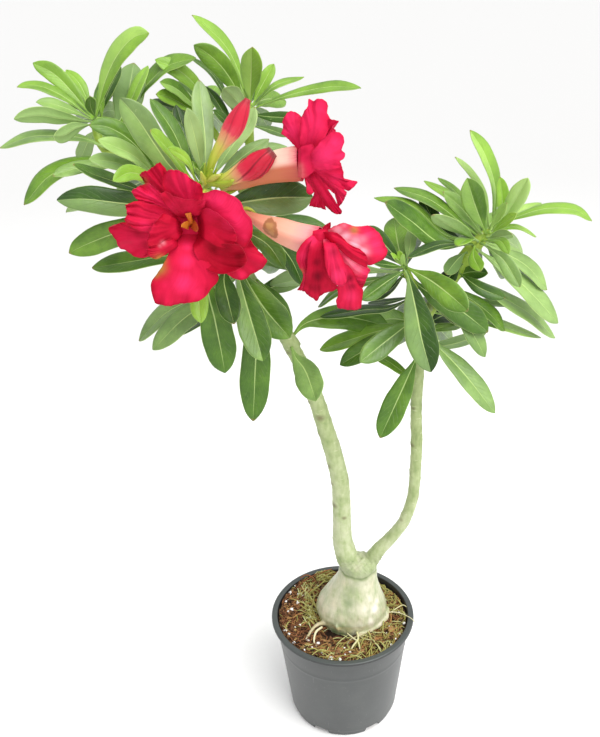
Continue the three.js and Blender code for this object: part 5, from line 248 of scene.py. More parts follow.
# CAD node, tube (centre line, radii), depth of the drawing plane, petals.
# A petal is drawn as three edges (x, z) on that plane: left, far, right, then its
# depths (mouth, layer, tip), bow, cup, ruffle, pleat, painted highlight and painted shade shares, tints.
# A tint is x, z, radius, then painted shade, painted highlight, pale and olive shares.
FLOWERS = [
    ['flower_main',[[[-87.2,-50.0,520.4],[-89.9,-62.0,516.1],[-93.4,-76.0,514.0],[-96.5,-86.0,512.1]],[2.6,4.6,7.0,8.5]],-96,[[[[-99.8,519.4],[-110.4,529.9],[-118.6,538.2],[-121.6,543.9]],[[-121.6,543.9],[-122.5,546.4],[-117.5,548.6],[-113.6,550.9],[-109.8,553.1]],[[-95.4,521.1],[-100.7,535.7],[-105.2,545.1],[-107.2,549.4],[-109.8,553.1]],[-86,-88,-94],0.0,0.0,1.0,0.0,0.25,0.05,[[-98.6,525.7,5.5,0.45,0,0,0],[-103.5,519.5,4.8,0.3,0,0,0],[-94.9,519.2,4.1,0.3,0,0,0],[-120.3,522.7,4.1,0.25,0,0,0],[-104.8,531.5,3.4,0.25,0,0,0],[-117.8,534.5,6.2,0,0.7,0,0],[-95.9,535.5,6.2,0,0.4,0,0],[-105.4,525.3,5.5,0,0.3,0,0],[-120.6,542.0,2.1,0,0,0,0.5]]],[[[-89.1,515.1],[-73.5,508.8],[-59.0,503.0]],[[-59.0,503.0],[-54.4,495.6],[-50.9,491.5],[-49.2,488.1],[-52.5,483.5],[-55.9,480.9],[-60.4,479.1],[-63.1,476.5],[-66.9,475.9],[-71.3,477.5]],[[-94.0,508.2],[-84.8,491.5],[-75.5,481.0],[-71.3,477.5]],[-86,-88,-92],0.0,0.0,0.8,0.0,0.2,0.2,[[-94.9,519.2,4.1,0.3,0,0,0],[-81.8,498.6,6.2,0.75,0,0,0],[-73.0,498.9,5.5,0.85,0,0,0],[-65.9,492.1,4.8,0.95,0,0,0],[-66.3,486.7,4.1,0.85,0,0,0],[-90.3,500.9,4.1,0.35,0,0,0],[-83.1,513.0,8.3,0.3,0,0,0],[-98.5,499.9,4.1,0,0.7,0,0],[-100.1,489.4,6.2,0,0.8,0,0],[-102.7,474.6,9.0,0,0.9,0,0],[-66.9,515.6,7.6,0,0.9,0,0],[-62.6,505.1,4.1,0,0.5,0,0],[-65.5,479.3,4.1,0,0.5,0,0],[-90.7,517.8,2.8,0,0.5,0,0]]],[[[-101.4,515.6],[-112.8,524.3],[-125.6,529.8]],[[-125.6,529.8],[-127.2,532.4],[-128.6,535.5],[-126.5,537.9],[-122.1,539.6],[-118.3,540.7]],[[-98.4,521.2],[-107.3,530.4],[-113.9,536.8],[-118.3,540.7]],[-86,-92,-99],0.0,0.0,1.0,0.0,0.55,0.0,[[-98.6,525.7,5.5,0.45,0,0,0],[-103.5,519.5,4.8,0.3,0,0,0],[-94.9,519.2,4.1,0.3,0,0,0],[-129.3,524.9,4.1,0.4,0,0,0],[-120.3,522.7,4.1,0.25,0,0,0],[-104.8,531.5,3.4,0.25,0,0,0],[-117.8,534.5,6.2,0,0.7,0,0],[-123.1,514.5,5.5,0,0.6,0,0],[-95.9,535.5,6.2,0,0.4,0,0],[-105.4,525.3,5.5,0,0.3,0,0],[-120.6,542.0,2.1,0,0,0,0.5]]],[[[-100.8,509.1],[-112.4,498.5],[-121.6,494.2],[-126.7,493.1]],[[-126.7,493.1],[-131.7,493.9],[-135.6,497.4],[-140.3,500.2],[-141.7,504.2],[-144.2,508.8],[-146.0,513.4],[-141.6,514.6]],[[-101.5,515.0],[-115.1,514.2],[-127.3,515.3],[-136.4,516.9],[-141.6,514.6]],[-86,-90,-95],-3,0.0,1.0,0.0,0.35,0.05,[[-103.5,519.5,4.8,0.3,0,0,0],[-101.9,509.8,4.1,0.25,0,0,0],[-128.0,509.5,3.4,0.6,0,0,0],[-123.9,501.6,3.1,0.6,0,0,0],[-116.7,510.4,3.4,0.2,0,0,0],[-98.5,499.9,4.1,0,0.7,0,0],[-100.1,489.4,6.2,0,0.8,0,0],[-123.1,514.5,5.5,0,0.6,0,0],[-136.5,505.3,4.8,0,0.35,0,0],[-113.2,502.5,1.7,0,0,0.35,0],[-115.3,500.6,1.4,0,0,0.2,0],[-116.3,490.7,3.8,0,0,0,1.0]]],[[[-99.1,520.6],[-105.0,529.0],[-109.2,535.4],[-109.8,541.6],[-107.5,547.0]],[[-107.5,547.0],[-104.3,548.1],[-99.6,547.9],[-95.6,545.4],[-91.7,541.6]],[[-91.1,521.0],[-86.9,527.1],[-85.7,533.9],[-87.1,538.9],[-91.7,541.6]],[-86,-94,-101],0.0,0.0,1.0,0.0,0.55,0.0,[[-98.6,525.7,5.5,0.45,0,0,0],[-103.5,519.5,4.8,0.3,0,0,0],[-94.9,519.2,4.1,0.3,0,0,0],[-86.1,522.0,3.4,0.5,0,0,0],[-104.8,531.5,3.4,0.25,0,0,0],[-83.1,513.0,8.3,0.3,0,0,0],[-95.9,535.5,6.2,0,0.4,0,0],[-105.4,525.3,5.5,0,0.3,0,0],[-90.7,517.8,2.8,0,0.5,0,0]]],[[[-101.1,511.7],[-111.2,510.2],[-120.5,509.9],[-127.8,510.8],[-132.4,514.2],[-135.6,518.2]],[[-135.6,518.2],[-133.3,521.9],[-133.5,525.1],[-133.8,527.6]],[[-100.4,519.4],[-109.7,524.8],[-118.6,527.7],[-126.2,529.8],[-133.8,527.6]],[-86,-96,-106],0.0,0.0,0.9,0.0,0.4,0.0,[[-98.6,525.7,5.5,0.45,0,0,0],[-103.5,519.5,4.8,0.3,0,0,0],[-101.9,509.8,4.1,0.25,0,0,0],[-128.0,509.5,3.4,0.6,0,0,0],[-129.3,524.9,4.1,0.4,0,0,0],[-120.3,522.7,4.1,0.25,0,0,0],[-116.7,510.4,3.4,0.2,0,0,0],[-104.8,531.5,3.4,0.25,0,0,0],[-117.8,534.5,6.2,0,0.7,0,0],[-123.1,514.5,5.5,0,0.6,0,0],[-105.4,525.3,5.5,0,0.3,0,0]]],[[[-91.1,521.0],[-88.1,527.2],[-85.8,533.3]],[[-85.8,533.3],[-82.7,533.8],[-79.6,534.9],[-74.2,534.1],[-69.5,532.1],[-64.8,528.8],[-62.1,524.3],[-61.1,520.5],[-58.2,516.5],[-56.7,511.3],[-57.7,504.3]],[[-89.4,511.3],[-79.7,509.0],[-70.2,502.8],[-63.1,497.3],[-57.7,504.3]],[-86,-95,-104],-2,0.0,0.7,0.0,0.8,0.0,[[-94.9,519.2,4.1,0.3,0,0,0],[-86.1,522.0,3.4,0.5,0,0,0],[-81.8,498.6,6.2,0.75,0,0,0],[-73.0,498.9,5.5,0.85,0,0,0],[-90.3,500.9,4.1,0.35,0,0,0],[-83.1,513.0,8.3,0.3,0,0,0],[-77.1,528.0,9.0,0,0.9,0,0],[-66.9,515.6,7.6,0,0.9,0,0],[-62.6,505.1,4.1,0,0.5,0,0],[-90.7,517.8,2.8,0,0.5,0,0]]],[[[-100.8,509.1],[-107.8,500.3],[-113.2,490.5],[-119.1,482.0],[-123.6,476.1],[-123.5,470.6],[-121.6,465.0]],[[-121.6,465.0],[-122.5,462.2],[-118.2,460.6],[-114.4,459.8],[-106.5,460.9],[-96.8,461.9],[-92.1,463.8]],[[-92.2,507.5],[-90.0,497.0],[-85.0,488.8],[-80.6,480.5],[-81.0,475.8],[-85.8,470.5],[-88.7,466.5],[-92.1,463.8]],[-92,-98,-110],-3,0.0,0.7,0.0,0.35,0.0,[[-101.9,509.8,4.1,0.25,0,0,0],[-81.8,498.6,6.2,0.75,0,0,0],[-90.3,500.9,4.1,0.35,0,0,0],[-116.7,510.4,3.4,0.2,0,0,0],[-83.1,513.0,8.3,0.3,0,0,0],[-98.5,499.9,4.1,0,0.7,0,0],[-100.1,489.4,6.2,0,0.8,0,0],[-102.7,474.6,9.0,0,0.9,0,0],[-95.6,468.8,6.2,0,0.5,0,0],[-112.9,474.3,6.2,0,0.35,0,0],[-123.1,514.5,5.5,0,0.6,0,0],[-113.2,502.5,1.7,0,0,0.35,0],[-115.3,500.6,1.4,0,0,0.2,0],[-117.4,486.0,4.5,0,0,0,1.0],[-116.3,490.7,3.8,0,0,0,1.0],[-119.8,482.1,2.8,0,0,0,0.8],[-124.2,464.4,3.4,0.6,0,0,0],[-124.6,472.7,3.4,0.9,0,0,0],[-124.6,466.5,3.4,0.9,0,0,0],[-120.6,462.1,3.4,0.45,0,0,0]]],[[[-103.7,504.1],[-105.3,513.2],[-101.8,523.9]],[[-101.8,523.9],[-94.3,526.1],[-86.6,523.3]],[[-88.9,503.5],[-85.0,512.4],[-86.6,523.3]],[-91,-92,-91],0.0,0.0,0.1,0.0,0.45,0.0,[[-98.6,525.7,5.5,0.45,0,0,0],[-103.5,519.5,4.8,0.3,0,0,0],[-101.9,509.8,4.1,0.25,0,0,0],[-94.9,519.2,4.1,0.3,0,0,0],[-86.1,522.0,3.4,0.5,0,0,0],[-81.8,498.6,6.2,0.75,0,0,0],[-90.3,500.9,4.1,0.35,0,0,0],[-83.1,513.0,8.3,0.3,0,0,0],[-98.5,499.9,4.1,0,0.7,0,0],[-77.1,528.0,9.0,0,0.9,0,0],[-105.4,525.3,5.5,0,0.3,0,0],[-90.7,517.8,2.8,0,0.5,0,0]]],[[[-100.0,517.5],[-106.2,522.8],[-110.0,528.0],[-112.4,533.7]],[[-112.4,533.7],[-108.1,534.8],[-103.0,531.5],[-96.4,530.0],[-90.4,529.1],[-84.3,528.9]],[[-90.7,518.4],[-86.7,522.7],[-84.3,528.9]],[-92,-99,-108],0.0,0.0,0.7,0.0,0.3,0.05,[[-98.6,525.7,5.5,0.45,0,0,0],[-103.5,519.5,4.8,0.3,0,0,0],[-94.9,519.2,4.1,0.3,0,0,0],[-86.1,522.0,3.4,0.5,0,0,0],[-104.8,531.5,3.4,0.25,0,0,0],[-83.1,513.0,8.3,0.3,0,0,0],[-77.1,528.0,9.0,0,0.9,0,0],[-117.8,534.5,6.2,0,0.7,0,0],[-95.9,535.5,6.2,0,0.4,0,0],[-105.4,525.3,5.5,0,0.3,0,0],[-90.7,517.8,2.8,0,0.5,0,0]]],[[[-99.5,509.7],[-107.1,501.6],[-115.1,496.6],[-121.2,498.2]],[[-121.2,498.2],[-123.2,502.2],[-121.3,508.0],[-118.9,513.7],[-114.7,518.0]],[[-100.8,515.6],[-106.6,519.6],[-110.6,521.7],[-114.7,518.0]],[-92,-101,-111],0.0,0.0,0.8,0.0,0.15,0.08,[[-98.6,525.7,5.5,0.45,0,0,0],[-103.5,519.5,4.8,0.3,0,0,0],[-101.9,509.8,4.1,0.25,0,0,0],[-94.9,519.2,4.1,0.3,0,0,0],[-123.9,501.6,3.1,0.6,0,0,0],[-120.3,522.7,4.1,0.25,0,0,0],[-116.7,510.4,3.4,0.2,0,0,0],[-98.5,499.9,4.1,0,0.7,0,0],[-123.1,514.5,5.5,0,0.6,0,0],[-105.4,525.3,5.5,0,0.3,0,0],[-113.2,502.5,1.7,0,0,0.35,0],[-115.3,500.6,1.4,0,0,0.2,0]]],[[[-101.4,502.0],[-110.8,495.8],[-118.1,492.1],[-123.5,494.3]],[[-123.5,494.3],[-123.7,498.3],[-121.5,500.8]],[[-104.2,506.0],[-110.5,504.3],[-116.4,501.9],[-121.5,500.8]],[-95,-106,-115],0.0,0.0,0.5,0.0,0.2,0.3,[[-101.9,509.8,4.1,0.25,0,0,0],[-123.9,501.6,3.1,0.6,0,0,0],[-98.5,499.9,4.1,0,0.7,0,0],[-100.1,489.4,6.2,0,0.8,0,0],[-113.2,502.5,1.7,0,0,0.35,0],[-115.3,500.6,1.4,0,0,0.2,0],[-116.3,490.7,3.8,0,0,0,1.0]]],[[[-90.5,520.3],[-85.3,523.9],[-79.4,521.1],[-71.9,514.5]],[[-71.9,514.5],[-68.6,509.2],[-67.1,503.3],[-70.5,498.9]],[[-90.9,508.1],[-84.0,501.3],[-76.8,497.8],[-70.5,498.9]],[-92,-102,-113],0.0,-3,0.7,0.0,0.0,0.28,[[-86.1,522.0,3.4,0.5,0,0,0],[-81.8,498.6,6.2,0.75,0,0,0],[-73.0,498.9,5.5,0.85,0,0,0],[-90.3,500.9,4.1,0.35,0,0,0],[-83.1,513.0,8.3,0.3,0,0,0],[-77.1,528.0,9.0,0,0.9,0,0],[-66.9,515.6,7.6,0,0.9,0,0],[-90.7,517.8,2.8,0,0.5,0,0]]],[[[-90.2,509.4],[-82.8,501.3],[-74.1,500.3],[-65.5,499.3]],[[-65.5,499.3],[-62.7,493.9],[-61.7,488.6],[-65.1,484.7],[-71.0,481.5]],[[-93.6,505.6],[-94.5,495.8],[-89.7,485.6],[-83.7,482.0],[-78.1,480.4],[-71.0,481.5]],[-92,-104,-117],4,-6,0.6,0.0,0.0,0.38,[[-81.8,498.6,6.2,0.75,0,0,0],[-73.0,498.9,5.5,0.85,0,0,0],[-65.9,492.1,4.8,0.95,0,0,0],[-66.3,486.7,4.1,0.85,0,0,0],[-90.3,500.9,4.1,0.35,0,0,0],[-83.1,513.0,8.3,0.3,0,0,0],[-100.1,489.4,6.2,0,0.8,0,0],[-102.7,474.6,9.0,0,0.9,0,0],[-66.9,515.6,7.6,0,0.9,0,0],[-62.6,505.1,4.1,0,0.5,0,0],[-65.5,479.3,4.1,0,0.5,0,0]]]]],
    ['flower_upper',[[[-77.9,-49.0,521.8],[-65.6,-52.0,527.5],[-53.4,-55.0,533.9],[-39.6,-57.0,537.8],[-25.4,-60.0,540.0]],[3.2,5.8,8.4,10.2,11.2]],-66,[[[[-25.4,544.8],[-27.7,550.5],[-31.3,555.0],[-34.3,558.3],[-37.4,560.2]],[[-37.4,560.2],[-36.0,563.9],[-35.8,568.2],[-33.8,572.3],[-30.6,574.0],[-27.0,572.7],[-24.6,570.2]],[[-22.1,548.4],[-23.8,557.3],[-24.8,564.7],[-24.6,570.2]],[-64,-63,-57],-2,0.0,0.7,0.0,0.45,0.05,[[-20.4,544.6,3.4,0.6,0,0,0],[-23.7,559.1,3.4,0.35,0,0,0],[-26.6,567.2,2.8,0.25,0,0,0],[-31.7,561.3,6.2,0,0.8,0,0]]],[[[-22.1,548.4],[-14.4,556.9],[-9.9,565.4]],[[-9.9,565.4],[-6.7,568.3],[-1.8,566.9],[-4.3,564.6],[-5.6,562.2],[-2.5,559.6],[-0.0,558.9]],[[-19.8,543.3],[-9.5,550.5],[-0.0,558.9]],[-64,-67,-75],0.0,0.0,1.0,0.0,0.2,0.2,[[-20.4,544.6,3.4,0.6,0,0,0],[-23.7,559.1,3.4,0.35,0,0,0],[-4.7,540.8,2.8,0.45,0,0,0],[-14.2,564.9,6.2,0,0.5,0,0],[-10.2,546.1,8.3,0,0.9,0,0],[-3.8,553.4,4.8,0,0.7,0,0]]],[[[-25.4,543.5],[-25.8,553.0],[-25.5,562.3],[-24.6,569.6]],[[-24.6,569.6],[-22.0,574.3],[-19.4,577.9],[-19.4,580.8],[-17.0,579.6],[-14.5,580.7],[-11.4,580.6],[-9.0,579.3],[-7.8,576.2]],[[-18.4,545.8],[-12.0,553.7],[-7.4,562.8],[-6.7,568.3],[-8.5,571.4],[-7.8,576.2]],[-66,-70,-73],-3,0.0,0.8,0.0,0.45,0.05,[[-22.8,549.1,3.4,0.6,0,0,0],[-20.4,544.6,3.4,0.6,0,0,0],[-23.7,559.1,3.4,0.35,0,0,0],[-4.7,540.8,2.8,0.45,0,0,0],[-26.6,567.2,2.8,0.25,0,0,0],[-14.2,564.9,6.2,0,0.5,0,0],[-10.2,546.1,8.3,0,0.9,0,0],[-3.8,553.4,4.8,0,0.7,0,0]]],[[[-22.3,542.1],[-12.2,541.1],[-0.2,540.7]],[[-0.2,540.7],[1.0,534.9],[2.2,529.6],[6.0,528.9],[9.9,528.1],[6.6,523.6],[4.1,522.4]],[[-23.1,538.3],[-13.7,534.1],[-4.2,526.6],[4.1,522.4]],[-70,-73,-78],0.0,0.0,0.8,0.0,0.25,0.1,[[-20.4,544.6,3.4,0.6,0,0,0],[-4.7,540.8,2.8,0.45,0,0,0],[-7.5,523.5,2.8,0.35,0,0,0],[-13.1,532.1,2.8,0.3,0,0,0],[-10.2,546.1,8.3,0,0.9,0,0],[-3.5,531.1,4.1,0,0.5,0,0],[-12.3,536.6,3.4,0,0.4,0,0]]],[[[-18.6,538.1],[-7.4,530.0],[3.4,521.8]],[[3.4,521.8],[2.1,517.9],[0.1,514.6],[-2.5,511.4]],[[-21.2,535.7],[-11.2,528.8],[-5.6,522.7],[-3.7,517.4],[-2.5,511.4]],[-69,-71,-69],0.0,0.0,0.5,0.0,0.15,0.15,[[-7.5,523.5,2.8,0.35,0,0,0],[-13.1,532.1,2.8,0.3,0,0,0],[-3.5,531.1,4.1,0,0.5,0,0],[-16.6,517.2,4.1,0,0.5,0,0],[-1.1,517.3,2.8,0,0.4,0,0],[-12.3,536.6,3.4,0,0.4,0,0]]],[[[-25.7,535.8],[-21.4,529.2],[-17.8,522.5],[-19.8,517.3],[-21.2,513.4]],[[-21.2,513.4],[-17.4,512.6],[-14.1,511.8],[-10.3,510.3]],[[-19.3,536.9],[-15.1,527.0],[-11.4,517.7],[-10.3,510.3]],[-66,-67,-60],0.0,0.0,0.6,0.0,0.35,0.05,[[-7.5,523.5,2.8,0.35,0,0,0],[-13.1,532.1,2.8,0.3,0,0,0],[-16.6,517.2,4.1,0,0.5,0,0],[-12.3,536.6,3.4,0,0.4,0,0]]],[[[-18.0,538.1],[-12.5,530.2],[-6.9,520.8],[-2.5,513.4],[0.1,509.3]],[[0.1,509.3],[-0.6,507.3],[-3.8,507.4],[-6.4,508.8]],[[-22.5,537.0],[-17.1,525.1],[-11.5,514.4],[-6.4,508.8]],[-70,-73,-73],0.0,0.0,0.3,0.0,0.0,0.4,[[-11.3,524.9,4.8,0.4,0,0,0],[-7.5,523.5,2.8,0.35,0,0,0],[-13.1,532.1,2.8,0.3,0,0,0],[-3.5,531.1,4.1,0,0.5,0,0],[-16.6,517.2,4.1,0,0.5,0,0],[-1.1,517.3,2.8,0,0.4,0,0],[-12.3,536.6,3.4,0,0.4,0,0]]],[[[-22.3,544.7],[-16.4,550.7],[-10.7,556.8],[-5.0,560.9]],[[-5.0,560.9],[-0.6,559.5],[1.8,556.3],[1.8,553.2],[0.5,549.5],[2.4,546.3],[1.1,543.2],[-0.8,542.0],[0.4,538.1]],[[-21.8,538.3],[-13.6,536.7],[-5.4,536.4],[0.4,538.1]],[-71,-77,-87],-4,0.0,0.7,0.0,0.6,0.0,[[-22.8,549.1,3.4,0.6,0,0,0],[-20.4,544.6,3.4,0.6,0,0,0],[-23.7,559.1,3.4,0.35,0,0,0],[-4.7,540.8,2.8,0.45,0,0,0],[-14.2,564.9,6.2,0,0.5,0,0],[-10.2,546.1,8.3,0,0.9,0,0],[-3.8,553.4,4.8,0,0.7,0,0],[-12.3,536.6,3.4,0,0.4,0,0]]],[[[-26.9,550.5],[-23.9,552.3],[-18.2,553.3]],[[-18.2,553.3],[-16.5,549.5],[-17.2,543.2],[-16.1,536.8]],[[-27.4,532.7],[-23.3,531.9],[-16.1,536.8]],[-73,-76,-79],0.0,0.0,0.1,0.0,0.15,0.05,[[-22.8,549.1,3.4,0.6,0,0,0],[-20.4,544.6,3.4,0.6,0,0,0],[-26.2,539.4,2.6,0.18,0,0.34,0],[-26.0,536.8,2.9,0.2,0,0.36,0],[-25.7,533.9,3.0,0.2,0,0.34,0],[-10.2,546.1,8.3,0,0.9,0,0]]],[[[-24.1,545.4],[-14.3,559.4],[-9.8,569.1]],[[-9.8,569.1],[-5.5,566.5],[-3.1,560.2]],[[-22.4,540.2],[-12.1,549.3],[-3.1,560.2]],[-58,-52,-44],0.0,0.0,1.2,0.0,0.2,0.3,[[-20.4,544.6,3.4,0.6,0,0,0],[-23.7,559.1,3.4,0.35,0,0,0],[-4.7,540.8,2.8,0.45,0,0,0],[-14.2,564.9,6.2,0,0.5,0,0],[-10.2,546.1,8.3,0,0.9,0,0],[-3.8,553.4,4.8,0,0.7,0,0],[-12.3,536.6,3.4,0,0.4,0,0]]],[[[-24.3,540.9],[-14.8,538.0],[-2.3,529.8]],[[-2.3,529.8],[0.2,524.5],[-2.4,519.3]],[[-24.4,537.1],[-15.0,529.0],[-2.4,519.3]],[-57,-52,-44],0.0,0.0,1.2,0.0,0.2,0.3,[[-4.7,540.8,2.8,0.45,0,0,0],[-7.5,523.5,2.8,0.35,0,0,0],[-13.1,532.1,2.8,0.3,0,0,0],[-10.2,546.1,8.3,0,0.9,0,0],[-3.5,531.1,4.1,0,0.5,0,0],[-16.6,517.2,4.1,0,0.5,0,0],[-1.1,517.3,2.8,0,0.4,0,0],[-12.3,536.6,3.4,0,0.4,0,0]]]]],
    ['flower_lower',[[[-66.6,-56.0,508.6],[-58.7,-61.0,505.8],[-50.9,-65.0,502.8],[-39.9,-70.0,499.3],[-27.8,-75.0,495.8],[-16.3,-79.0,494.0]],[2.6,3.3,5.4,8.2,9.3,9.6]],-86,[[[[-13.8,502.4],[-10.0,503.6],[-5.5,506.1],[-0.5,507.8],[3.9,505.0],[9.0,503.5]],[[9.0,503.5],[11.5,504.8],[15.3,505.3],[19.7,503.1],[22.9,499.7],[25.5,493.6],[27.5,488.8],[27.5,486.1],[25.6,482.8]],[[-11.4,498.3],[-2.6,491.3],[5.1,485.6],[12.8,479.9],[17.9,479.0],[21.8,480.9],[25.6,482.8]],[-86,-88,-82],-3,0.0,0.8,0.0,0.5,0.0,[[20.4,491.8,6.2,0,0.8,0,0],[15.3,500.0,4.8,0,0.7,0,0],[0.7,498.5,4.1,0,0,1.0,0],[6.4,493.7,4.8,0,0,1.0,0],[12.1,488.7,4.1,0,0,0.7,0],[-3.7,502.7,3.4,0,0,0.8,0],[0.1,505.8,2.1,0,0,0.3,0],[11.5,496.1,3.4,0,0,0.35,0],[-10.0,502.3,2.1,0,0,0.4,0],[6.4,503.0,2.8,0,0,0,0.75]]],[[[-13.9,498.4],[-3.9,488.7],[5.0,481.5],[11.5,477.8]],[[11.5,477.8],[15.4,474.2],[14.1,468.7],[12.1,463.2]],[[-14.0,494.4],[-7.8,482.0],[-0.2,470.7],[6.3,463.4],[12.1,463.2]],[-87,-91,-88],0.0,0.0,0.6,0.05,0.35,0.15,[[3.7,470.5,3.4,1.0,0,0,0],[5.0,464.9,2.8,0.8,0,0,0],[10.2,471.7,4.1,0,0.5,0,0]]],[[[-14.4,502.4],[-4.3,501.4],[3.2,493.8],[10.2,490.1]],[[10.2,490.1],[14.1,485.9],[15.3,481.1],[14.7,477.0]],[[-12.6,499.7],[-2.6,490.0],[5.1,482.9],[14.7,477.0]],[-90,-97,-99],0.0,0.0,0.4,0.0,0.05,0.1,[]],[[[-11.9,501.0],[-2.5,492.0],[5.1,484.9],[14.1,478.4]],[[14.1,478.4],[16.7,475.6],[14.7,471.5],[12.8,469.5]],[[-11.4,498.3],[-5.1,490.1],[-0.1,480.4],[5.0,473.3],[12.8,469.5]],[-89,-95,-96],0.0,0.0,0.4,0.0,0.75,0.0,[[5.0,481.5,4.8,0,0,0.35,0],[8.9,476.6,3.4,0,0,0.25,0],[-3.9,490.0,3.4,0,0,0.3,0]]],[[[-8.9,492.9],[-5.2,481.9],[-4.1,470.8],[-4.8,464.6],[-4.2,458.9],[-5.6,455.4],[-5.0,451.8]],[[-5.0,451.8],[-4.4,449.6],[-0.4,448.8],[3.5,447.9],[7.5,447.7],[10.8,449.0]],[[-2.6,490.0],[5.0,477.4],[8.9,466.1],[12.1,461.8],[11.5,454.7],[10.8,449.0]],[-86,-93,-92],-3,0.0,0.5,0.0,0.3,0.05,[[3.7,470.5,3.4,1.0,0,0,0],[5.0,464.9,2.8,0.8,0,0,0],[3.6,457.9,5.5,0,0.6,0,0]]],[[[-17.6,503.2],[-20.8,500.0],[-25.4,496.9],[-29.4,491.0],[-30.8,485.6],[-29.1,480.1],[-26.7,473.8],[-28.2,467.6],[-30.9,463.5]],[[-30.9,463.5],[-27.1,462.6],[-24.5,461.8]],[[-13.9,499.8],[-19.1,493.3],[-21.9,482.6],[-22.9,471.6],[-24.5,461.8]],[-88,-92,-88],-4,0.0,0.7,0.0,0.35,0.1,[[-25.0,466.8,2.8,0.5,0,0,0],[-22.6,482.6,2.1,0.4,0,0,0],[-26.3,486.8,4.8,0,0.5,0,0],[-19.6,497.3,4.1,0,0.7,0,0],[-27.3,476.6,1.7,0,0,0,0.4]]],[[[-18.3,501.3],[-22.3,492.1],[-23.9,481.3],[-25.5,470.3],[-27.0,463.3]],[[-27.0,463.3],[-23.2,459.0],[-20.0,456.7],[-18.1,455.2],[-16.1,458.0],[-12.7,460.7],[-7.5,461.9],[-4.2,463.9]],[[-11.4,497.0],[-10.9,486.9],[-9.8,478.0],[-6.7,469.6],[-4.2,463.9]],[-89,-97,-97],-3,0.0,0.6,0.2,0.0,0.35,[[-17.4,482.4,4.1,0.75,0,0,0],[-17.0,472.7,5.5,0.85,0,0,0],[-19.2,464.4,5.5,0.75,0,0,0],[-12.0,465.6,4.1,0.5,0,0,0],[-19.6,497.3,4.1,0,0.7,0,0],[-12.7,497.1,1.7,0,0.8,0.2,0]]],[[[-13.3,498.4],[-12.8,489.0],[-12.3,480.8],[-10.5,473.2]],[[-10.5,473.2],[-8.0,468.9],[-4.2,465.3],[-0.9,465.1],[1.7,468.5]],[[-7.6,498.2],[-3.2,490.0],[-0.1,481.7],[1.8,474.8],[1.7,468.5]],[-90,-101,-104],-3,0.0,0.5,0.05,0.55,0.0,[[-6.4,488.8,4.1,0.5,0,0,0],[-4.1,472.9,6.2,0,0.9,0,0],[-12.7,497.1,1.7,0,0.8,0.2,0]]],[[[-19.5,503.3],[-20.2,498.7],[-21.0,492.7]],[[-21.0,492.7],[-15.4,488.4],[-7.7,490.2]],[[-14.4,504.4],[-9.4,502.2],[-7.7,490.2]],[-88,-90,-90],0.0,0.0,0.1,0.0,0.3,0.1,[]]]],
]
BUDS = [
    ['bud_cluster','green',[[[[-89.2,-45.0,525.1],[-87.7,-51.0,529.4]],[4.2,3.4]],[[[-88.1,-48.0,527.2],[-85.3,-53.0,532.5],[-82.8,-56.0,537.2]],[2.6,2.4,0.8]],[[[-88.1,-48.0,527.2],[-82.0,-56.0,531.3],[-77.5,-62.0,534.7]],[2.4,2.4,0.8]],[[[-88.1,-48.0,526.6],[-89.1,-56.0,531.5],[-89.4,-62.0,537.1]],[2.2,2.0,0.7]],[[[-88.1,-48.0,526.6],[-79.5,-58.0,527.8],[-72.5,-66.0,529.8],[-68.8,-70.0,533.4]],[2.4,2.2,2.0,0.7]]]],
    ['bud_upper','red',[[[[-86.8,-50.0,529.8],[-84.8,-52.0,535.5],[-81.9,-55.0,542.7],[-78.0,-57.0,549.5],[-73.1,-59.0,556.1],[-68.2,-61.0,562.7],[-64.0,-62.0,568.9],[-60.1,-62.5,575.6],[-56.8,-62.0,581.4]],[2.6,2.6,2.9,3.5,4.7,6.5,6.4,4.6,1.5]]]],
    ['bud_lower','red',[[[[-81.1,-54.0,527.4],[-70.0,-60.0,532.6],[-59.9,-65.0,538.1],[-52.9,-67.0,542.2],[-47.4,-68.0,546.1],[-42.8,-68.0,549.7]],[3.0,4.8,7.1,7.7,6.1,3.3]]]],
]
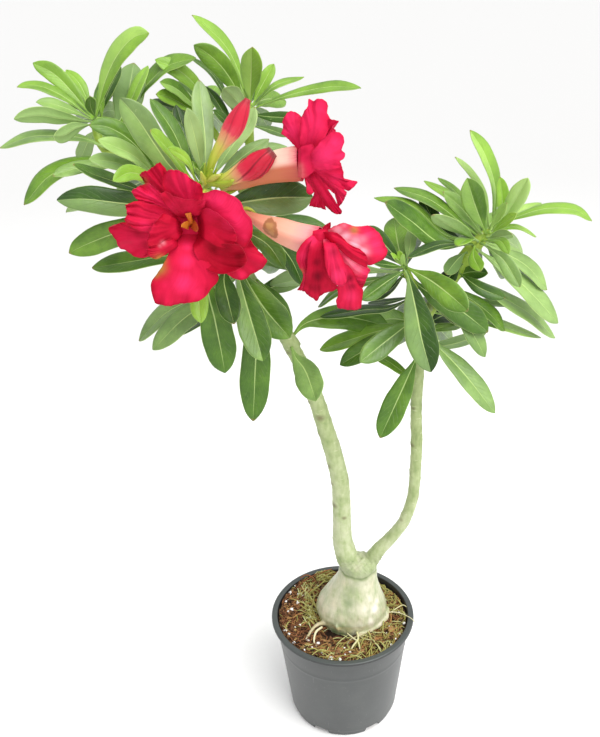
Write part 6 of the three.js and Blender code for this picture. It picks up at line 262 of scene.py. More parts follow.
SCARS = [
    [-16.3,-12.3,322.1,4.2],
    [-24.6,-8.8,336.0,2.6],
    [-17.4,-8.3,304.6,2.4],
    [-9.8,-7.5,272.8,3.0],
    [-6.2,-7.0,232.7,4.0],
    [-7.5,-6.8,255.1,2.8],
    [-39.6,-10.7,381.1,2.6],
    [4.6,-4.6,287.9,2.2],
    [2.0,-10.6,221.4,2.4],
    [5.9,-7.0,259.7,2.0],
    [56.5,-6.7,308.2,2.6],
    [58.4,-8.5,291.0,2.6],
    [57.1,-4.4,261.8,2.6],
    [57.9,-11.2,327.5,2.2],
    [65.3,-5.2,236.5,2.2],
    [50.4,-5.8,213.5,2.6],
    [63.5,-15.3,385.1,2.2],
    [11.0,0.9,184.4,2.0],
    [-7.3,1.9,192.1,2.5],
    [3.5,5.0,209.3,1.5],
    [-3.8,3.6,234.9,1.7],
    [5.7,0.8,252.0,2.4],
    [-8.8,-3.4,260.5,2.2],
    [-4.5,3.3,277.2,1.9],
    [-0.9,-4.5,293.4,1.9],
    [-15.5,-1.0,300.4,1.5],
    [-10.4,-0.2,317.5,2.4],
    [-22.8,-0.1,341.6,2.4],
    [-20.6,-4.2,358.7,1.5],
    [-35.1,-5.2,366.8,1.9],
    [-34.6,-1.3,381.9,2.0],
    [31.4,5.2,171.1,2.0],
    [42.2,3.8,193.6,1.5],
    [58.6,0.7,208.9,2.4],
    [51.9,-1.2,217.3,1.7],
    [61.7,1.7,236.0,2.4],
    [67.1,-4.2,254.3,1.5],
    [59.0,-1.1,263.5,1.9],
    [65.6,-1.7,281.9,1.9],
    [57.8,-6.5,291.0,1.5],
    [60.6,-2.2,309.4,2.4],
    [65.3,-6.3,328.1,1.6],
    [56.7,-6.4,337.3,2.4],
    [-48.9,-3.2,404.8,2.0],
    [-52.4,-7.3,424.5,1.9],
    [-67.4,-9.2,434.6,1.5],
    [-71.1,-7.6,456.4,2.4],
    [64.9,-6.4,353.3,2.0],
    [57.0,-9.7,363.5,2.5],
    [62.4,-6.3,384.0,1.5],
    [69.3,-11.9,405.2,2.4],
]
PERLITE = [
    [-47.7,29.6,2.2],
    [-39.6,27.9,2.4],
    [-40.7,16.7,2.6],
    [-46.4,7.3,2.2],
    [-52.7,-20.4,1.9],
    [-49.3,-24.6,1.6],
    [-45.1,-34.4,1.7],
    [-23.7,-34.7,2.0],
    [-32.5,-32.5,1.4],
    [-12.8,-54.3,2.6],
    [-5.4,-56.1,2.0],
    [50.1,-25.5,2.2],
    [45.8,-33.0,1.8],
    [41.2,-39.1,1.6],
    [55.2,-13.5,1.5],
    [52.1,-23.4,1.3],
    [-32.7,35.5,1.5],
    [-51.9,16.9,1.4],
    [-39.3,-13.0,1.3],
    [4.0,-45.6,1.2],
    [22.9,-49.9,1.4],
    [-35.9,-44.5,1.2],
    [-28.0,-50.1,1.0],
    [-20.6,-46.5,1.3],
    [-0.6,-49.2,1.3],
    [16.5,-53.1,1.3],
    [29.4,-49.3,1.0],
    [-50.1,4.3,1.2],
    [-43.1,37.8,1.1],
    [-33.3,13.2,1.0],
    [-29.2,-41.8,1.1],
    [35.1,-42.2,1.3],
]
STRANDS = [
    [[[-35.6,35.5,105.7],[-31.0,26.6,105.9],[-26.6,17.1,105.6],[-23.2,6.6,105.3],[-19.9,-3.1,104.4],[-16.4,-8.5,103.2]],[0.4,0.6,0.7,0.7,0.6,0.5],0.85],
    [[[-39.8,15.6,103.9],[-35.2,8.9,104.9],[-30.7,4.5,105.1],[-25.2,2.4,103.1]],[0.4,0.6,0.6,0.4],0.8],
    [[[-37.3,0.3,103.2],[-32.7,-4.2,104.8],[-28.3,-9.5,104.7],[-25.8,-14.2,103.0]],[0.4,0.7,0.7,0.4],0.82],
    [[[-26.8,40.6,105.7],[-19.9,44.6,108.1],[-12.0,49.2,108.8],[-5.9,55.2,107.1]],[0.4,0.6,0.7,0.5],0.78],
    [[[-31.0,28.3,104.3],[-26.1,31.0,106.7],[-20.3,34.9,107.9],[-14.2,42.5,108.4]],[0.4,0.7,0.7,0.5],0.8],
    [[[-34.9,23.3,104.1],[-28.5,17.2,105.6],[-24.9,10.4,105.5],[-22.4,3.5,104.3]],[0.4,0.6,0.6,0.4],0.7],
    [[[-29.8,5.3,103.1],[-26.7,13.2,105.5],[-25.4,23.5,105.9],[-27.1,33.3,104.7]],[0.4,0.6,0.6,0.4],0.76],
    [[[-34.8,-10.1,103.1],[-28.2,-7.6,105.3],[-22.7,-6.1,104.8],[-19.1,-5.8,103.2]],[0.4,0.6,0.6,0.4],0.72],
    [[[-42.3,34.0,107.2],[-35.4,40.5,108.7],[-27.5,46.3,109.5],[-20.6,52.1,109.2]],[0.4,0.6,0.6,0.4],0.35],
    [[[-38.2,46.5,108.6],[-32.3,48.7,110.1],[-26.6,46.3,109.4],[-22.9,40.8,107.8]],[0.4,0.6,0.6,0.4],0.4],
    [[[-20.7,49.6,108.9],[-13.7,54.2,109.6],[-6.7,58.5,108.1]],[0.4,0.6,0.4],0.42],
    [[[37.3,36.9,101.0],[40.0,25.5,103.5],[42.9,17.2,102.2]],[0.5,0.8,0.4],0.95],
    [[[36.5,49.2,100.3],[39.3,37.9,102.5],[43.4,30.8,101.1]],[0.4,0.6,0.4],0.8],
    [[[-12.9,-30.6,102.6],[-7.5,-29.5,103.7],[-2.1,-28.7,102.5]],[0.3,0.5,0.3],0.9],
    [[[-7.9,-36.8,102.5],[-3.1,-32.1,103.5],[3.5,-25.4,102.7]],[0.3,0.5,0.3],0.92],
    [[[13.1,-41.1,102.1],[16.4,-33.4,103.9],[20.4,-27.3,102.5]],[0.4,0.6,0.4],0.75],
    [[[17.7,-49.6,102.1],[22.6,-43.3,103.8],[26.3,-32.1,102.1]],[0.4,0.6,0.4],0.7],
    [[[26.1,-34.5,102.1],[29.0,-41.2,103.8],[31.1,-46.7,102.1]],[0.4,0.6,0.4],0.97],
    [[[39.2,-44.7,102.1],[43.5,-37.1,103.8],[46.6,-25.7,102.1]],[0.4,0.6,0.4],0.68],
    [[[35.2,-32.5,102.1],[41.3,-24.7,103.8],[49.5,-15.8,102.1]],[0.4,0.6,0.4],0.75],
    [[[-29.5,-51.1,106.0],[-22.3,-45.8,106.2],[-13.6,-47.1,104.7],[-8.6,-51.8,103.3]],[0.4,0.6,0.6,0.3],0.85],
    [[[3.7,-49.1,102.3],[9.6,-52.2,103.9],[15.5,-55.4,102.1]],[0.4,0.6,0.4],0.9],
]
THROAT = [
    [[[-96.2,512.2],[-96.4,516.7],[-97.9,520.6]],[[-97.9,520.6],[-96.0,521.1],[-94.1,521.1]],[[-93.0,512.7],[-93.8,517.9],[-94.1,521.1]],0.45],
    [[[-96.3,510.3],[-99.3,511.7],[-101.1,512.4]],[[-101.1,512.4],[-100.3,514.3],[-98.3,515.5]],[[-94.6,515.3],[-96.4,516.1],[-98.3,515.5]],0.7],
    [[[-95.5,512.2],[-93.9,510.2],[-92.1,508.8]],[[-92.1,508.8],[-90.8,510.1],[-90.6,512.0]],[[-93.8,517.9],[-91.6,515.2],[-90.6,512.0]],0.1],
]
BLEMISH = [-46.6, -74.0, 501.6]
# spots on the swollen base: x, y, z, radius, kind (0 dark green, also painted shade at the front of its foot; 1 cream;
# 2 pale, a painted highlight on its lit right side), share
PAINT = [
    [4.9,-20.8,136.0,5.7,0,0.75],
    [1.2,-22.7,127.5,4.8,0,0.45],
    [7.9,-17.8,148.1,5.7,0,0.45],
    [12.4,-16.8,155.0,4.8,0,0.35],
    [2.5,-18.0,141.6,4.8,0,0.45],
    [7.3,-24.9,123.3,4.8,0,0.3],
    [16.8,-16.1,159.8,5.7,0,0.25],
    [-3.5,-24.1,111.3,5.7,0,0.6],
    [3.6,-25.6,110.1,4.8,0,0.6],
    [-10.5,-21.1,112.4,3.8,0,0.4],
    [6.5,-13.9,163.0,3.8,0,0.4],
    [-19.4,-2.8,124.4,5.7,1,0.85],
    [-17.2,-13.5,119.9,6.6,1,0.7],
    [-11.1,-4.7,137.4,5.7,1,0.55],
    [-8.2,-16.1,131.1,5.7,1,0.45],
    [-13.9,-18.4,116.0,4.8,1,0.5],
    [-3.3,-23.4,121.3,4.8,1,0.35],
    [2.0,-13.0,152.2,3.8,1,0.5],
    [-3.8,-6.1,149.9,3.8,1,0.4],
    [25.9,-13.2,149.0,4.8,1,0.35],
    [37.3,-9.2,115.6,2.8,1,0.8],
    [14.3,-25.1,119.7,5.7,1,0.4],
    [5.4,-25.7,118.3,4.8,1,0.3],
    [28.3,-17.6,125.0,4.8,2,1.0],
    [30.5,-13.6,130.6,3.3,2,0.7],
    [23.8,-17.4,137.8,4.8,2,0.5],
    [19.9,-21.8,128.1,5.7,2,0.55],
    [24.4,-22.2,115.3,4.8,2,0.6],
    [14.3,-25.8,113.3,4.8,2,0.4],
    [22.1,-16.0,148.1,3.8,2,0.3],
    [18.5,-5.9,175.8,1.7,0,0.8],
    [20.0,-9.2,174.0,1.7,0,0.8],
    [21.6,-11.2,171.2,1.7,0,0.7],
    [3.9,-12.2,163.9,2.8,0,0.5],
    [26.0,-11.8,162.5,2.8,0,0.4],
    [6.1,-6.7,174.8,2.8,0,0.3],
    [8.5,-10.7,172.5,2.8,0,0.3],
    [12.7,-13.5,169.0,3.8,1,0.4],
    [15.5,-11.4,172.7,2.8,1,0.4],
    [2.8,-3.6,174.6,3.8,0,0.2],
    [-7.9,-20.4,103.2,4.3,0,1.0],
    [-1.7,-22.8,102.8,4.3,0,1.0],
    [-14.0,-16.9,105.0,3.8,0,0.9],
    [3.6,-24.3,104.1,3.3,0,0.7],
]
ROOTS = [
    [[[-3.5,-23.6,112.0],[-9.4,-16.3,109.0],[-16.6,-14.3,108.0],[-23.9,-16.0,107.0],[-29.5,-21.7,105.5],[-34.3,-30.5,103.5],[-36.2,-33.4,100.5]],[4.4,3.6,2.5,1.9,1.5,1.2,0.8],'thick'],
    [[[42.5,4.8,105.0],[40.5,-6.3,104.4],[33.2,-15.7,104.0],[23.5,-22.4,103.6],[13.3,-27.2,103.4],[4.9,-31.3,102.4],[0.9,-37.6,100.4]],[1.5,1.7,1.6,1.4,1.2,1.0,0.6],'thick'],
    [[[-19.5,-17.7,106.0],[-25.1,-23.7,106.0],[-27.2,-33.1,104.5],[-24.8,-39.1,102.0]],[1.1,1.0,0.8,0.5],'thin'],
    [[[11.6,-25.5,106.0],[11.9,-33.6,105.5],[7.0,-40.8,104.5],[4.0,-45.8,102.5]],[1.0,0.9,0.8,0.4],'thin'],
    [[[2.6,-25.3,105.0],[7.6,-32.2,105.5],[11.7,-36.7,105.0],[12.9,-43.2,103.0]],[0.5,0.7,0.7,0.4],'thin'],
    [[[38.3,-0.5,104.0],[45.7,-0.7,105.0],[52.6,-4.0,106.5],[58.1,-10.8,109.0],[62.1,-15.2,109.3],[65.9,-21.1,107.5],[69.2,-23.8,104.0]],[0.6,0.5,0.5,0.4,0.35,0.3,0.2],'thin'],
    [[[43.9,0.3,103.0],[50.8,4.3,105.0],[56.7,6.9,106.0],[60.8,2.5,105.0],[59.2,-3.1,103.0]],[0.55,0.5,0.45,0.4,0.3],'thin'],
    [[[12.0,-24.0,103.0],[16.0,-30.0,103.0],[24.0,-33.0,102.6],[30.0,-38.0,102.0]],[0.5,0.45,0.4,0.3],'thin'],
    [[[8.0,-30.0,102.4],[15.0,-27.0,103.4],[22.0,-29.0,103.0],[27.0,-34.0,102.0]],[0.4,0.4,0.35,0.3],'thin'],
    [[[-22.0,14.0,102.6],[-30.0,4.0,103.2],[-36.0,-8.0,102.8],[-44.0,-16.0,101.0]],[0.4,0.35,0.35,0.25],'thin'],
    [[[2.0,30.0,102.6],[-4.0,38.0,103.2],[-14.0,44.0,102.0]],[0.5,0.4,0.3],'thin'],
    [[[20.0,28.0,102.6],[28.0,38.0,103.0],[24.0,48.0,101.6]],[0.5,0.4,0.3],'thin'],
]

# ---------------------------------------------------------------------------
# helpers
# ---------------------------------------------------------------------------


def hexc(h):
    c = [int(h[i : i + 2], 16) / 255 for i in (1, 3, 5)]
    return tuple(x / 12.92 if x <= 0.04045 else ((x + 0.055) / 1.055) ** 2.4 for x in c) + (1.0,)


def sample(points, n=None, shares=None):
    """Catmull-Rom through the points, evenly along their length."""
    P = np.asarray(points, float)
    seg = np.linalg.norm(np.diff(P, axis=0), axis=1)
    s = np.r_[0, np.cumsum(seg)]
    s /= s[-1]
    q = np.linspace(0, 1, n) if shares is None else np.asarray(shares, float)
    i = np.clip(np.searchsorted(s, q, side="right") - 1, 0, len(P) - 2)
    t = ((q - s[i]) / (s[i + 1] - s[i]))[:, None]
    E = np.vstack([2 * P[0] - P[1], P, 2 * P[-1] - P[-2]])
    p0, p1, p2, p3 = E[i], E[i + 1], E[i + 2], E[i + 3]
    return 0.5 * (2 * p1 + (p2 - p0) * t + (2 * p0 - 5 * p1 + 4 * p2 - p3) * t**2 + (3 * p1 - p0 - 3 * p2 + p3) * t**3)


def unit(a):
    return a / np.maximum(np.linalg.norm(a, axis=-1, keepdims=True), 1e-9)


def frames(C, up=(0.3, 1, 0.2)):
    """Tangent and two cross vectors along a line, without twist."""
    T = unit(np.gradient(C, axis=0))
    u = np.array(up, float)
    U, Wd = [], []
    for t in T:
        u = u - t * np.dot(u, t)
        if np.linalg.norm(u) < 1e-4:
            u = np.array([1.0, 0.2, 0.1]) - t * np.dot([1.0, 0.2, 0.1], t)
        u = u / np.linalg.norm(u)
        U.append(u)
        Wd.append(np.cross(t, u))
    return T, np.array(U), np.array(Wd)


class Build:
    """Collects vertices, faces, UVs and per-vertex values for one mesh."""

    def __init__(self):
        self.v, self.f, self.uv, self.m, self.k = [], [], [], [], {}
        self.n = 0

    def add(self, v, f, uv=None, mat=0, **vals):
        v = np.asarray(v, float).reshape(-1, 3)
        self.v.append(v)
        self.f.extend([tuple(int(i) + self.n for i in q) for q in f])
        self.m.extend(mat if isinstance(mat, list) else [mat] * len(f))
        self.uv.append(np.zeros((len(v), 2)) if uv is None else np.asarray(uv, float))
        for name in set(self.k) | set(vals):
            self.k.setdefault(name, [np.zeros(self.n)] if self.n else [])
            x = vals.get(name, 0.0)
            self.k[name].append(np.full(len(v), float(x)) if np.isscalar(x) else np.asarray(x, float))
        self.n += len(v)

    def make(self, name, mats, smooth=True):
        me = bpy.data.meshes.new(name)
        V = np.vstack(self.v) * MM
        me.from_pydata(V.tolist(), [], self.f)
        uv = me.uv_layers.new(name="UVMap")
        loops = np.zeros(len(me.loops), np.int32)
        me.loops.foreach_get("vertex_index", loops)
        uv.data.foreach_set("uv", np.vstack(self.uv)[loops].astype(np.float32).ravel())
        for k, parts in self.k.items():
            a = me.attributes.new(k, "FLOAT", "POINT")
            a.data.foreach_set("value", np.concatenate(parts).astype(np.float32))
        for m in mats:
            me.materials.append(m)
        me.polygons.foreach_set("material_index", np.array(self.m, np.int32))
        me.polygons.foreach_set("use_smooth", np.full(len(me.polygons), smooth))
        me.update()
        o = bpy.data.objects.new(name, me)
        bpy.context.collection.objects.link(o)
        return o


def piece(o, slot, *nodes):
    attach(o, "root")
    if nodes:
        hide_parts(*nodes)
    return o


def grid_shell(top, bot):
    """A closed shell from two grids of points of the same shape (along, across)."""
    a, b = top.shape[:2]
    V = np.concatenate([top.reshape(-1, 3), bot.reshape(-1, 3)])
    off = a * b
    F = []
    for i in range(a - 1):
        for j in range(b - 1):
            p, q, r, s = i * b + j, i * b + j + 1, (i + 1) * b + j + 1, (i + 1) * b + j
            F.append((p, q, r, s))
            F.append((off + s, off + r, off + q, off + p))
        p, s = i * b, (i + 1) * b
        F.append((p, s, off + s, off + p))
        p, s = i * b + b - 1, (i + 1) * b + b - 1
        F.append((s, p, off + p, off + s))
    for j in range(b - 1):
        F.append((j + 1, j, off + j, off + j + 1))
        e = (a - 1) * b
        F.append((e + j, e + j + 1, off + e + j + 1, off + e + j))
    return V, F


def tube(P, r, sides=12, n=None, cap=True, twist=0.0):
    """A closed tube. Returns vertices, faces and UVs."""
    P = np.asarray(P, float)
    n = n or len(P)
    seg = np.linalg.norm(np.diff(P, axis=0), axis=1)
    s = np.r_[0, np.cumsum(seg)] / seg.sum()
    C = sample(P, n)
    q = np.linspace(0, 1, n)
    R = np.interp(q, s, r) if len(r) == len(P) else np.interp(q, np.linspace(0, 1, len(r)), r)
    T, U, Wd = frames(C)
    a = np.linspace(0, 2 * np.pi, sides, endpoint=False)
    V = C[:, None, :] + R[:, None, None] * (np.cos(a)[None, :, None] * U[:, None, :] + np.sin(a)[None, :, None] * Wd[:, None, :])
    V = V.reshape(-1, 3)
    UV = np.stack(np.meshgrid(q, np.linspace(0, 1, sides), indexing="ij"), -1).reshape(-1, 2)[:, ::-1]
    F = []
    for i in range(n - 1):
        for j in range(sides):
            k = (j + 1) % sides
            F.append((i * sides + j, i * sides + k, (i + 1) * sides + k, (i + 1) * sides + j))
    if cap:
        F.append(tuple(range(sides))[::-1])
        F.append(tuple((n - 1) * sides + j for j in range(sides)))
    return V, F, UV


# ---------------------------------------------------------------------------
# materials
# ---------------------------------------------------------------------------


class Mat:
    def __init__(self, name):
        self.mat = bpy.data.materials.new(name)
        self.mat.use_nodes = True
        self.nt = self.mat.node_tree
        self.nt.nodes.clear()
        self.out = self.nt.nodes.new("ShaderNodeOutputMaterial")
        self.bsdf = self.nt.nodes.new("ShaderNodeBsdfPrincipled")
        self.nt.links.new(self.bsdf.outputs[0], self.out.inputs[0])

    def put(self, sock, v):
        if isinstance(v, bpy.types.NodeSocket):
            self.nt.links.new(v, sock)
        else:
            sock.default_value = v

    def node(self, kind, ins=None, **props):
        x = self.nt.nodes.new(kind)
        for k, v in props.items():
            setattr(x, k, v)
        for k, v in (ins or {}).items():
            self.put(x.inputs[k], v)
        return x

    def attr(self, name):
        return self.node("ShaderNodeAttribute", attribute_name=name).outputs["Fac"]

    def obj(self):
        return self.node("ShaderNodeTexCoord").outputs["Object"]

    def uv(self):
        u = self.node("ShaderNodeUVMap", uv_map="UVMap").outputs[0]
        s = self.node("ShaderNodeSeparateXYZ", {0: u})
        return u, s.outputs[0], s.outputs[1]

    def math(self, op, a, b=0.0, c=None, clamp=False):
        x = self.node("ShaderNodeMath", {0: a, 1: b}, operation=op, use_clamp=clamp)
        if c is not None:
            self.put(x.inputs[2], c)
        return x.outputs[0]

    def step(self, x, lo, hi, a=0.0, b=1.0):
        return self.node("ShaderNodeMapRange", {0: x, 1: lo, 2: hi, 3: a, 4: b}, interpolation_type="SMOOTHSTEP").outputs[0]

    def mix(self, f, a, b, blend="MIX"):
        x = self.node("ShaderNodeMix", data_type="RGBA", blend_type=blend)
        self.put(x.inputs[0], f)
        self.put(x.inputs[6], a)
        self.put(x.inputs[7], b)
        return x.outputs[2]

    def ramp(self, f, stops, mode="LINEAR"):
        x = self.node("ShaderNodeValToRGB", {0: f})
        r = x.color_ramp
        r.interpolation = mode
        while len(r.elements) > 1:
            r.elements.remove(r.elements[-1])
        for k, (p, c) in enumerate(stops):
            e = r.elements[0] if k == 0 else r.elements.new(p)
            e.position = p
            e.color = hexc(c) if isinstance(c, str) else (c, c, c, 1)
        return x.outputs[0]

    def noise(self, vec, scale, detail=3.0, rough=0.5, dist=0.0):
        return self.node("ShaderNodeTexNoise", {"Vector": vec, "Scale": scale, "Detail": detail, "Roughness": rough, "Distortion": dist}).outputs[0]

    def voronoi(self, vec, scale, feature="F1"):
        return self.node("ShaderNodeTexVoronoi", {"Vector": vec, "Scale": scale}, feature=feature).outputs[0]

    def scale(self, vec, xyz):
        return self.node("ShaderNodeMapping", {"Vector": vec, "Scale": xyz}).outputs[0]

    def bump(self, h, strength, dist, normal=None):
        x = self.node("ShaderNodeBump", {"Height": h, "Strength": strength, "Distance": dist})
        if normal is not None:
            self.put(x.inputs["Normal"], normal)
        return x.outputs[0]

    def set(self, **k):
        names = dict(color="Base Color", rough="Roughness", normal="Normal", spec="Specular IOR Level", coat="Coat Weight",
                     coat_rough="Coat Roughness", sheen="Sheen Weight", sheen_rough="Sheen Roughness", sheen_tint="Sheen Tint",
                     sss="Subsurface Weight", sss_radius="Subsurface Radius", sss_scale="Subsurface Scale", metal="Metallic")
        for a, v in k.items():
            self.put(self.bsdf.inputs[names[a]], v)
        return self.mat


def leaf_material():
    m = Mat("leaf_blade")
    _, u, v = m.uv()
    tone, half, side, seed = m.attr("tone"), m.attr("half"), m.attr("side"), m.attr("seed")
    ob = m.obj()
    across = m.math("MULTIPLY", m.math("SUBTRACT", u, 0.5), 2.0)
    uc = m.math("ABSOLUTE", across)
    big = m.noise(ob, 45.0, 3, 0.55)
    fine = m.noise(ob, 420.0, 4, 0.6)
    sgn = m.step(across, -0.03, 0.03, -1.0, 1.0)
    # painted light and shade: one half of the blade, chosen per leaf, is made lighter and the other half darker, as
    # light falls on a folded leaf
    half_light = m.math("MULTIPLY", half, sgn)
    t = m.math("ADD", tone, m.math("MULTIPLY", m.math("SUBTRACT", big, 0.5), 0.62))
    t = m.math("ADD", t, m.math("MULTIPLY", m.math("SUBTRACT", fine, 0.5), 0.14))
    t = m.math("ADD", t, m.math("MULTIPLY", half_light, 0.09))
    t = m.math("ADD", t, m.step(v, 0.0, 0.22, 0.14, 0.0))
    t = m.math("ADD", t, m.step(uc, 0.2, 1.0, 0.0, -0.05))
    col = m.ramp(t, [(0.0, "#1B3606"), (0.2, "#2F530F"), (0.42, "#50771F"), (0.62, "#769F32"), (0.8, "#8AB63C"), (1.0, "#A4CE4E")])
    # painted sheen: the lit half, and whole leaves by their sheen share, are mixed towards a pale grey-green that
    # stands in for the gloss reflecting the bright surroundings
    pale = m.math("MAXIMUM", m.math("MULTIPLY", m.math("MAXIMUM", half_light, 0.0), 0.22), m.math("MULTIPLY", m.attr("pale"), m.step(big, 0.25, 0.7, 0.55, 0.95)))
    col = m.mix(pale, col, hexc("#B4D08E"))
    # side veins run outwards and forwards from the midrib
    ph = m.math("SUBTRACT", m.math("MULTIPLY", v, 13.0), m.math("MULTIPLY", uc, 2.9))
    ph = m.math("ADD", ph, m.math("MULTIPLY", m.math("SUBTRACT", big, 0.5), 2.4))
    ph = m.math("ADD", ph, m.math("MULTIPLY", sgn, 0.23))
    fr = m.math("ABSOLUTE", m.math("SUBTRACT", m.math("FRACT", ph), 0.5))
    vein = m.math("MULTIPLY", m.step(fr, 0.0, 0.07, 1.0, 0.0), m.step(uc, 0.55, 0.95, 1.0, 0.0))
    vein = m.math("MULTIPLY", vein, m.step(m.noise(ob, 120.0, 2, 0.5), 0.35, 0.65, 0.25, 1.0))
    col = m.mix(m.math("MULTIPLY", vein, 0.16), col, hexc("#A9C47C"))
    under = m.math("SUBTRACT", 1.0, side)
    col = m.mix(m.math("MULTIPLY", under, 0.5), col, hexc("#86A464"))
    width = m.step(v, 0.0, 1.0, 0.085, 0.018)
    rib = m.step(m.math("DIVIDE", uc, width), 0.55, 1.15, 1.0, 0.0)
    col = m.mix(m.math("MULTIPLY", rib, m.step(v, 0.5, 1.0, 0.85, 0.6)), col, hexc("#BFD888"))
    edge = m.step(uc, 0.955, 0.99)
    col = m.mix(m.math("MULTIPLY", edge, 0.5), col, hexc("#C2DA80"))
    tip = m.math("MULTIPLY", m.step(v, 0.972, 0.995), m.step(seed, 0.35, 0.55))
    col = m.mix(m.math("MULTIPLY", tip, 0.6), col, hexc("#8A7340"))
    speck = m.step(m.noise(ob, 260.0, 2, 0.5), 0.73, 0.78)
    col = m.mix(m.math("MULTIPLY", speck, 0.22), col, hexc("#C9D79A"))
    cells = m.voronoi(ob, 1500.0)
    h = m.math("ADD", m.math("MULTIPLY", vein, -0.9), m.math("MULTIPLY", fine, 0.30))
    h = m.math("ADD", h, m.math("MULTIPLY", m.noise(ob, 110.0, 2, 0.5), 1.2))
    h = m.math("ADD", h, m.math("MULTIPLY", cells, 0.12))
    h = m.math("ADD", h, m.math("MULTIPLY", rib, -0.25))
    rough = m.math("ADD", m.math("MULTIPLY", fine, 0.16), m.math("ADD", 0.24, m.math("MULTIPLY", under, 0.20)))
    return m.set(color=col, rough=rough, normal=m.bump(h, 0.5, 0.0008), spec=0.45)


def petal_material(name, base, deep, bright, pink, throat_shade=True, palec="#F4B4C2"):
    m = Mat(name)
    uvv, u, v = m.uv()
    tone, hl, side, dark = m.attr("tone"), m.attr("hl"), m.attr("side"), m.attr("dark")
    ob = m.obj()
    across = m.math("ABSOLUTE", m.math("MULTIPLY", m.math("SUBTRACT", u, 0.5), 2.0))
    streak = m.noise(m.scale(uvv, (46.0, 2.6, 1.0)), 1.0, 4, 0.6)
    blot = m.noise(ob, 70.0, 3, 0.55)
    fine = m.noise(ob, 700.0, 3, 0.6)
    t = m.math("ADD", m.math("MULTIPLY", streak, 0.08), m.math("MULTIPLY", blot, 0.6))
    t = m.math("ADD", m.math("SUBTRACT", t, 0.30), tone)
    col = m.ramp(t, [(0.0, deep), (0.35, base), (0.65, bright), (1.0, pink)])
    wav = m.math("ADD", m.math("MULTIPLY", streak, 0.7), m.math("MULTIPLY", blot, 0.5))
    light = m.math("MULTIPLY", hl, m.step(wav, 0.35, 0.75, 0.65, 1.0))
    col = m.mix(light, col, hexc(pink))
    # painted shade: the shade share darkens cups, folds and the recesses round the throat towards the deep red
    shade_mix = m.math("MULTIPLY", dark, m.step(blot, 0.3, 0.7, 1.0, 0.75))
    col = m.mix(shade_mix, col, hexc(deep))
    edge = m.math("MULTIPLY", m.step(m.math("MAXIMUM", across, v), 0.93, 0.995), 0.28)
    col = m.mix(edge, col, hexc(deep))
    if throat_shade:
        # painted shade: the petal is darkened towards its base, where the throat lies in shade
        col = m.mix(m.step(v, 0.02, 0.2, 0.5, 0.0), col, hexc("#A00C20"))
    col = m.mix(m.math("MULTIPLY", m.math("SUBTRACT", 1.0, side), 0.22), col, hexc("#E2637C"))
    # pale patches in the petal's own colour
    col = m.mix(m.math("MULTIPLY", m.attr("pale"), m.step(wav, 0.3, 0.7, 0.8, 1.0)), col, hexc(palec))
    col = m.mix(m.math("MULTIPLY", m.attr("olive"), m.step(blot, 0.3, 0.6, 0.7, 1.0)), col, hexc("#A48A3C"))
    h = m.math("ADD", m.math("MULTIPLY", streak, 0.25), m.math("MULTIPLY", fine, 0.3))
    rough = m.math("ADD", 0.50, m.math("MULTIPLY", fine, 0.2))
    return m.set(color=col, rough=rough, normal=m.bump(h, 0.2, 0.0004), spec=0.07)


def tube_material():
    m = Mat("flower_tube")
    uvv, u, v = m.uv()
    ob = m.obj()
    up, hot = m.attr("up"), m.attr("hot")
    streak = m.noise(m.scale(uvv, (30.0, 2.0, 1.0)), 1.0, 4, 0.6)
    blot = m.noise(ob, 90.0, 3, 0.6)
    t = m.math("ADD", v, m.math("MULTIPLY", m.math("SUBTRACT", streak, 0.5), 0.22))
    light = m.ramp(t, [(0.0, "#B5C75A"), (0.12, "#D9D78C"), (0.3, "#F7E0C2"), (0.78, "#F8D8C2"), (0.9, "#F8C2B2"), (0.965, "#F49E98"), (1.0, "#E65C74")])
    low = m.ramp(t, [(0.0, "#A7B450"), (0.12, "#C99A6A"), (0.35, "#D2825A"), (0.75, "#D07C58"), (0.93, "#CC6A54"), (1.0, "#C85A54")])
    # painted light and shade on the tube's own colours: upward-facing parts take the pale ramp, downward-facing parts
    # the browner, darker one
    col = m.mix(m.step(up, 0.6, 0.85), low, light)
    warm = m.ramp(t, [(0.0, "#BC5A4C"), (0.2, "#D87C68"), (0.45, "#EEA484"), (0.72, "#F2AE98"), (0.9, "#F0A0A0"), (1.0, "#E05A70")])
    col = m.mix(m.math("MULTIPLY", hot, m.step(up, 0.0, 1.0, 1.0, 0.9)), col, warm)
    spot = m.math("ADD", m.attr("blem"), m.math("MULTIPLY", m.math("SUBTRACT", blot, 0.5), 1.1))
    col = m.mix(m.step(spot, 0.45, 0.62, 0.0, 0.85), col, hexc("#9A6236"))
    col = m.mix(m.step(spot, 0.75, 0.9, 0.0, 0.6), col, hexc("#C79A5E"))
    h = m.math("ADD", m.math("MULTIPLY", streak, 1.0), m.math("MULTIPLY", m.noise(ob, 600.0, 3), 0.2))
    return m.set(color=col, rough=m.math("ADD", 0.38, m.math("MULTIPLY", blot, 0.2)), normal=m.bump(h, 0.4, 0.0006), spec=0.4)


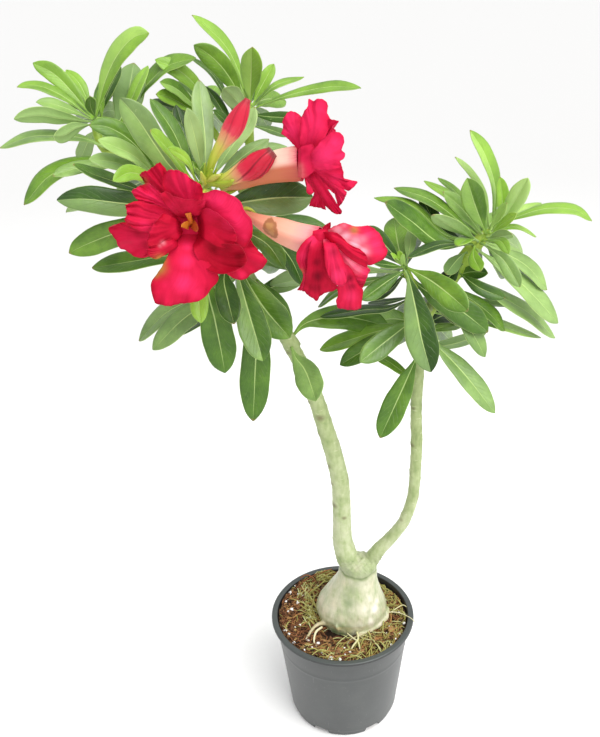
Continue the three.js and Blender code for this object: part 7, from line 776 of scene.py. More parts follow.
def bud_material():
    m = Mat("bud_skin")
    uvv, u, v = m.uv()
    ob = m.obj()
    dark = m.attr("dark")
    swirl = m.noise(m.scale(uvv, (14.0, 3.0, 1.0)), 1.0, 4, 0.6)
    t = m.math("ADD", m.math("ADD", v, m.attr("shift")), m.math("MULTIPLY", m.math("SUBTRACT", swirl, 0.5), 0.16))
    col = m.ramp(t, [(0.0, "#98B838"), (0.28, "#C4D852"), (0.44, "#DED86C"), (0.53, "#EEB684"), (0.61, "#EE9276"), (0.65, "#E2485C"), (0.75, "#D42040"), (1.0, "#BC1030")])
    fold = m.node("ShaderNodeMath", {0: m.math("ADD", m.math("MULTIPLY", u, 5.0), m.math("MULTIPLY", v, 1.6)), 1: 0.0}, operation="FRACT").outputs[0]
    line = m.step(m.math("ABSOLUTE", m.math("SUBTRACT", fold, 0.5)), 0.0, 0.12, 1.0, 0.0)
    # the bud's own darker red stripes along its twists and its dry brown tip, both scaled by the bud's share
    col = m.mix(m.math("MULTIPLY", line, m.math("MULTIPLY", dark, m.step(v, 0.25, 0.6, 0.15, 0.75))), col, hexc("#6E0A1C"))
    col = m.mix(m.math("MULTIPLY", m.step(v, 0.92, 0.985, 0.0, 0.8), dark), col, hexc("#6A3430"))
    h = m.math("ADD", swirl, m.math("MULTIPLY", line, -0.6))
    return m.set(color=col, rough=0.42, normal=m.bump(h, 0.5, 0.0008), spec=0.4)


def stem_material():
    m = Mat("plant_skin")
    ob = m.obj()
    green, scar, root = m.attr("green"), m.attr("scar"), m.attr("rooty")
    longn = m.noise(m.scale(ob, (1.0, 1.0, 0.22)), 260.0, 4, 0.6)
    mott = m.noise(ob, 75.0, 4, 0.6)
    fine = m.noise(ob, 900.0, 3, 0.6)
    ringn = m.noise(m.scale(ob, (0.25, 0.25, 1.0)), 480.0, 3, 0.55)
    c_pale = m.ramp(m.math("ADD", m.math("MULTIPLY", mott, 0.6), m.math("MULTIPLY", longn, 0.4)), [(0.30, "#7F9460"), (0.43, "#A3B07F"), (0.56, "#BCC29E"), (0.75, "#D2CFB8")])
    c_mid = m.ramp(m.math("ADD", m.math("MULTIPLY", mott, 0.5), m.math("MULTIPLY", longn, 0.5)), [(0.30, "#73884A"), (0.46, "#93A368"), (0.6, "#ABB880"), (0.75, "#C4CB9E")])
    c_shoot = m.ramp(mott, [(0.3, "#6E8C22"), (0.5, "#88A62C"), (0.7, "#A6BE44")])
    col = m.mix(m.step(green, 0.0, 0.30), c_pale, c_mid)
    col = m.mix(m.step(green, 0.45, 0.95), col, c_shoot)
    streak = m.math("MULTIPLY", m.step(longn, 0.56, 0.68), m.step(root, 0.0, 0.6, 0.25, 0.6))
    col = m.mix(streak, col, hexc("#8FA968"))
    lent = m.math("MULTIPLY", m.step(ringn, 0.64, 0.72), m.step(green, 0.1, 0.3, 0.25, 0.45))
    col = m.mix(lent, col, hexc("#E0DDBB"))
    col = m.mix(m.math("MULTIPLY", scar, 0.8), col, hexc("#6C6440"))
    ringm = m.attr("ring")
    base = m.ramp(m.math("ADD", m.math("MULTIPLY", mott, 0.55), m.math("MULTIPLY", longn, 0.45)), [(0.3, "#83966A"), (0.43, "#A9B088"), (0.55, "#BFBEA0"), (0.72, "#D8D2BC")])
    col = m.mix(m.math("MULTIPLY", m.step(root, 0.5, 1.0), 0.75), col, base)
    # darker green streaks, and painted shade at the front of the base's foot
    col = m.mix(m.attr("p_dark_and_shade"), col, hexc("#74885A"))
    col = m.mix(m.math("MULTIPLY", m.attr("p_cream"), m.step(longn, 0.35, 0.65, 0.7, 1.0)), col, hexc("#D2C6AC"))
    # painted highlight on the lit right side of the base; on the thick roots the same mix gives their own pale colour
    col = m.mix(m.math("MULTIPLY", m.attr("p_pale_and_highlight"), m.step(longn, 0.35, 0.6, 0.75, 1.0)), col, hexc("#F4E9DE"))
    col = m.mix(m.math("MULTIPLY", ringm, m.step(mott, 0.3, 0.7, 0.5, 0.95)), col, hexc("#647543"))
    col = m.mix(m.math("MULTIPLY", m.attr("bare"), 0.75), col, hexc("#B3A479"))
    h = m.math("ADD", m.math("MULTIPLY", longn, 0.5), m.math("MULTIPLY", ringn, 0.5))
    h = m.math("ADD", h, m.math("MULTIPLY", fine, 0.18))
    rough = m.math("ADD", m.math("MULTIPLY", longn, 0.25), m.step(root, 0.0, 1.0, 0.40, 0.20))
    return m.set(color=col, rough=rough, normal=m.bump(h, 0.45, 0.0009), spec=0.5)


def soil_material():
    m = Mat("coir_bed")
    ob = m.obj()
    a = m.noise(ob, 160.0, 5, 0.7)
    b = m.voronoi(ob, 420.0)
    col = m.ramp(m.math("ADD", m.math("MULTIPLY", a, 0.8), m.math("MULTIPLY", b, 0.3)), [(0.3, "#150C07"), (0.5, "#341C10"), (0.68, "#5A3019"), (0.85, "#7E4A26")])
    return m.set(color=col, rough=0.95, normal=m.bump(a, 1.0, 0.002), spec=0.2)


def tint_material(name, stops, rough, bump=0.4, scale=900.0):
    m = Mat(name)
    ob = m.obj()
    t, n = m.attr("tint"), m.noise(ob, scale, 4, 0.65)
    col = m.ramp(m.math("ADD", t, m.math("MULTIPLY", m.math("SUBTRACT", n, 0.5), 0.25)), stops)
    return m.set(color=col, rough=rough, normal=m.bump(n, bump, 0.0006), spec=0.3)


def pot_material():
    m = Mat("nursery_plastic")
    ob = m.obj()
    sep = m.node("ShaderNodeSeparateXYZ", {0: ob})
    z = sep.outputs[2]
    cloud = m.noise(ob, 28.0, 4, 0.6)
    peel = m.noise(ob, 1300.0, 3, 0.5)
    drag = m.noise(m.scale(ob, (1.0, 1.0, 14.0)), 60.0, 4, 0.6)
    scratch = m.step(m.noise(m.scale(ob, (5.0, 5.0, 0.5)), 150.0, 3, 0.7), 0.66, 0.72)
    dust = m.math("MULTIPLY", m.step(m.noise(ob, 240.0, 5, 0.7), 0.58, 0.74), m.step(z, 0.0, 0.03, 0.5, 0.12))
    col = m.ramp(m.math("ADD", m.math("MULTIPLY", cloud, 0.85), m.math("MULTIPLY", drag, 0.15)), [(0.3, "#343737"), (0.5, "#3D4040"), (0.7, "#474A49")])
    lip = m.attr("lip")
    col = m.mix(m.math("MULTIPLY", lip, 0.6), col, hexc("#3F4644"))
    # painted shadow on the outer face and underside of the rim flange
    col = m.mix(m.math("MULTIPLY", m.attr("under"), 0.8), col, hexc("#16191A"))
    col = m.mix(m.math("MULTIPLY", scratch, 0.22), col, hexc("#8B8D8C"))
    col = m.mix(m.math("MULTIPLY", dust, 0.55), col, hexc("#9A9286"))
    # painted shade on the inner wall of the pot
    ins = m.attr("inside")
    col = m.mix(m.math("MULTIPLY", ins, 0.92), col, hexc("#1A1A1E"))
    rough = m.math("ADD", 0.34, m.math("MULTIPLY", cloud, 0.22))
    h = m.math("ADD", m.math("MULTIPLY", peel, 0.3), m.math("MULTIPLY", drag, 0.08))
    return m.set(color=col, rough=rough, normal=m.bump(h, 0.22, 0.0004), spec=0.6, coat=0.18, coat_rough=0.22)


M_LEAF = leaf_material()
M_PETAL1 = petal_material("petal_main", "#AE0A26", "#820818", "#CA1236", "#F63068")
M_PETAL2 = petal_material("petal_upper", "#C80E3A", "#98082A", "#DE2450", "#F63670", throat_shade=False, palec="#F4A69C")
M_PETAL3 = petal_material("petal_lower", "#B80A2C", "#620418", "#D6183E", "#F83A70", throat_shade=False)
M_TUBE = tube_material()
M_BUD = bud_material()
M_STEM = stem_material()
M_SOIL = soil_material()
M_FIBRE = tint_material("coir_fibre", [(0.0, "#3A2012"), (0.2, "#66402A"), (0.4, "#8E5A38"), (0.55, "#AE7C4C"), (0.7, "#928846"), (0.85, "#AAA862"), (1.0, "#CCCE98")], 0.85)
M_CRUMB = tint_material("coir_pith", [(0.0, "#1E120B"), (0.3, "#4C3620"), (0.55, "#745136"), (0.75, "#946D48"), (1.0, "#AE8C58")], 0.95, 1.0, 700.0)
M_PERL = tint_material("perlite", [(0.0, "#CFC9BC"), (0.6, "#F2EFE8"), (1.0, "#FFFFFF")], 0.8, 0.8, 1400.0)
M_ROOT = tint_material("surface_root", [(0.0, "#B8AD6C"), (0.5, "#CBC792"), (1.0, "#E6E0C0")], 0.6, 0.6, 800.0)
M_POT = pot_material()
M_THROAT = tint_material("throat_yellow", [(0.0, "#9C3818"), (0.4, "#C4641C"), (1.0, "#D88C2A")], 0.5, 0.4, 500.0)
M_GREEN = tint_material("young_green", [(0.0, "#7A9C2C"), (0.5, "#A6BC3E"), (0.8, "#C6CE5E"), (1.0, "#DCD786")], 0.45, 0.3, 800.0)

# ---------------------------------------------------------------------------
# leaves
# ---------------------------------------------------------------------------
LEAF_S = np.array([0, 0.06, 0.12, 0.2, 0.3, 0.42, 0.55, 0.68, 0.78, 0.86, 0.92, 0.96, 0.985, 1.0])
LEAF_W = np.array([0.10, 0.11, 0.17, 0.34, 0.60, 0.83, 0.96, 1.0, 0.95, 0.80, 0.60, 0.38, 0.19, 0.04])


def leaf(B, row, small=False):
    node, br, W, nrm, root, P, tone, half, wave, curl, seed, pale = row
    rs = np.random.RandomState(int(seed * 1e6) % 2**31)
    NU, NV = (8, 18) if small else (12, 30)
    P = np.array(P, float)
    # extra stations towards the tip, where the outline turns
    q = np.concatenate([np.linspace(0, 0.8, NV - 7), [0.85, 0.89, 0.925, 0.955, 0.978, 0.992, 1.0]])
    C = sample(P, shares=q)
    half_w = np.interp(q, LEAF_S, LEAF_W) * W / 2
    half_w = np.maximum(half_w, 0.35)
    root = np.array(root, float)
    vq = q.copy()
    if np.linalg.norm(C[0] - root) > 2.0:
        k = 4
        pre = np.array([root + (C[0] - root) * (i / k) for i in range(k)])
        C = np.vstack([pre, C])
        half_w = np.r_[np.full(k, max(1.0, W * 0.052)), half_w]
        vq = np.r_[np.zeros(k), vq]
    n = len(C)
    T = unit(np.gradient(C, axis=0))
    N = np.array(nrm, float)
    side = unit(np.cross(T, N))
    up = unit(np.cross(side, T))
    u = np.linspace(-1, 1, NU + 1)
    au = np.abs(u)
    fold = 0.20 + 0.18 * rs.rand()
    roll = 0.10 + 0.16 * rs.rand() + curl
    f1, f2 = rs.rand(2) * 6.28
    amp = (0.5 + 0.7 * rs.rand()) * (1 + 3.0 * wave)
    hw = half_w[:, None]
    body = np.clip(vq / 0.25, 0, 1)[:, None]
    edge_out = 1 + 0.022 * np.sin(vq * 21 + f1)[:, None] * np.sign(u)[None, :] * body
    x = u[None, :] * hw * edge_out
    z = hw * (fold * au[None, :] - roll * (au[None, :] ** 3)) * body
    z = z + body * (W / 24.0) * amp * 0.55 * (au[None, :] ** 2.2) * np.sin(vq[:, None] * (9 + 5 * wave) + f1 + (u[None, :] > 0) * (1.9 + f2))
    th = 0.36 + 0.30 * (1 - au[None, :] ** 2) * np.ones_like(hw)
    groove = np.exp(-((au[None, :] / 0.10) ** 2))
    top_z = z + th / 2 - 0.22 * groove * body
    bot_z = z - th / 2 - (0.75 * groove * (1 - 0.8 * vq[:, None]) + 0.1 * groove)
    # the stalk is round
    st = 1 - np.clip((vq / 0.12), 0, 1)[:, None]
    rnd = np.sqrt(np.clip(1 - u[None, :] ** 2, 0, 1)) * hw
    top_z = top_z * (1 - st) + st * (rnd * 0.7)
    bot_z = bot_z * (1 - st) - st * (rnd * 0.9)
    tw = (rs.rand() - 0.5) * 0.25
    ang = (vq * tw)[:, None]
    sx = side[:, None, :] * np.cos(ang)[..., None] + up[:, None, :] * np.sin(ang)[..., None]
    ux = up[:, None, :] * np.cos(ang)[..., None] - side[:, None, :] * np.sin(ang)[..., None]
    top = C[:, None, :] + sx * x[..., None] + ux * top_z[..., None]
    bot = C[:, None, :] + sx * x[..., None] + ux * bot_z[..., None]
    V, F = grid_shell(top, bot)
    uvg = np.stack(np.meshgrid(vq, (u + 1) / 2, indexing="ij"), -1).reshape(-1, 2)[:, ::-1]
    B.add(V, F, np.vstack([uvg, uvg]), tone=tone, half=half, side=np.r_[np.ones(n * (NU + 1)), np.zeros(n * (NU + 1))], seed=rs.rand(), pale=pale)


for row in LEAVES:
    if row[0]:
        B = Build()
        leaf(B, row)
        piece(B.make("blade_" + row[0], [M_LEAF]), "leaf", row[0])

SHOOTS = [s for s in STEMS if s[0] not in ("LS", "RS")]
for sid, node, _, _ in SHOOTS:
    B = Build()
    for row in LEAVES:
        if not row[0] and row[1] == sid:
            leaf(B, row)
    # tiny unopened leaves around the growing tip
    C = np.array([s[2] for s in STEMS if s[0] == sid][0], float)
    tip, back = C[-1], C[-2]
    axis = unit(tip - back)
    if sid not in ("LT", "RT"):
        side0 = unit(np.cross(axis, [0.3, 1, 0.1]))
        for k in range(7):
            a = k * 2.4
            d = side0 * math.cos(a) + np.cross(axis, side0) * math.sin(a)
            L = 16 - 1.3 * k
            pts = [tip - axis * 2, tip + axis * L * 0.45 + d * (3.0 - 0.25 * k), tip + axis * L * 0.85 + d * (5.0 - 0.45 * k)]
            leaf(B, ["", sid, 5.5 - 0.35 * k, list(-d), list(tip - axis * 2), pts, 0.9, 0.0, 0.0, 0.0, 0.11 + 0.07 * k, 0.0], small=True)
    piece(B.make("leaves_of_" + node, [M_LEAF]), "leaf")

# ---------------------------------------------------------------------------
# swollen base, stems and shoots as one grown skin
# ---------------------------------------------------------------------------
rs = np.random.RandomState(5)
B = Build()
ZC = np.array([c[0] for c in CAUDEX], float)
zz = np.linspace(80, 171.5, 58)
rows_ = [np.interp(zz, ZC, [c[k] for c in CAUDEX]) for k in range(1, 5)]
ang = np.linspace(0, 2 * np.pi, 72, endpoint=False)
ring = []
for i, z in enumerate(zz):
    cx, cy, rx, ry = [r[i] for r in rows_]
    flare = max(0.0, (112 - z) / 30) * 0.05
    k = 1 + (0.012 + flare) * np.sin(3 * ang + 0.6) + 0.010 * np.sin(5 * ang + 1.3 + z * 0.05) + 0.006 * np.sin(9 * ang + z * 0.11)
    # graft ring
    k = k * (1 - 0.035 * math.exp(-(((z - RINGZ) / 1.6) ** 2)) + 0.022 * math.exp(-(((z - 157) / 4.0) ** 2)))
    ring.append(np.stack([cx + rx * k * np.cos(ang), cy + ry * k * np.sin(ang), np.full_like(ang, z) + 1.6 * np.sin(ang * 2 + 0.8) * math.exp(-(((z - 153) / 8) ** 2))], 1))
ns = len(ang)
F = []
for i in range(len(zz) - 1):
    for j in range(ns):
        k = (j + 1) % ns
        F.append((i * ns + j, i * ns + k, (i + 1) * ns + k, (i + 1) * ns + j))
F.append(tuple(range(ns))[::-1])
F.append(tuple((len(zz) - 1) * ns + j for j in range(ns)))
B.add(np.vstack(ring), F)
for sid, node, P, r in STEMS:
    P = np.array(P, float)
    if sid == "LT":
        P = np.vstack([P[0] * 2 - P[1], P]); r = [r[0]] + list(r)
    if sid == "RT":
        P = np.vstack([P[0] * 2 - P[1], P]); r = [r[0]] + list(r)
    n = max(8, int(np.linalg.norm(np.diff(P, axis=0), axis=1).sum() / 2.2))
    V, F, UV = tube(P, r, 20, n)
    B.add(V, F)
# lumps and a cut stub in the fork, and the pruned end on the right
for c, rad in [((12, -6.5, 163), 6.6), ((20, -6, 162.5), 6.2), ((15.5, -3.5, 167.5), 4.6), ((18.2, -5.5, 171.0), 2.4), ((13, 3, 166), 5.0)]:
    V, F, UV = tube([np.array(c) - [0, 0, rad * 0.8], np.array(c) - [0, 0, rad * 0.3], np.array(c) + [0, 0, rad * 0.3], np.array(c) + [0, 0, rad * 0.8]], [rad * 0.45, rad * 0.95, rad * 0.95, rad * 0.45], 16, 8)
    B.add(V, F)
for P, rad in [r[:2] for r in ROOTS if r[2] == "thick"]:
    V, F, UV = tube(P, rad, 12, 24)
    B.add(V, F)
raw = B.make("plant_skin_raw", [M_STEM])
mod = raw.modifiers.new("skin", "REMESH")
mod.mode = "VOXEL"
mod.voxel_size = 0.00085
sm = raw.modifiers.new("soft", "SMOOTH")
sm.factor = 0.5
sm.iterations = 5
dg = bpy.context.evaluated_depsgraph_get()
me = bpy.data.meshes.new_from_object(raw.evaluated_get(dg))
bpy.data.objects.remove(raw)
co = np.zeros(len(me.vertices) * 3, np.float32)
me.vertices.foreach_get("co", co)
co = co.reshape(-1, 3).astype(float) / MM
no = np.zeros(len(me.vertices) * 3, np.float32)
me.vertices.foreach_get("normal", no)
no = no.reshape(-1, 3)
# nearest centre line point gives how green the skin is
LINE, GREEN, ARC = [], [], []
G0 = {"LS": (0.06, 0.30), "LT": (0.30, 0.62), "BA": (0.62, 0.95), "BB": (0.7, 1.0), "BC": (0.62, 0.95), "BD": (0.7, 0.95),
      "RS": (0.06, 0.34), "RT": (0.34, 0.55), "R1": (0.8, 1.0), "R2": (0.9, 1.0)}
for sid, node, P, r in STEMS:
    Q = sample(P, 80)
    g0, g1 = G0[sid]
    LINE.append(Q)
    GREEN.append(np.linspace(g0, g1, 80))
LINE = np.vstack(LINE)
GREEN = np.concatenate(GREEN)
green = np.zeros(len(co))
for a in range(0, len(co), 4000):
    d = ((co[a : a + 4000, None, :] - LINE[None]) ** 2).sum(-1)
    green[a : a + 4000] = GREEN[d.argmin(1)]
low = co[:, 2] < 172
green[low] = green[low] * np.clip((co[low, 2] - 150) / 22, 0, 1)
rooty = np.clip((172 - co[:, 2]) / 14, 0, 1)
scar = np.zeros(len(co))
push = np.zeros(len(co))
for (x, y, z, rad) in SCARS:
    d = np.sqrt(((co - [x, y, z]) ** 2 * [1, 1, 1.7]).sum(1))
    scar = np.maximum(scar, np.clip(1.25 - d / rad, 0, 1))
    push += 0.5 * np.exp(-((d / (rad * 1.5)) ** 2)) - 0.45 * np.exp(-((d / (rad * 0.6)) ** 2))
# faint rings between old leaf positions, fine wrinkles on the base
az = np.arctan2(co[:, 1] - 1, co[:, 0] - 9)
wr = np.where(co[:, 2] < 150, 0.22 * np.sin(az * 17 + np.sin(co[:, 2] * 0.09) * 2) * np.clip((150 - co[:, 2]) / 30, 0, 1), 0)
stemz = (co[:, 2] > 175) & (green < 0.6)
ringy = np.where(stemz, 0.16 * np.maximum(0, np.sin(co[:, 2] * 0.62 + 1.3 * np.sin(co[:, 2] * 0.11))) ** 6, 0)
graft = -0.55 * np.exp(-(((co[:, 2] - (RINGZ + 1.6 * np.sin(2 * az + 0.8))) / 1.0) ** 2)) * (co[:, 2] < RINGZ + 8)
nz = 0.22 * np.sin(co[:, 0] * 0.9 + 2) * np.sin(co[:, 1] * 1.1 + 1) * np.sin(co[:, 2] * 0.7)
bark = np.clip((co[:, 2] - RINGZ) / 4, 0, 1) * np.clip((RINGZ + 22 - co[:, 2]) / 8, 0, 1)
nz = nz + bark * (0.45 * np.sin(co[:, 0] * 1.3 + 1.7 * np.sin(co[:, 2] * 0.5)) * np.sin(co[:, 2] * 1.1 + co[:, 1] * 0.6) + 0.25 * np.sin(co[:, 0] * 2.9 + co[:, 2] * 2.3))
co = co + no * (push + wr + ringy + graft + nz * np.clip((co[:, 2] - 90) / 20, 0, 1))[:, None]
ringd = (co[:, 2] - (RINGZ + 1.2 * np.sin(2 * az + 0.8) + 0.6 * np.sin(7 * az)))
ring_v = np.exp(-((ringd / 1.7) ** 2)) * (co[:, 2] < RINGZ + 8)
ring_v = np.maximum(ring_v, 0.38 * np.clip((ringd + 1) / 3, 0, 1) * np.clip((RINGZ + 20 - co[:, 2]) / 16, 0, 1))
# kind 0 gives darker green and a painted shade at the foot, kind 1 cream, kind 2 a painted highlight on the base and
# the thick roots' own pale colour
paint = np.zeros((3, len(co)))
for x, y, z, rad, kind, amount in PAINT + [list(q_[k_]) + [2.6, 2, 0.8] for q_, _, kd in ROOTS if kd == "thick" for k_ in range(1, len(q_))]:
    paint[kind] = np.maximum(paint[kind], amount * np.exp(-(((co - [x, y, z]) ** 2).sum(1)) / rad**2))
edge_d = np.hypot((co[:, 0] - 9.3) / 31.5, (co[:, 1] - 2) / 26.3)
bare = np.clip((edge_d - 1.02) / 0.1, 0, 1) * (co[:, 2] < 112)
me.vertices.foreach_set("co", (co * MM).astype(np.float32).ravel())
for k, val in (("green", green), ("scar", np.clip(scar, 0, 1)), ("rooty", rooty), ("ring", ring_v), ("bare", bare), ("p_dark_and_shade", paint[0]), ("p_cream", paint[1]), ("p_pale_and_highlight", paint[2])):
    at = me.attributes.new(k, "FLOAT", "POINT")
    at.data.foreach_set("value", val.astype(np.float32))
me.polygons.foreach_set("use_smooth", np.full(len(me.polygons), True))
me.materials.clear()
me.materials.append(M_STEM)
me.name = "plant_skin"
me.update()
skin = bpy.data.objects.new("plant_skin", me)
bpy.context.collection.objects.link(skin)
piece(skin, "stem", "caudex", *[s[1] for s in STEMS])

# ---------------------------------------------------------------------------
# pot
# ---------------------------------------------------------------------------
H, RR, RB = 107.0, 65.0, 47.6
wall = lambda z: 50 + (61.0 - 50) * (z - 7) / (H - 9)
outer = [(0, 0.9), (20, 0.9), (38, 0.9), (42, 0.9), (43.5, 0.6), (44.5, 0.05), (RB - 1, 0.0), (RB - 0.3, 0.3), (RB, 0.9), (RB + 0.25, 2), (RB + 0.6, 4), (RB + 0.9, 6.0), (RB + 1.2, 6.5), (wall(7) - 0.3, 7.0), (wall(7.4), 7.4), (wall(8), 8.0)]
outer += [(wall(z), z) for z in np.linspace(12, 77, 23)]
outer += [(wall(78.5), 78.5), (wall(79.3) + 0.16, 79.3), (wall(80) + 0.2, 80), (wall(80.7) + 0.16, 80.7), (wall(81.5), 81.5)]
outer += [(wall(z), z) for z in np.linspace(84, 104.0, 8)]
outer += [(wall(104.8), 104.7), (wall(105) + 0.3, 105.1), (wall(105) + 1.0, 105.3), (RR - 1.6, 105.3), (RR - 1.35, 105.1), (RR - 1.3, 104.6), (RR - 1.25, 104.15), (RR - 1.0, 104.0), (RR - 0.35, 104.0), (RR - 0.08, 104.15), (RR, 104.6), (RR, 105.4), (RR - 0.08, 106.0), (RR - 0.35, 106.55), (RR - 1.0, 106.95), (RR - 2.0, 107)]
inner = [(wall(107) - 0.4, 107.0), (wall(107) - 1.1, 106.8), (wall(106.3) - 1.45, 106.2), (wall(105) - 1.5, 105)]
inner += [(wall(z) - 1.5, z) for z in np.linspace(100, 10, 24)]
inner += [(RB - 0.8, 6.4), (RB - 1.2, 3.2), (RB - 2.0, 2.5), (RB - 3.4, 2.2), (30, 2.2), (0, 2.2)]
prof = np.array(outer + inner, float)
lipa = np.array([1.0 if (p[1] > 103.9 and p[0] > 61.2) or k >= len(outer) - 1 and p[1] > 106 else 0.0 for k, p in enumerate(prof)])
# the inner wall, which gets a painted shade
inner_shade_mask = np.array([1.0 if k > len(outer) + 1 else 0.0 for k in range(len(prof))])
# the outer face and underside of the rim flange, which get a painted shadow
rim_shadow_mask = np.array([1.0 if k < len(outer) and ((103.0 < p[1] < 106.3 and p[0] > RR - 1.5) or 102.9 < p[1] < 105.4) else 0.0 for k, p in enumerate(prof)])
SEG = 168
th = np.linspace(0, 2 * np.pi, SEG, endpoint=False)
V = []
for r, z in prof[1:-1]:
    V.append(np.stack([r * np.cos(th), r * np.sin(th), np.full(SEG, z)], 1))
V = np.array(V)
# drain notches: the foot edge is lifted at six places
for k in range(6):
    c = math.radians(-119 + 60 * k)
    d = np.abs((th - c + np.pi) % (2 * np.pi) - np.pi)
    w = np.clip((math.radians(9.0) - d) / math.radians(1.6), 0, 1)
    w = w * w * (3 - 2 * w)
    r_ = np.hypot(V[..., 0], V[..., 1])
    zone = np.clip((r_ - 41.5) / 1.8, 0, 1) * np.clip((6.2 - V[..., 2]) / 6.2, 0, 1)
    V[..., 2] += zone * w[None, :] * 4.0
# the thin wall is never quite round
wob = 1 + 0.0022 * np.sin(2 * th + 0.7) + 0.0012 * np.sin(3 * th + 2.1)
V[..., 0] *= wob[None, :]
V[..., 1] *= wob[None, :]
npf = len(V)
VV = np.vstack([[0, 0, prof[0][1]], V.reshape(-1, 3), [0, 0, prof[-1][1]]])
F = []
for j in range(SEG):
    k = (j + 1) % SEG
    F.append((0, 1 + k, 1 + j))
    for i in range(npf - 1):
        F.append((1 + i * SEG + j, 1 + i * SEG + k, 1 + (i + 1) * SEG + k, 1 + (i + 1) * SEG + j))
    F.append((1 + (npf - 1) * SEG + j, 1 + (npf - 1) * SEG + k, len(VV) - 1))
B = Build()
B.add(VV, F, lip=np.r_[lipa[0], np.repeat(lipa[1:-1], SEG), lipa[-1]], inside=np.r_[inner_shade_mask[0], np.repeat(inner_shade_mask[1:-1], SEG), inner_shade_mask[-1]], under=np.r_[rim_shadow_mask[0], np.repeat(rim_shadow_mask[1:-1], SEG), rim_shadow_mask[-1]])
piece(B.make("pot_shell", [M_POT]), "pot", "nursery_pot")

# ---------------------------------------------------------------------------
# potting mix: the CAD bed, then crumbs, fibres, perlite and surface roots
# ---------------------------------------------------------------------------
bed = frame["nodes"]["potting_mix"] if isinstance(frame["nodes"], dict) else None
bed = bed if isinstance(bed, bpy.types.Object) else bpy.data.objects.get("potting_mix")
bed.data.materials.clear()
bed.data.materials.append(M_SOIL)


HOLE = [-5.4, -23.4]


def in_bed(x, y, pad=0.0):
    r = math.hypot(x, y)
    e = ((x - 9.3) / (31 + pad)) ** 2 + ((y - 2) / (25.5 + pad)) ** 2
    hole = ((x - HOLE[0]) / 13.5) ** 2 + ((y - HOLE[1]) / 6.0) ** 2 < 1
    return r < 58.0 - pad and e > 1 and not hole


def bed_point(pad=0.0):
    while True:
        x, y = RNG.uniform(-58, 58, 2)
        if in_bed(x, y, pad):
            return x, y


ICO = None


def blob(c, r, squash=0.7, rough=0.28):
    """A small irregular grain."""
    global ICO
    if ICO is None:
        t = (1 + 5**0.5) / 2
        v = unit(np.array([(-1, t, 0), (1, t, 0), (-1, -t, 0), (1, -t, 0), (0, -1, t), (0, 1, t), (0, -1, -t), (0, 1, -t), (t, 0, -1), (t, 0, 1), (-t, 0, -1), (-t, 0, 1)], float))
        f = [(0, 11, 5), (0, 5, 1), (0, 1, 7), (0, 7, 10), (0, 10, 11), (1, 5, 9), (5, 11, 4), (11, 10, 2), (10, 7, 6), (7, 1, 8), (3, 9, 4), (3, 4, 2), (3, 2, 6), (3, 6, 8), (3, 8, 9), (4, 9, 5), (2, 4, 11), (6, 2, 10), (8, 6, 7), (9, 8, 1)]
        vs, fs, mid = [tuple(x) for x in v], [], {}
        for a, b, c_ in f:
            ids = []
            for p, q in ((a, b), (b, c_), (c_, a)):
                key = (min(p, q), max(p, q))
                if key not in mid:
                    mid[key] = len(vs)
                    vs.append(tuple(unit(np.array(vs[p]) + np.array(vs[q]))))
                ids.append(mid[key])
            fs += [(a, ids[0], ids[2]), (b, ids[1], ids[0]), (c_, ids[2], ids[1]), (ids[0], ids[1], ids[2])]
        ICO = (np.array(vs), fs)
    v, f = ICO
    k = 1 + RNG.uniform(-rough, rough, (len(v), 1))
    s = np.array([1, RNG.uniform(0.6, 1), squash])
    a = RNG.uniform(0, 6.28)
    R = np.array([[math.cos(a), -math.sin(a), 0], [math.sin(a), math.cos(a), 0], [0, 0, 1]])
    return (v * k * s * r) @ R.T + np.array(c), f


MOUND = [(RNG.uniform(0.08, 0.5), RNG.uniform(0, 6.28), RNG.uniform(0, 6.28)) for _ in range(14)]


def bed_height(x, y):
    r = math.hypot(x, y)
    near = math.hypot((x - 9.3) / 31, (y - 2) / 25.5)
    h = sum(0.30 * math.sin(f * (x * math.cos(a) + y * math.sin(a)) + p) for f, a, p in MOUND)
    a = math.atan2(y, x)
    west = 0.5 - 0.5 * math.tanh((x + 12) / 14)
    back = math.exp(-(((a - 2.0) / 0.5) ** 2)) * min(1.0, r / 45)
    bank = max(0.0, (r - 30) / 28) ** 1.6 * max(west, back)
    low = math.exp(-(((a - 0.85) / 0.55) ** 2)) * max(0.0, (r - 40) / 18)
    return 100.9 + 1.5 * max(0.0, 1.5 - near) + 1.2 * west * min(1.0, r / 52) + 1.4 * back + 2.9 * bank - 1.6 * low + h


def olive_at(x, y):
    near = math.hypot((x - 9.3) / 31, (y - 2) / 25.5)
    w = 0.10 + 0.55 * min(1.0, max(0.0, (x + 12) / 45)) + 0.5 * math.exp(-(((near - 1.15) / 0.22) ** 2)) + 0.25 * (y < -34)
    return min(0.92, w)


# a rough mat over the flat bed, up to the wall and round the base
GRID = RNG.rand(96, 96)


def grain(x, y, size):
    """Smooth lattice noise."""
    u_, v_ = x / size + 40.3, y / size + 40.7
    i_, j_ = np.floor(u_).astype(int), np.floor(v_).astype(int)
    fx, fy = u_ - i_, v_ - j_
    fx, fy = fx * fx * (3 - 2 * fx), fy * fy * (3 - 2 * fy)
    g_ = lambda a_, b_: GRID[a_ % 96, b_ % 96]
    return (g_(i_, j_) * (1 - fx) + g_(i_ + 1, j_) * fx) * (1 - fy) + (g_(i_, j_ + 1) * (1 - fx) + g_(i_ + 1, j_ + 1) * fx) * fy


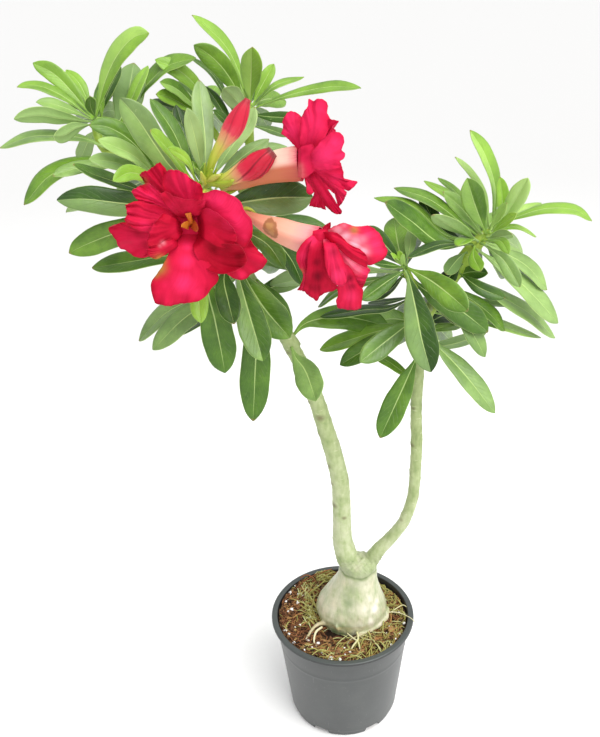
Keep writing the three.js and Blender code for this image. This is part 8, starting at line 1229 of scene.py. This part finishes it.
NT, NR = 300, 44
tt = np.linspace(0, 2 * np.pi, NT, endpoint=False)
inx, iny = 9.3 + 31.4 * np.cos(tt), 2 + 25.9 * np.sin(tt)
ta = np.arctan2(iny, inx)
outx, outy = 58.7 * np.cos(ta), 58.7 * np.sin(ta)
rr_ = np.linspace(0, 1, NR)[:, None]
gx, gy = inx[None] * (1 - rr_) + outx[None] * rr_, iny[None] * (1 - rr_) + outy[None] * rr_
bh = np.array([[bed_height(a_, b_) for a_, b_ in zip(p_, q_)] for p_, q_ in zip(gx, gy)])
rough_ = 1.5 * (grain(gx, gy, 3.4) - 0.5) + 1.1 * (grain(gx, gy, 1.7) - 0.5)
gz = np.maximum(bh - 0.7 + rough_, 100.12)
hole_ = ((gx - HOLE[0]) / 14.0) ** 2 + ((gy - HOLE[1]) / 6.5) ** 2 < 1
gz[hole_] = 100.12
B = Build()
topv, botv = np.stack([gx, gy, gz], -1), np.stack([gx, gy, np.full_like(gx, 100.04)], -1)
V = np.concatenate([topv.reshape(-1, 3), botv.reshape(-1, 3)])
F, o_ = [], NT * NR
for i in range(NR - 1):
    for j in range(NT):
        k = (j + 1) % NT
        p, q, r, s_ = i * NT + j, i * NT + k, (i + 1) * NT + k, (i + 1) * NT + j
        F.append((p, s_, r, q))
        F.append((o_ + p, o_ + q, o_ + r, o_ + s_))
for j in range(NT):
    k = (j + 1) % NT
    F.append((j, k, o_ + k, o_ + j))
    e_ = (NR - 1) * NT
    F.append((e_ + k, e_ + j, o_ + e_ + j, o_ + e_ + k))
tn = np.clip(0.15 + 0.9 * (grain(gx, gy, 2.3) - 0.3) + 0.25 * rough_, 0, 1)
# painted shadow: the mat is darkened in and round the hollow under the front of the base
tn = (tn * (1 - 0.9 * np.exp(-((((gx - HOLE[0]) / 15.0) ** 2 + ((gy - HOLE[1]) / 8.0) ** 2) ** 2)))).ravel()
B.add(V, F, tint=np.r_[tn, tn])
piece(B.make("coir_mat", [M_CRUMB]), "potting_mix")

B = Build()
for _ in range(1250):
    r = RNG.uniform(0.7, 2.2) if RNG.rand() < 0.86 else RNG.uniform(2.2, 3.6)
    x, y = bed_point(r * 0.9)
    V, F = blob((x, y, bed_height(x, y) - 0.35 * r + RNG.uniform(-0.2, 0.6)), r, 0.6, 0.34)
    B.add(V, F, tint=RNG.uniform(0.05, 1.0) ** 1.2)
# bark and husk flakes lying at odd angles
for _ in range(300):
    L, wd, th_ = RNG.uniform(2.4, 7.0), RNG.uniform(0.9, 2.6), RNG.uniform(0.3, 0.7)
    x, y = bed_point(0.5 + L * 0.5)
    c = np.array([x, y, bed_height(x, y) + RNG.uniform(0.3, 1.3)])
    a, tl = RNG.uniform(0, 6.28), RNG.uniform(-0.45, 0.45)
    d = np.array([math.cos(a) * math.cos(tl), math.sin(a) * math.cos(tl), math.sin(tl)])
    w_ = unit(np.cross(d, [0, 0, 1]) + np.array([0, 0, RNG.uniform(-0.5, 0.5)]))
    n_ = np.cross(d, w_)
    g, h2 = [], []
    for i_ in np.linspace(-1, 1, 5):
        prof_ = (1 - abs(i_) ** 2.5 * 0.7) * wd * (1 + 0.2 * math.sin(i_ * 5 + a))
        row_ = [c + d * L * 0.5 * i_ + w_ * prof_ * 0.5 * j_ + n_ * 0.5 * math.sin(i_ * 2 + j_ + a) * 0.7 for j_ in (-1, -0.3, 0.4, 1)]
        g.append([p + n_ * th_ / 2 for p in row_])
        h2.append([p - n_ * th_ / 2 for p in row_])
    V, F = grid_shell(np.array(g), np.array(h2))
    B.add(V, F, tint=RNG.uniform(0.2, 1.0))
piece(B.make("coir_crumbs", [M_CRUMB], smooth=True), "potting_mix")


def strand(x, y, L, a, bend, r, t, lift=1.0, n=7, low=0.2):
    h = bed_height(x, y) + RNG.uniform(low, 1.8)
    pts, xx, yy, aa = [], x, y, a
    for i in range(n):
        up_ = math.sin(i / (n - 1) * math.pi) * RNG.uniform(0.1, 1.3) * lift
        pts.append((xx, yy, h + up_ - 0.35 * abs(i - (n - 1) / 2)))
        aa += bend * 0.2 + RNG.uniform(-0.16, 0.16)
        nx, ny = xx + math.cos(aa) * L / (n - 1), yy + math.sin(aa) * L / (n - 1)
        inside = ((nx - 9.3) / 29.5) ** 2 + ((ny - 2) / 24.2) ** 2 < 1
        if math.hypot(nx, ny) < 58.0 and not inside:
            xx, yy = nx, ny
        else:
            aa += 1.4
            xx, yy = xx + math.cos(aa) * 0.6, yy + math.sin(aa) * 0.6
            if math.hypot(xx, yy) > 58.2:
                xx, yy = xx * 0.97, yy * 0.97
    pts = np.array(pts)
    if (((pts[:, 0] - HOLE[0]) / 12.5) ** 2 + ((pts[:, 1] - HOLE[1]) / 5.2) ** 2).min() < 1 and RNG.rand() < 0.85:
        return
    if np.linalg.norm(np.diff(pts, axis=0), axis=1).min() < 0.05:
        return
    V, F, UV = tube(pts, [r * 0.8, r, r * 0.9, r * 0.3], 5, n)
    B.add(V, F, tint=t)


B = Build()
for k in range(1150):
    x, y = bed_point(0.0)
    t = RNG.uniform(0.58, 0.95) if RNG.rand() < olive_at(x, y) * 0.8 else RNG.uniform(0.02, 0.6)
    strand(x, y, RNG.uniform(4, 15), RNG.uniform(0, 6.28), RNG.uniform(-0.9, 0.9), RNG.uniform(0.2, 0.55), t)
for k in range(230):
    x, y = bed_point(0.5)
    if RNG.rand() > olive_at(x, y):
        continue
    strand(x, y, RNG.uniform(10, 26), RNG.uniform(0, 6.28), RNG.uniform(-0.6, 0.6), RNG.uniform(0.35, 0.72), RNG.uniform(0.58, 0.9), 2.2, 10, 1.0)
for P, rad, t in STRANDS:
    V, F, UV = tube(P, rad, 7, 20)
    B.add(V, F, tint=t)
for k in range(30):
    # fine roots leaving the base
    a = RNG.uniform(0, 6.28)
    x, y = 9.3 + 31.5 * math.cos(a), 2 + 26 * math.sin(a)
    strand(x, y, RNG.uniform(8, 22), a + RNG.uniform(-0.9, 0.9), RNG.uniform(-0.9, 0.9), RNG.uniform(0.2, 0.42), RNG.uniform(0.7, 1.0), 2.6, 9, 0.8)
# a thicker band of pale fibres beside the base
BAND = np.array([(-25, -10), (-30, 8), (-35, 24), (-29, 40), (-16, 49), (-5, 53)], float)
for k in range(150):
    q = RNG.uniform(0, len(BAND) - 1.001)
    i = int(q)
    along = unit(BAND[i + 1] - BAND[i])
    L_ = RNG.uniform(8, 19)
    c = BAND[i] + (BAND[i + 1] - BAND[i]) * (q - i) + np.array([-along[1], along[0]]) * RNG.uniform(-6, 6) - along * L_ / 2
    if math.hypot(c[0], c[1]) > 57 or ((c[0] - 9.3) / 31) ** 2 + ((c[1] - 2) / 25.5) ** 2 < 1:
        continue
    strand(c[0], c[1], L_, math.atan2(along[1], along[0]) + RNG.normal(0, 0.45), RNG.uniform(-0.5, 0.5), RNG.uniform(0.3, 0.62), RNG.uniform(0.68, 0.97), 2.0, 9, 1.2)
piece(B.make("coir_fibres", [M_FIBRE]), "potting_mix")

B = Build()
for x, y, r in PERLITE:
    V, F = blob((x, y, bed_height(x, y) + 1.2), r * 0.85, 0.8, 0.34)
    B.add(V, F, tint=RNG.uniform(0.5, 1.0))
for _ in range(24):
    x, y = bed_point(1.5)
    r = RNG.uniform(0.35, 0.9)
    V, F = blob((x, y, bed_height(x, y) + 1.2), r, 0.8, 0.2)
    B.add(V, F, tint=RNG.uniform(0.2, 1.0))
piece(B.make("perlite_grains", [M_PERL]), "potting_mix")

B = Build()
for P, rad, kind in ROOTS:
    if kind != "thick":
        V, F, UV = tube(P, rad, 8, 26)
        B.add(V, F, tint=RNG.uniform(0.2, 0.9))
piece(B.make("surface_roots", [M_ROOT]), "swollen_base")

# ---------------------------------------------------------------------------
# flowers
# ---------------------------------------------------------------------------


EYE = np.array([-30.85, -630.14, 689.68])


def petal(B, yref, L, T, R, depths, bow, cup, ruffle, pleat, hl, dark, tints, seed, mat=0, NU=38, NV=34, tint=0.0):
    """A petal between a left, a far and a right edge, with its depth set along it."""
    rs = np.random.RandomState(seed)
    ph = rs.rand(10) * 6.28
    a = np.linspace(0, 1, NU + 1)
    s = np.linspace(0, 1, NV + 1)
    l, r, t = sample(L, NV + 1), sample(R, NV + 1), sample(T, NU + 1)
    size = np.linalg.norm(np.array(T[0], float) - np.array(L[0], float)) + 1e-6

    def tear(c, k0, amp):
        """Fine irregular margin."""
        n = len(c)
        d = np.gradient(c, axis=0)
        nn = unit(np.stack([d[:, 1], -d[:, 0]], 1))
        q = np.linspace(0, 1, n)
        w = np.sin(q * 23 + ph[k0]) * 0.30 + np.sin(q * 51 + ph[k0 + 1]) * 0.26 + np.sin(q * 11 + ph[k0 + 2]) * 0.25
        return c + nn * (w * amp * np.sin(np.pi * np.clip(q, 0, 1)) ** 0.5)[:, None]

    t = tear(t, 0, 0.75 * ruffle)
    l = tear(l, 3, 0.5 * ruffle)
    r = tear(r, 6, 0.5 * ruffle)
    b = np.array(L[0], float) + (np.array(R[0], float) - np.array(L[0], float)) * a[:, None]
    A, S = np.meshgrid(a, s)
    A3, S3 = A[..., None], S[..., None]
    G = (1 - A3) * l[:, None] + A3 * r[:, None] + (1 - S3) * b[None] + S3 * t[None]
    G = G - ((1 - A3) * (1 - S3) * l[0] + A3 * (1 - S3) * r[0] + (1 - A3) * S3 * t[0] + A3 * S3 * t[-1])
    U = A * 2 - 1
    aU = np.abs(U)
    y0, yl, yt = depths
    e = np.clip(S / 0.22, 0, 1)
    y = y0 + (yl - y0) * e * e * (3 - 2 * e) + (yt - yl) * S**1.1
    y = y + bow * np.sin(np.pi * S) + cup * aU**2 * S - 1.6 * (1 - U**2) * np.sin(np.pi * np.clip(S * 1.05, 0, 1)) * (cup == 0)
    edge = np.maximum(aU**2.4, S**3.2) * np.clip(S / 0.3, 0, 1)
    thb = np.where(aU > S, 3.0 * S * np.sign(U), 3.0 * U / np.maximum(S, 0.2))
    k = min(1.0, size / 26.0)
    span = np.linalg.norm(r - l, axis=1)
    wide = (np.clip(span / (0.75 * span.max()), 0, 1) ** 1.6)[:, None]
    y = y + ruffle * k * edge * (0.35 + 0.65 * wide) * (1.9 * np.sin(2.3 * thb + ph[6]) + 0.8 * np.sin(4.9 * thb + ph[7]) + 0.18 * np.sin(10.3 * thb + ph[0]))
    y = y + k * wide * np.clip(S / 0.3, 0, 1) * (0.6 * np.sin(U * 4.2 + ph[1] + S) + 0.14 * np.sin(U * 10 + ph[2] + 2 * S) + 0.6 * ruffle * np.sin(S * 7 + U * 2.2 + ph[3]))
    y = y + pleat * 2.6 * (np.abs(np.sin(U * 4.3 + ph[4] + 0.6 * np.sin(S * 3))) - 0.6) * np.clip(S / 0.25, 0, 1)
    Q = np.stack([G[..., 0], np.full_like(y, yref), G[..., 1]], -1)
    P = EYE + (Q - EYE) * ((y - EYE[1]) / (yref - EYE[1]))[..., None]
    du, dv = np.gradient(P, axis=1), np.gradient(P, axis=0)
    n_ = unit(np.cross(du, dv))
    if (n_ * unit(EYE - P)).sum() < 0:
        n_ = -n_
    th = (0.46 - 0.2 * edge)[..., None]
    top, bot = P + n_ * th / 2, P - n_ * th / 2
    if np.einsum("ijk,ijk->", np.cross(du, dv), n_) > 0:
        V, F = grid_shell(top, bot)
    else:
        V, F = grid_shell(bot, top)
    first_top = 1.0 if np.einsum("ijk,ijk->", np.cross(du, dv), n_) > 0 else 0.0
    uvg = np.stack([A, S], -1).reshape(-1, 2)
    n = uvg.shape[0]
    # painted shade and painted highlight shares for each point: the petal's own, raised by its tints round given
    # points
    shade_amt = np.full(n, dark)
    lt = np.full(n, hl) * (1 - aU.ravel() ** 2) * 0.8
    pale, olive = np.zeros(n), np.zeros(n)
    g = G.reshape(-1, 2)
    for x, z, rad, d1, d2, d3, d4 in tints:
        w = np.exp(-(((g[:, 0] - x) ** 2 + (g[:, 1] - z) ** 2) / (rad * 0.95) ** 2))
        shade_amt, lt = np.maximum(shade_amt, d1 * w), np.maximum(lt, d2 * w)
        if d2 > 0:
            shade_amt = shade_amt * (1 - 0.7 * w * d2)
        pale, olive = np.maximum(pale, d3 * w), np.maximum(olive, d4 * w)
    B.add(V, F, np.vstack([uvg, uvg]), mat=mat, tone=0.40 + 0.12 * rs.rand(), hl=np.r_[lt, lt], dark=np.r_[shade_amt, shade_amt], pale=np.r_[pale, pale],
          olive=np.r_[olive, olive], side=np.r_[np.full(n, first_top), np.full(n, 1 - first_top)], tint=tint)


def corolla_tube(B, P, R, mat, hot, spot=None, sides=44, n=40):
    """Outer skin with five ridges, open mouth and an inner wall."""
    P = np.array(P, float)
    seg = np.linalg.norm(np.diff(P, axis=0), axis=1)
    s = np.r_[0, np.cumsum(seg)] / seg.sum()
    C = sample(P, n)
    q = np.linspace(0, 1, n)
    r = np.interp(q, s, R)
    T, U, Wd = frames(C)
    a = np.linspace(0, 2 * np.pi, sides, endpoint=False)
    rid = 1 + 0.05 * np.sin(5 * a)[None, :] * np.clip(q * 2.2, 0, 1)[:, None]
    ro = r[:, None] * rid
    out = C[:, None, :] + ro[..., None] * (np.cos(a)[None, :, None] * U[:, None, :] + np.sin(a)[None, :, None] * Wd[:, None, :])
    keep = q > 0.45
    ri = np.maximum(ro[keep] - 0.7, 0.6)
    inn = (C[keep][:, None, :] + ri[..., None] * (np.cos(a)[None, :, None] * U[keep][:, None, :] + np.sin(a)[None, :, None] * Wd[keep][:, None, :]))[::-1]
    allr = np.concatenate([out, inn])
    m = len(allr)
    F = []
    for i in range(m - 1):
        for j in range(sides):
            k = (j + 1) % sides
            F.append((i * sides + j, i * sides + k, (i + 1) * sides + k, (i + 1) * sides + j))
    F.append(tuple(range(sides))[::-1])
    F.append(tuple((m - 1) * sides + j for j in range(sides)))
    qq = np.r_[q, q[keep][::-1]]
    UV = np.stack([np.tile(np.linspace(0, 1, sides), m), np.repeat(qq, sides)], 1)
    nrm = unit(np.concatenate([out - C[:, None, :], (inn - C[keep][::-1][:, None, :])]).reshape(-1, 3))
    # how far each point faces upwards, which picks the lit or the shaded colours of the tube
    upv = np.clip(0.5 + 0.62 * nrm[:, 2] - 0.1 * nrm[:, 1], 0, 1)
    flat = allr.reshape(-1, 3)
    blem = np.zeros(len(flat)) if spot is None else np.clip(1.3 - np.linalg.norm((flat - np.array(spot)) * [1, 0.5, 0.8], axis=1) / 6.2, 0, 1)
    inside = np.r_[np.zeros(n * sides), np.ones((m - n) * sides)]
    # the inner wall takes the petal finish with a painted shade share, as it lies in shade inside the tube
    B.add(flat, F, UV, mat=[0 if f_[0] >= n * sides and len(f_) == 4 else mat for f_ in F], up=upv, hot=hot, blem=blem, dark=0.45 * inside, tone=0.4 * inside, side=inside)


def rim_petal(B, mouth, axis, R, d, length, width, lean, curl_, seed, NU=16, NV=22):
    """A petal that leaves the mouth of the tube in direction d."""
    rs = np.random.RandomState(seed)
    ph = rs.rand(6) * 6.28
    side = unit(np.cross(axis, d))
    U, S = np.meshgrid(np.linspace(-1, 1, NU + 1), np.linspace(0, 1, NV + 1))
    w = width * (0.30 + 0.70 * np.clip(S / 0.55, 0, 1) ** 0.8) * np.sqrt(np.clip(1 - np.clip((S - 0.62) / 0.46, 0, 1) ** 2, 0.03, 1))
    w = w * (1 + 0.03 * np.sin(S * 17 + ph[0]))
    edge = np.maximum(np.abs(U) ** 2.4, S**3) * np.clip(S / 0.3, 0, 1)
    up_ = lean * length * S**1.3 + curl_ * length * np.clip(S - 0.45, 0, 1) ** 2
    up_ = up_ + edge * (1.5 * np.sin(U * 4.5 + S * 5 + ph[1]) + 0.8 * np.sin(U * 9 + ph[2])) - 0.06 * width * (1 - U**2) * S
    out = R * 0.88 + length * S * (1 - 0.10 * U**2 * S) + 0.5 * np.sin(U * 13 + ph[3]) * S**4
    P = np.array(mouth) - np.array(axis) * 0.8 + d * out[..., None] + side * (U * w)[..., None] + np.array(axis) * up_[..., None]
    n_ = unit(np.cross(np.gradient(P, axis=1), np.gradient(P, axis=0)))
    front = 1.0 if np.einsum("ijk,k->", n_, np.array(axis)) > 0 else -1.0
    n_ = n_ * front
    th = (0.46 - 0.2 * edge)[..., None]
    top, bot = P + n_ * th / 2, P - n_ * th / 2
    V, F = grid_shell(top, bot) if front > 0 else grid_shell(bot, top)
    n = U.size
    uvg = np.stack([(U + 1) / 2, S], -1).reshape(-1, 2)
    # painted shade near the petal's base, at the mouth of the tube
    shade_amt = (0.55 * np.clip(1 - S / 0.3, 0, 1)).ravel()
    first = 1.0 if front > 0 else 0.0
    B.add(V, F, np.vstack([uvg, uvg]), tone=0.42 + 0.14 * rs.rand(), hl=0.25 * np.r_[1 - np.abs(U.ravel()) ** 2, 1 - np.abs(U.ravel()) ** 2], dark=np.r_[shade_amt, shade_amt],
          side=np.r_[np.full(n, first), np.full(n, 1 - first)])


# directions (degrees round the axis, 0 points to +y), length, width, lean, curl
RIM = {"flower_upper": [(0, 19, 12.5, 0.10, 0.25), (48, 18, 12.0, 0.12, 0.3), (-46, 17, 11.5, 0.10, 0.3)],
       "flower_lower": [(-14, 10, 12, 0.12, 0.3), (-52, 15, 11.5, 0.12, 0.35)]}

for fi, (node, (TP, TR), yref, petals) in enumerate(FLOWERS):
    B = Build()
    TP = np.array(TP, float)
    axis = unit(TP[-1] - TP[-2])
    mouth, R = TP[-1], TR[-1]
    corolla_tube(B, TP, TR, 1, 1.0 if node == "flower_lower" else 0.0, BLEMISH if node == "flower_lower" else None)
    for pi, (L, T, R_, depths, bow, cup, ruf, pleat, hl, dark, tints) in enumerate(petals):
        petal(B, yref, L, T, R_, depths, bow, cup, ruf, pleat, hl, dark, tints, 100 * fi + pi + 3)
    for k, (deg, L_, W_, ln, cu) in enumerate(RIM.get(node, [])):
        e0 = unit(np.array([0, 1.0, 0]) - axis * axis[1])
        e1 = np.cross(axis, e0)
        if e1[2] < 0:
            e1 = -e1
        d = e0 * math.cos(math.radians(deg)) + e1 * math.sin(math.radians(deg))
        rim_petal(B, mouth, axis, R, d, L_, W_, ln, cu, 40 + 7 * k + fi)
    # anther cone with fine tails in the throat
    if node == "flower_main":
        for k in range(5):
            a = k * 1.2566 + 0.4
            u0 = unit(np.cross(axis, [0, 0.2, 1]))
            d = u0 * math.cos(a) + np.cross(axis, u0) * math.sin(a)
            V, F, UV = tube([mouth - axis * 14 + d * 2.4, mouth - axis * 8 + d * 1.6, mouth - axis * 3 + d * 0.9, mouth + axis * 0.5 + d * 1.6], [1.0, 0.9, 0.5, 0.22], 8, 14)
            B.add(V, F, mat=3, tint=0.5)
        # yellow tongues standing in the throat
        for k, (L, T, R_, tn) in enumerate(THROAT):
            petal(B, yref, L, T, R_, [-86, -98, -106 - k], 0, 0, 0.15, 0, 0, 0, [], 900 + k, 3, 10, 10, tn)
    # sepals
    base = TP[0] + unit(TP[1] - TP[0]) * 1.0
    ax0 = unit(TP[1] - TP[0])
    u0 = unit(np.cross(ax0, [0.2, 0.3, 1]))
    for k in range(5):
        a = k * 1.2566
        d = u0 * math.cos(a) + np.cross(ax0, u0) * math.sin(a)
        V, F, UV = tube([base, base + d * (TR[0] + 0.9) + ax0 * 2.5, base + d * (TR[0] + 1.9) + ax0 * 6.5, base + d * (TR[0] + 2.1) + ax0 * 9.5], [1.3, 1.5, 1.0, 0.25], 8, 10)
        B.add(V, F, mat=2, tint=0.25 + 0.1 * k)
    pm = {"flower_main": M_PETAL1, "flower_upper": M_PETAL2, "flower_lower": M_PETAL3}[node]
    piece(B.make("corolla_" + node, [pm, M_TUBE, M_GREEN, M_THROAT]), "petal", node)

for node, kind, parts in BUDS:
    B = Build()
    for (P, R) in parts:
        if kind == "red":
            P = np.array(P, float)
            n, sides = 44, 40
            seg = np.linalg.norm(np.diff(P, axis=0), axis=1)
            s = np.r_[0, np.cumsum(seg)] / seg.sum()
            C = sample(P, n)
            q = np.linspace(0, 1, n)
            r = np.interp(q, s, R)
            r = np.convolve(np.r_[r[0], r[0], r, r[-1], r[-1]], np.ones(5) / 5, "valid")
            T, U, Wd = frames(C)
            a = np.linspace(0, 2 * np.pi, sides, endpoint=False)
            tw = a[None, :] * 5 + q[:, None] * 9.0
            big = node == "bud_lower"
            rid = 1 + (0.20 if big else 0.12) * np.clip((q - 0.25) / 0.3, 0, 1)[:, None] * (np.abs(np.sin(tw / 2)) - 0.6)
            if big:
                rid = rid + 0.05 * np.clip((q - 0.4) / 0.2, 0, 1)[:, None] * np.sin(a[None, :] * 13 + q[:, None] * 31 + 2 * np.sin(q[:, None] * 17))
            ro = r[:, None] * rid
            out = C[:, None, :] + ro[..., None] * (np.cos(a)[None, :, None] * U[:, None, :] + np.sin(a)[None, :, None] * Wd[:, None, :])
            F = []
            for i in range(n - 1):
                for j in range(sides):
                    k = (j + 1) % sides
                    F.append((i * sides + j, i * sides + k, (i + 1) * sides + k, (i + 1) * sides + j))
            F.append(tuple(range(sides))[::-1])
            F.append(tuple((n - 1) * sides + j for j in range(sides)))
            UV = np.stack([np.tile(np.linspace(0, 1, sides), n), np.repeat(q, sides)], 1)
            B.add(out.reshape(-1, 3), F, UV, dark=1.0 if big else 0.35, shift=0.13 if big else 0.0)
            ax0 = unit(P[1] - P[0])
            u0 = unit(np.cross(ax0, [0.2, 0.3, 1]))
            for k in range(5):
                aa = k * 1.2566 + 0.5
                d = u0 * math.cos(aa) + np.cross(ax0, u0) * math.sin(aa)
                V, F, UV = tube([P[0], P[0] + d * (R[0] + 0.7) + ax0 * 3, P[0] + d * (R[0] + 1.5) + ax0 * 7, P[0] + d * (R[0] + 1.8) + ax0 * 9.5], [1.2, 1.3, 0.8, 0.2], 8, 10)
                B.add(V, F, mat=1, tint=0.3 + 0.1 * k)
        else:
            V, F, UV = tube(P, R, 14, 16)
            B.add(V, F, UV, mat=1, tint=RNG.uniform(0.3, 0.95))
    piece(B.make("form_" + node, [M_BUD, M_GREEN]), "bud" if kind == "red" else "young_bud", node)

# ---------------------------------------------------------------------------
# floor, light and camera
# ---------------------------------------------------------------------------
m = Mat("studio_floor")
ob = m.obj()
n1 = m.noise(ob, 3.0, 4, 0.5)
n2 = m.noise(ob, 260.0, 3, 0.6)
fc = m.ramp(m.math("ADD", m.math("MULTIPLY", n1, 0.7), m.math("MULTIPLY", n2, 0.3)), [(0.3, "#FAFAFA"), (0.7, "#FFFFFF")])
# painted falloff: the floor is made greyer with distance from the plant, standing in for the light falling off away
# from it
falloff_dist = m.node("ShaderNodeVectorMath", {0: ob}, operation="LENGTH").outputs["Value"]
fc = m.mix(m.step(falloff_dist, 0.4, 0.95, 0.0, 1.0), fc, hexc("#D9D9D9"))
fc = m.mix(m.step(falloff_dist, 0.95, 2.0, 0.0, 1.0), fc, hexc("#CDCDCD"))
m.set(color=fc, rough=0.8, spec=0.2)
fm = bpy.data.meshes.new("studio_floor")
S = 30.0
fm.from_pydata([(-S, -S, 0), (S, -S, 0), (S, S, 0), (-S, S, 0)], [], [(0, 1, 2, 3)])
fm.materials.append(m.mat)
floor = bpy.data.objects.new("studio_floor", fm)
bpy.context.collection.objects.link(floor)

world = bpy.data.worlds.new("studio")
bpy.context.scene.world = world
world.use_nodes = True
wt = world.node_tree
bg = wt.nodes["Background"]
bg.inputs[0].default_value = (1.0, 1.0, 1.0, 1)
tc = wt.nodes.new("ShaderNodeTexCoord")
sep = wt.nodes.new("ShaderNodeSeparateXYZ")
wt.links.new(tc.outputs["Generated"], sep.inputs[0])
up_ = wt.nodes.new("ShaderNodeMapRange")
up_.inputs[1].default_value, up_.inputs[2].default_value = -0.1, 1.0
up_.inputs[3].default_value, up_.inputs[4].default_value = 0.48, 1.035
wt.links.new(sep.outputs[2], up_.inputs[0])
dot = wt.nodes.new("ShaderNodeVectorMath")
dot.operation = "DOT_PRODUCT"
dot.inputs[1].default_value = Vector((0.62, -0.62, 0.48)).normalized()
wt.links.new(tc.outputs["Generated"], dot.inputs[0])
lobe = wt.nodes.new("ShaderNodeMapRange")
lobe.interpolation_type = "SMOOTHSTEP"
lobe.inputs[1].default_value, lobe.inputs[2].default_value = 0.35, 0.95
lobe.inputs[3].default_value, lobe.inputs[4].default_value = 0.0, 0.7
wt.links.new(dot.outputs["Value"], lobe.inputs[0])
add = wt.nodes.new("ShaderNodeMath")
add.operation = "ADD"
wt.links.new(up_.outputs[0], add.inputs[0])
wt.links.new(lobe.outputs[0], add.inputs[1])
wt.links.new(add.outputs[0], bg.inputs[1])


def area(name, loc, target, size, power, color=(1, 1, 1)):
    d = bpy.data.lights.new(name, "AREA")
    d.shape = "DISK"
    d.size = size
    d.energy = power
    d.color = color
    o = bpy.data.objects.new(name, d)
    bpy.context.collection.objects.link(o)
    o.location = loc
    o.rotation_mode = "QUATERNION"
    o.rotation_quaternion = (Vector(target) - Vector(loc)).to_track_quat("-Z", "Y")
    return o


def sun(name, src, energy, angle, color=(1, 1, 1)):
    d = bpy.data.lights.new(name, "SUN")
    d.energy = energy
    d.angle = math.radians(angle)
    d.color = color
    o = bpy.data.objects.new(name, d)
    bpy.context.collection.objects.link(o)
    o.rotation_mode = "QUATERNION"
    o.rotation_quaternion = (-Vector(src)).to_track_quat("-Z", "Y")
    o.location = Vector(src)
    return o


sun("key", (0.66, -0.72, 1.30), 2.06, 50, (1.0, 0.99, 0.97))

cam = bpy.data.cameras.new("camera")
cam.sensor_fit = "AUTO"
cam.sensor_width = 36.0
cam.lens = 900.0 / 737.0 * 36.0
cam.clip_start = 0.01
cam.clip_end = 60
co_ = bpy.data.objects.new("camera", cam)
bpy.context.collection.objects.link(co_)
pitch, roll = math.radians(27.56), math.radians(-2.08)
fwd = Vector((0, math.cos(pitch), -math.sin(pitch)))
right = fwd.cross(Vector((0, 0, 1))).normalized()
upv = right.cross(fwd)
r2 = right * math.cos(roll) + upv * math.sin(roll)
u2 = upv * math.cos(roll) - right * math.sin(roll)
rot = Matrix((r2, u2, -fwd)).transposed()
co_.matrix_world = Matrix.Translation((-0.03085, -0.63014, 0.68968)) @ rot.to_4x4()
bpy.context.scene.camera = co_
bpy.context.scene.view_settings.view_transform = "Standard"
bpy.context.scene.view_settings.look = "None"
bpy.context.scene.view_settings.exposure = 0.0
bpy.context.scene.view_settings.gamma = 1.0
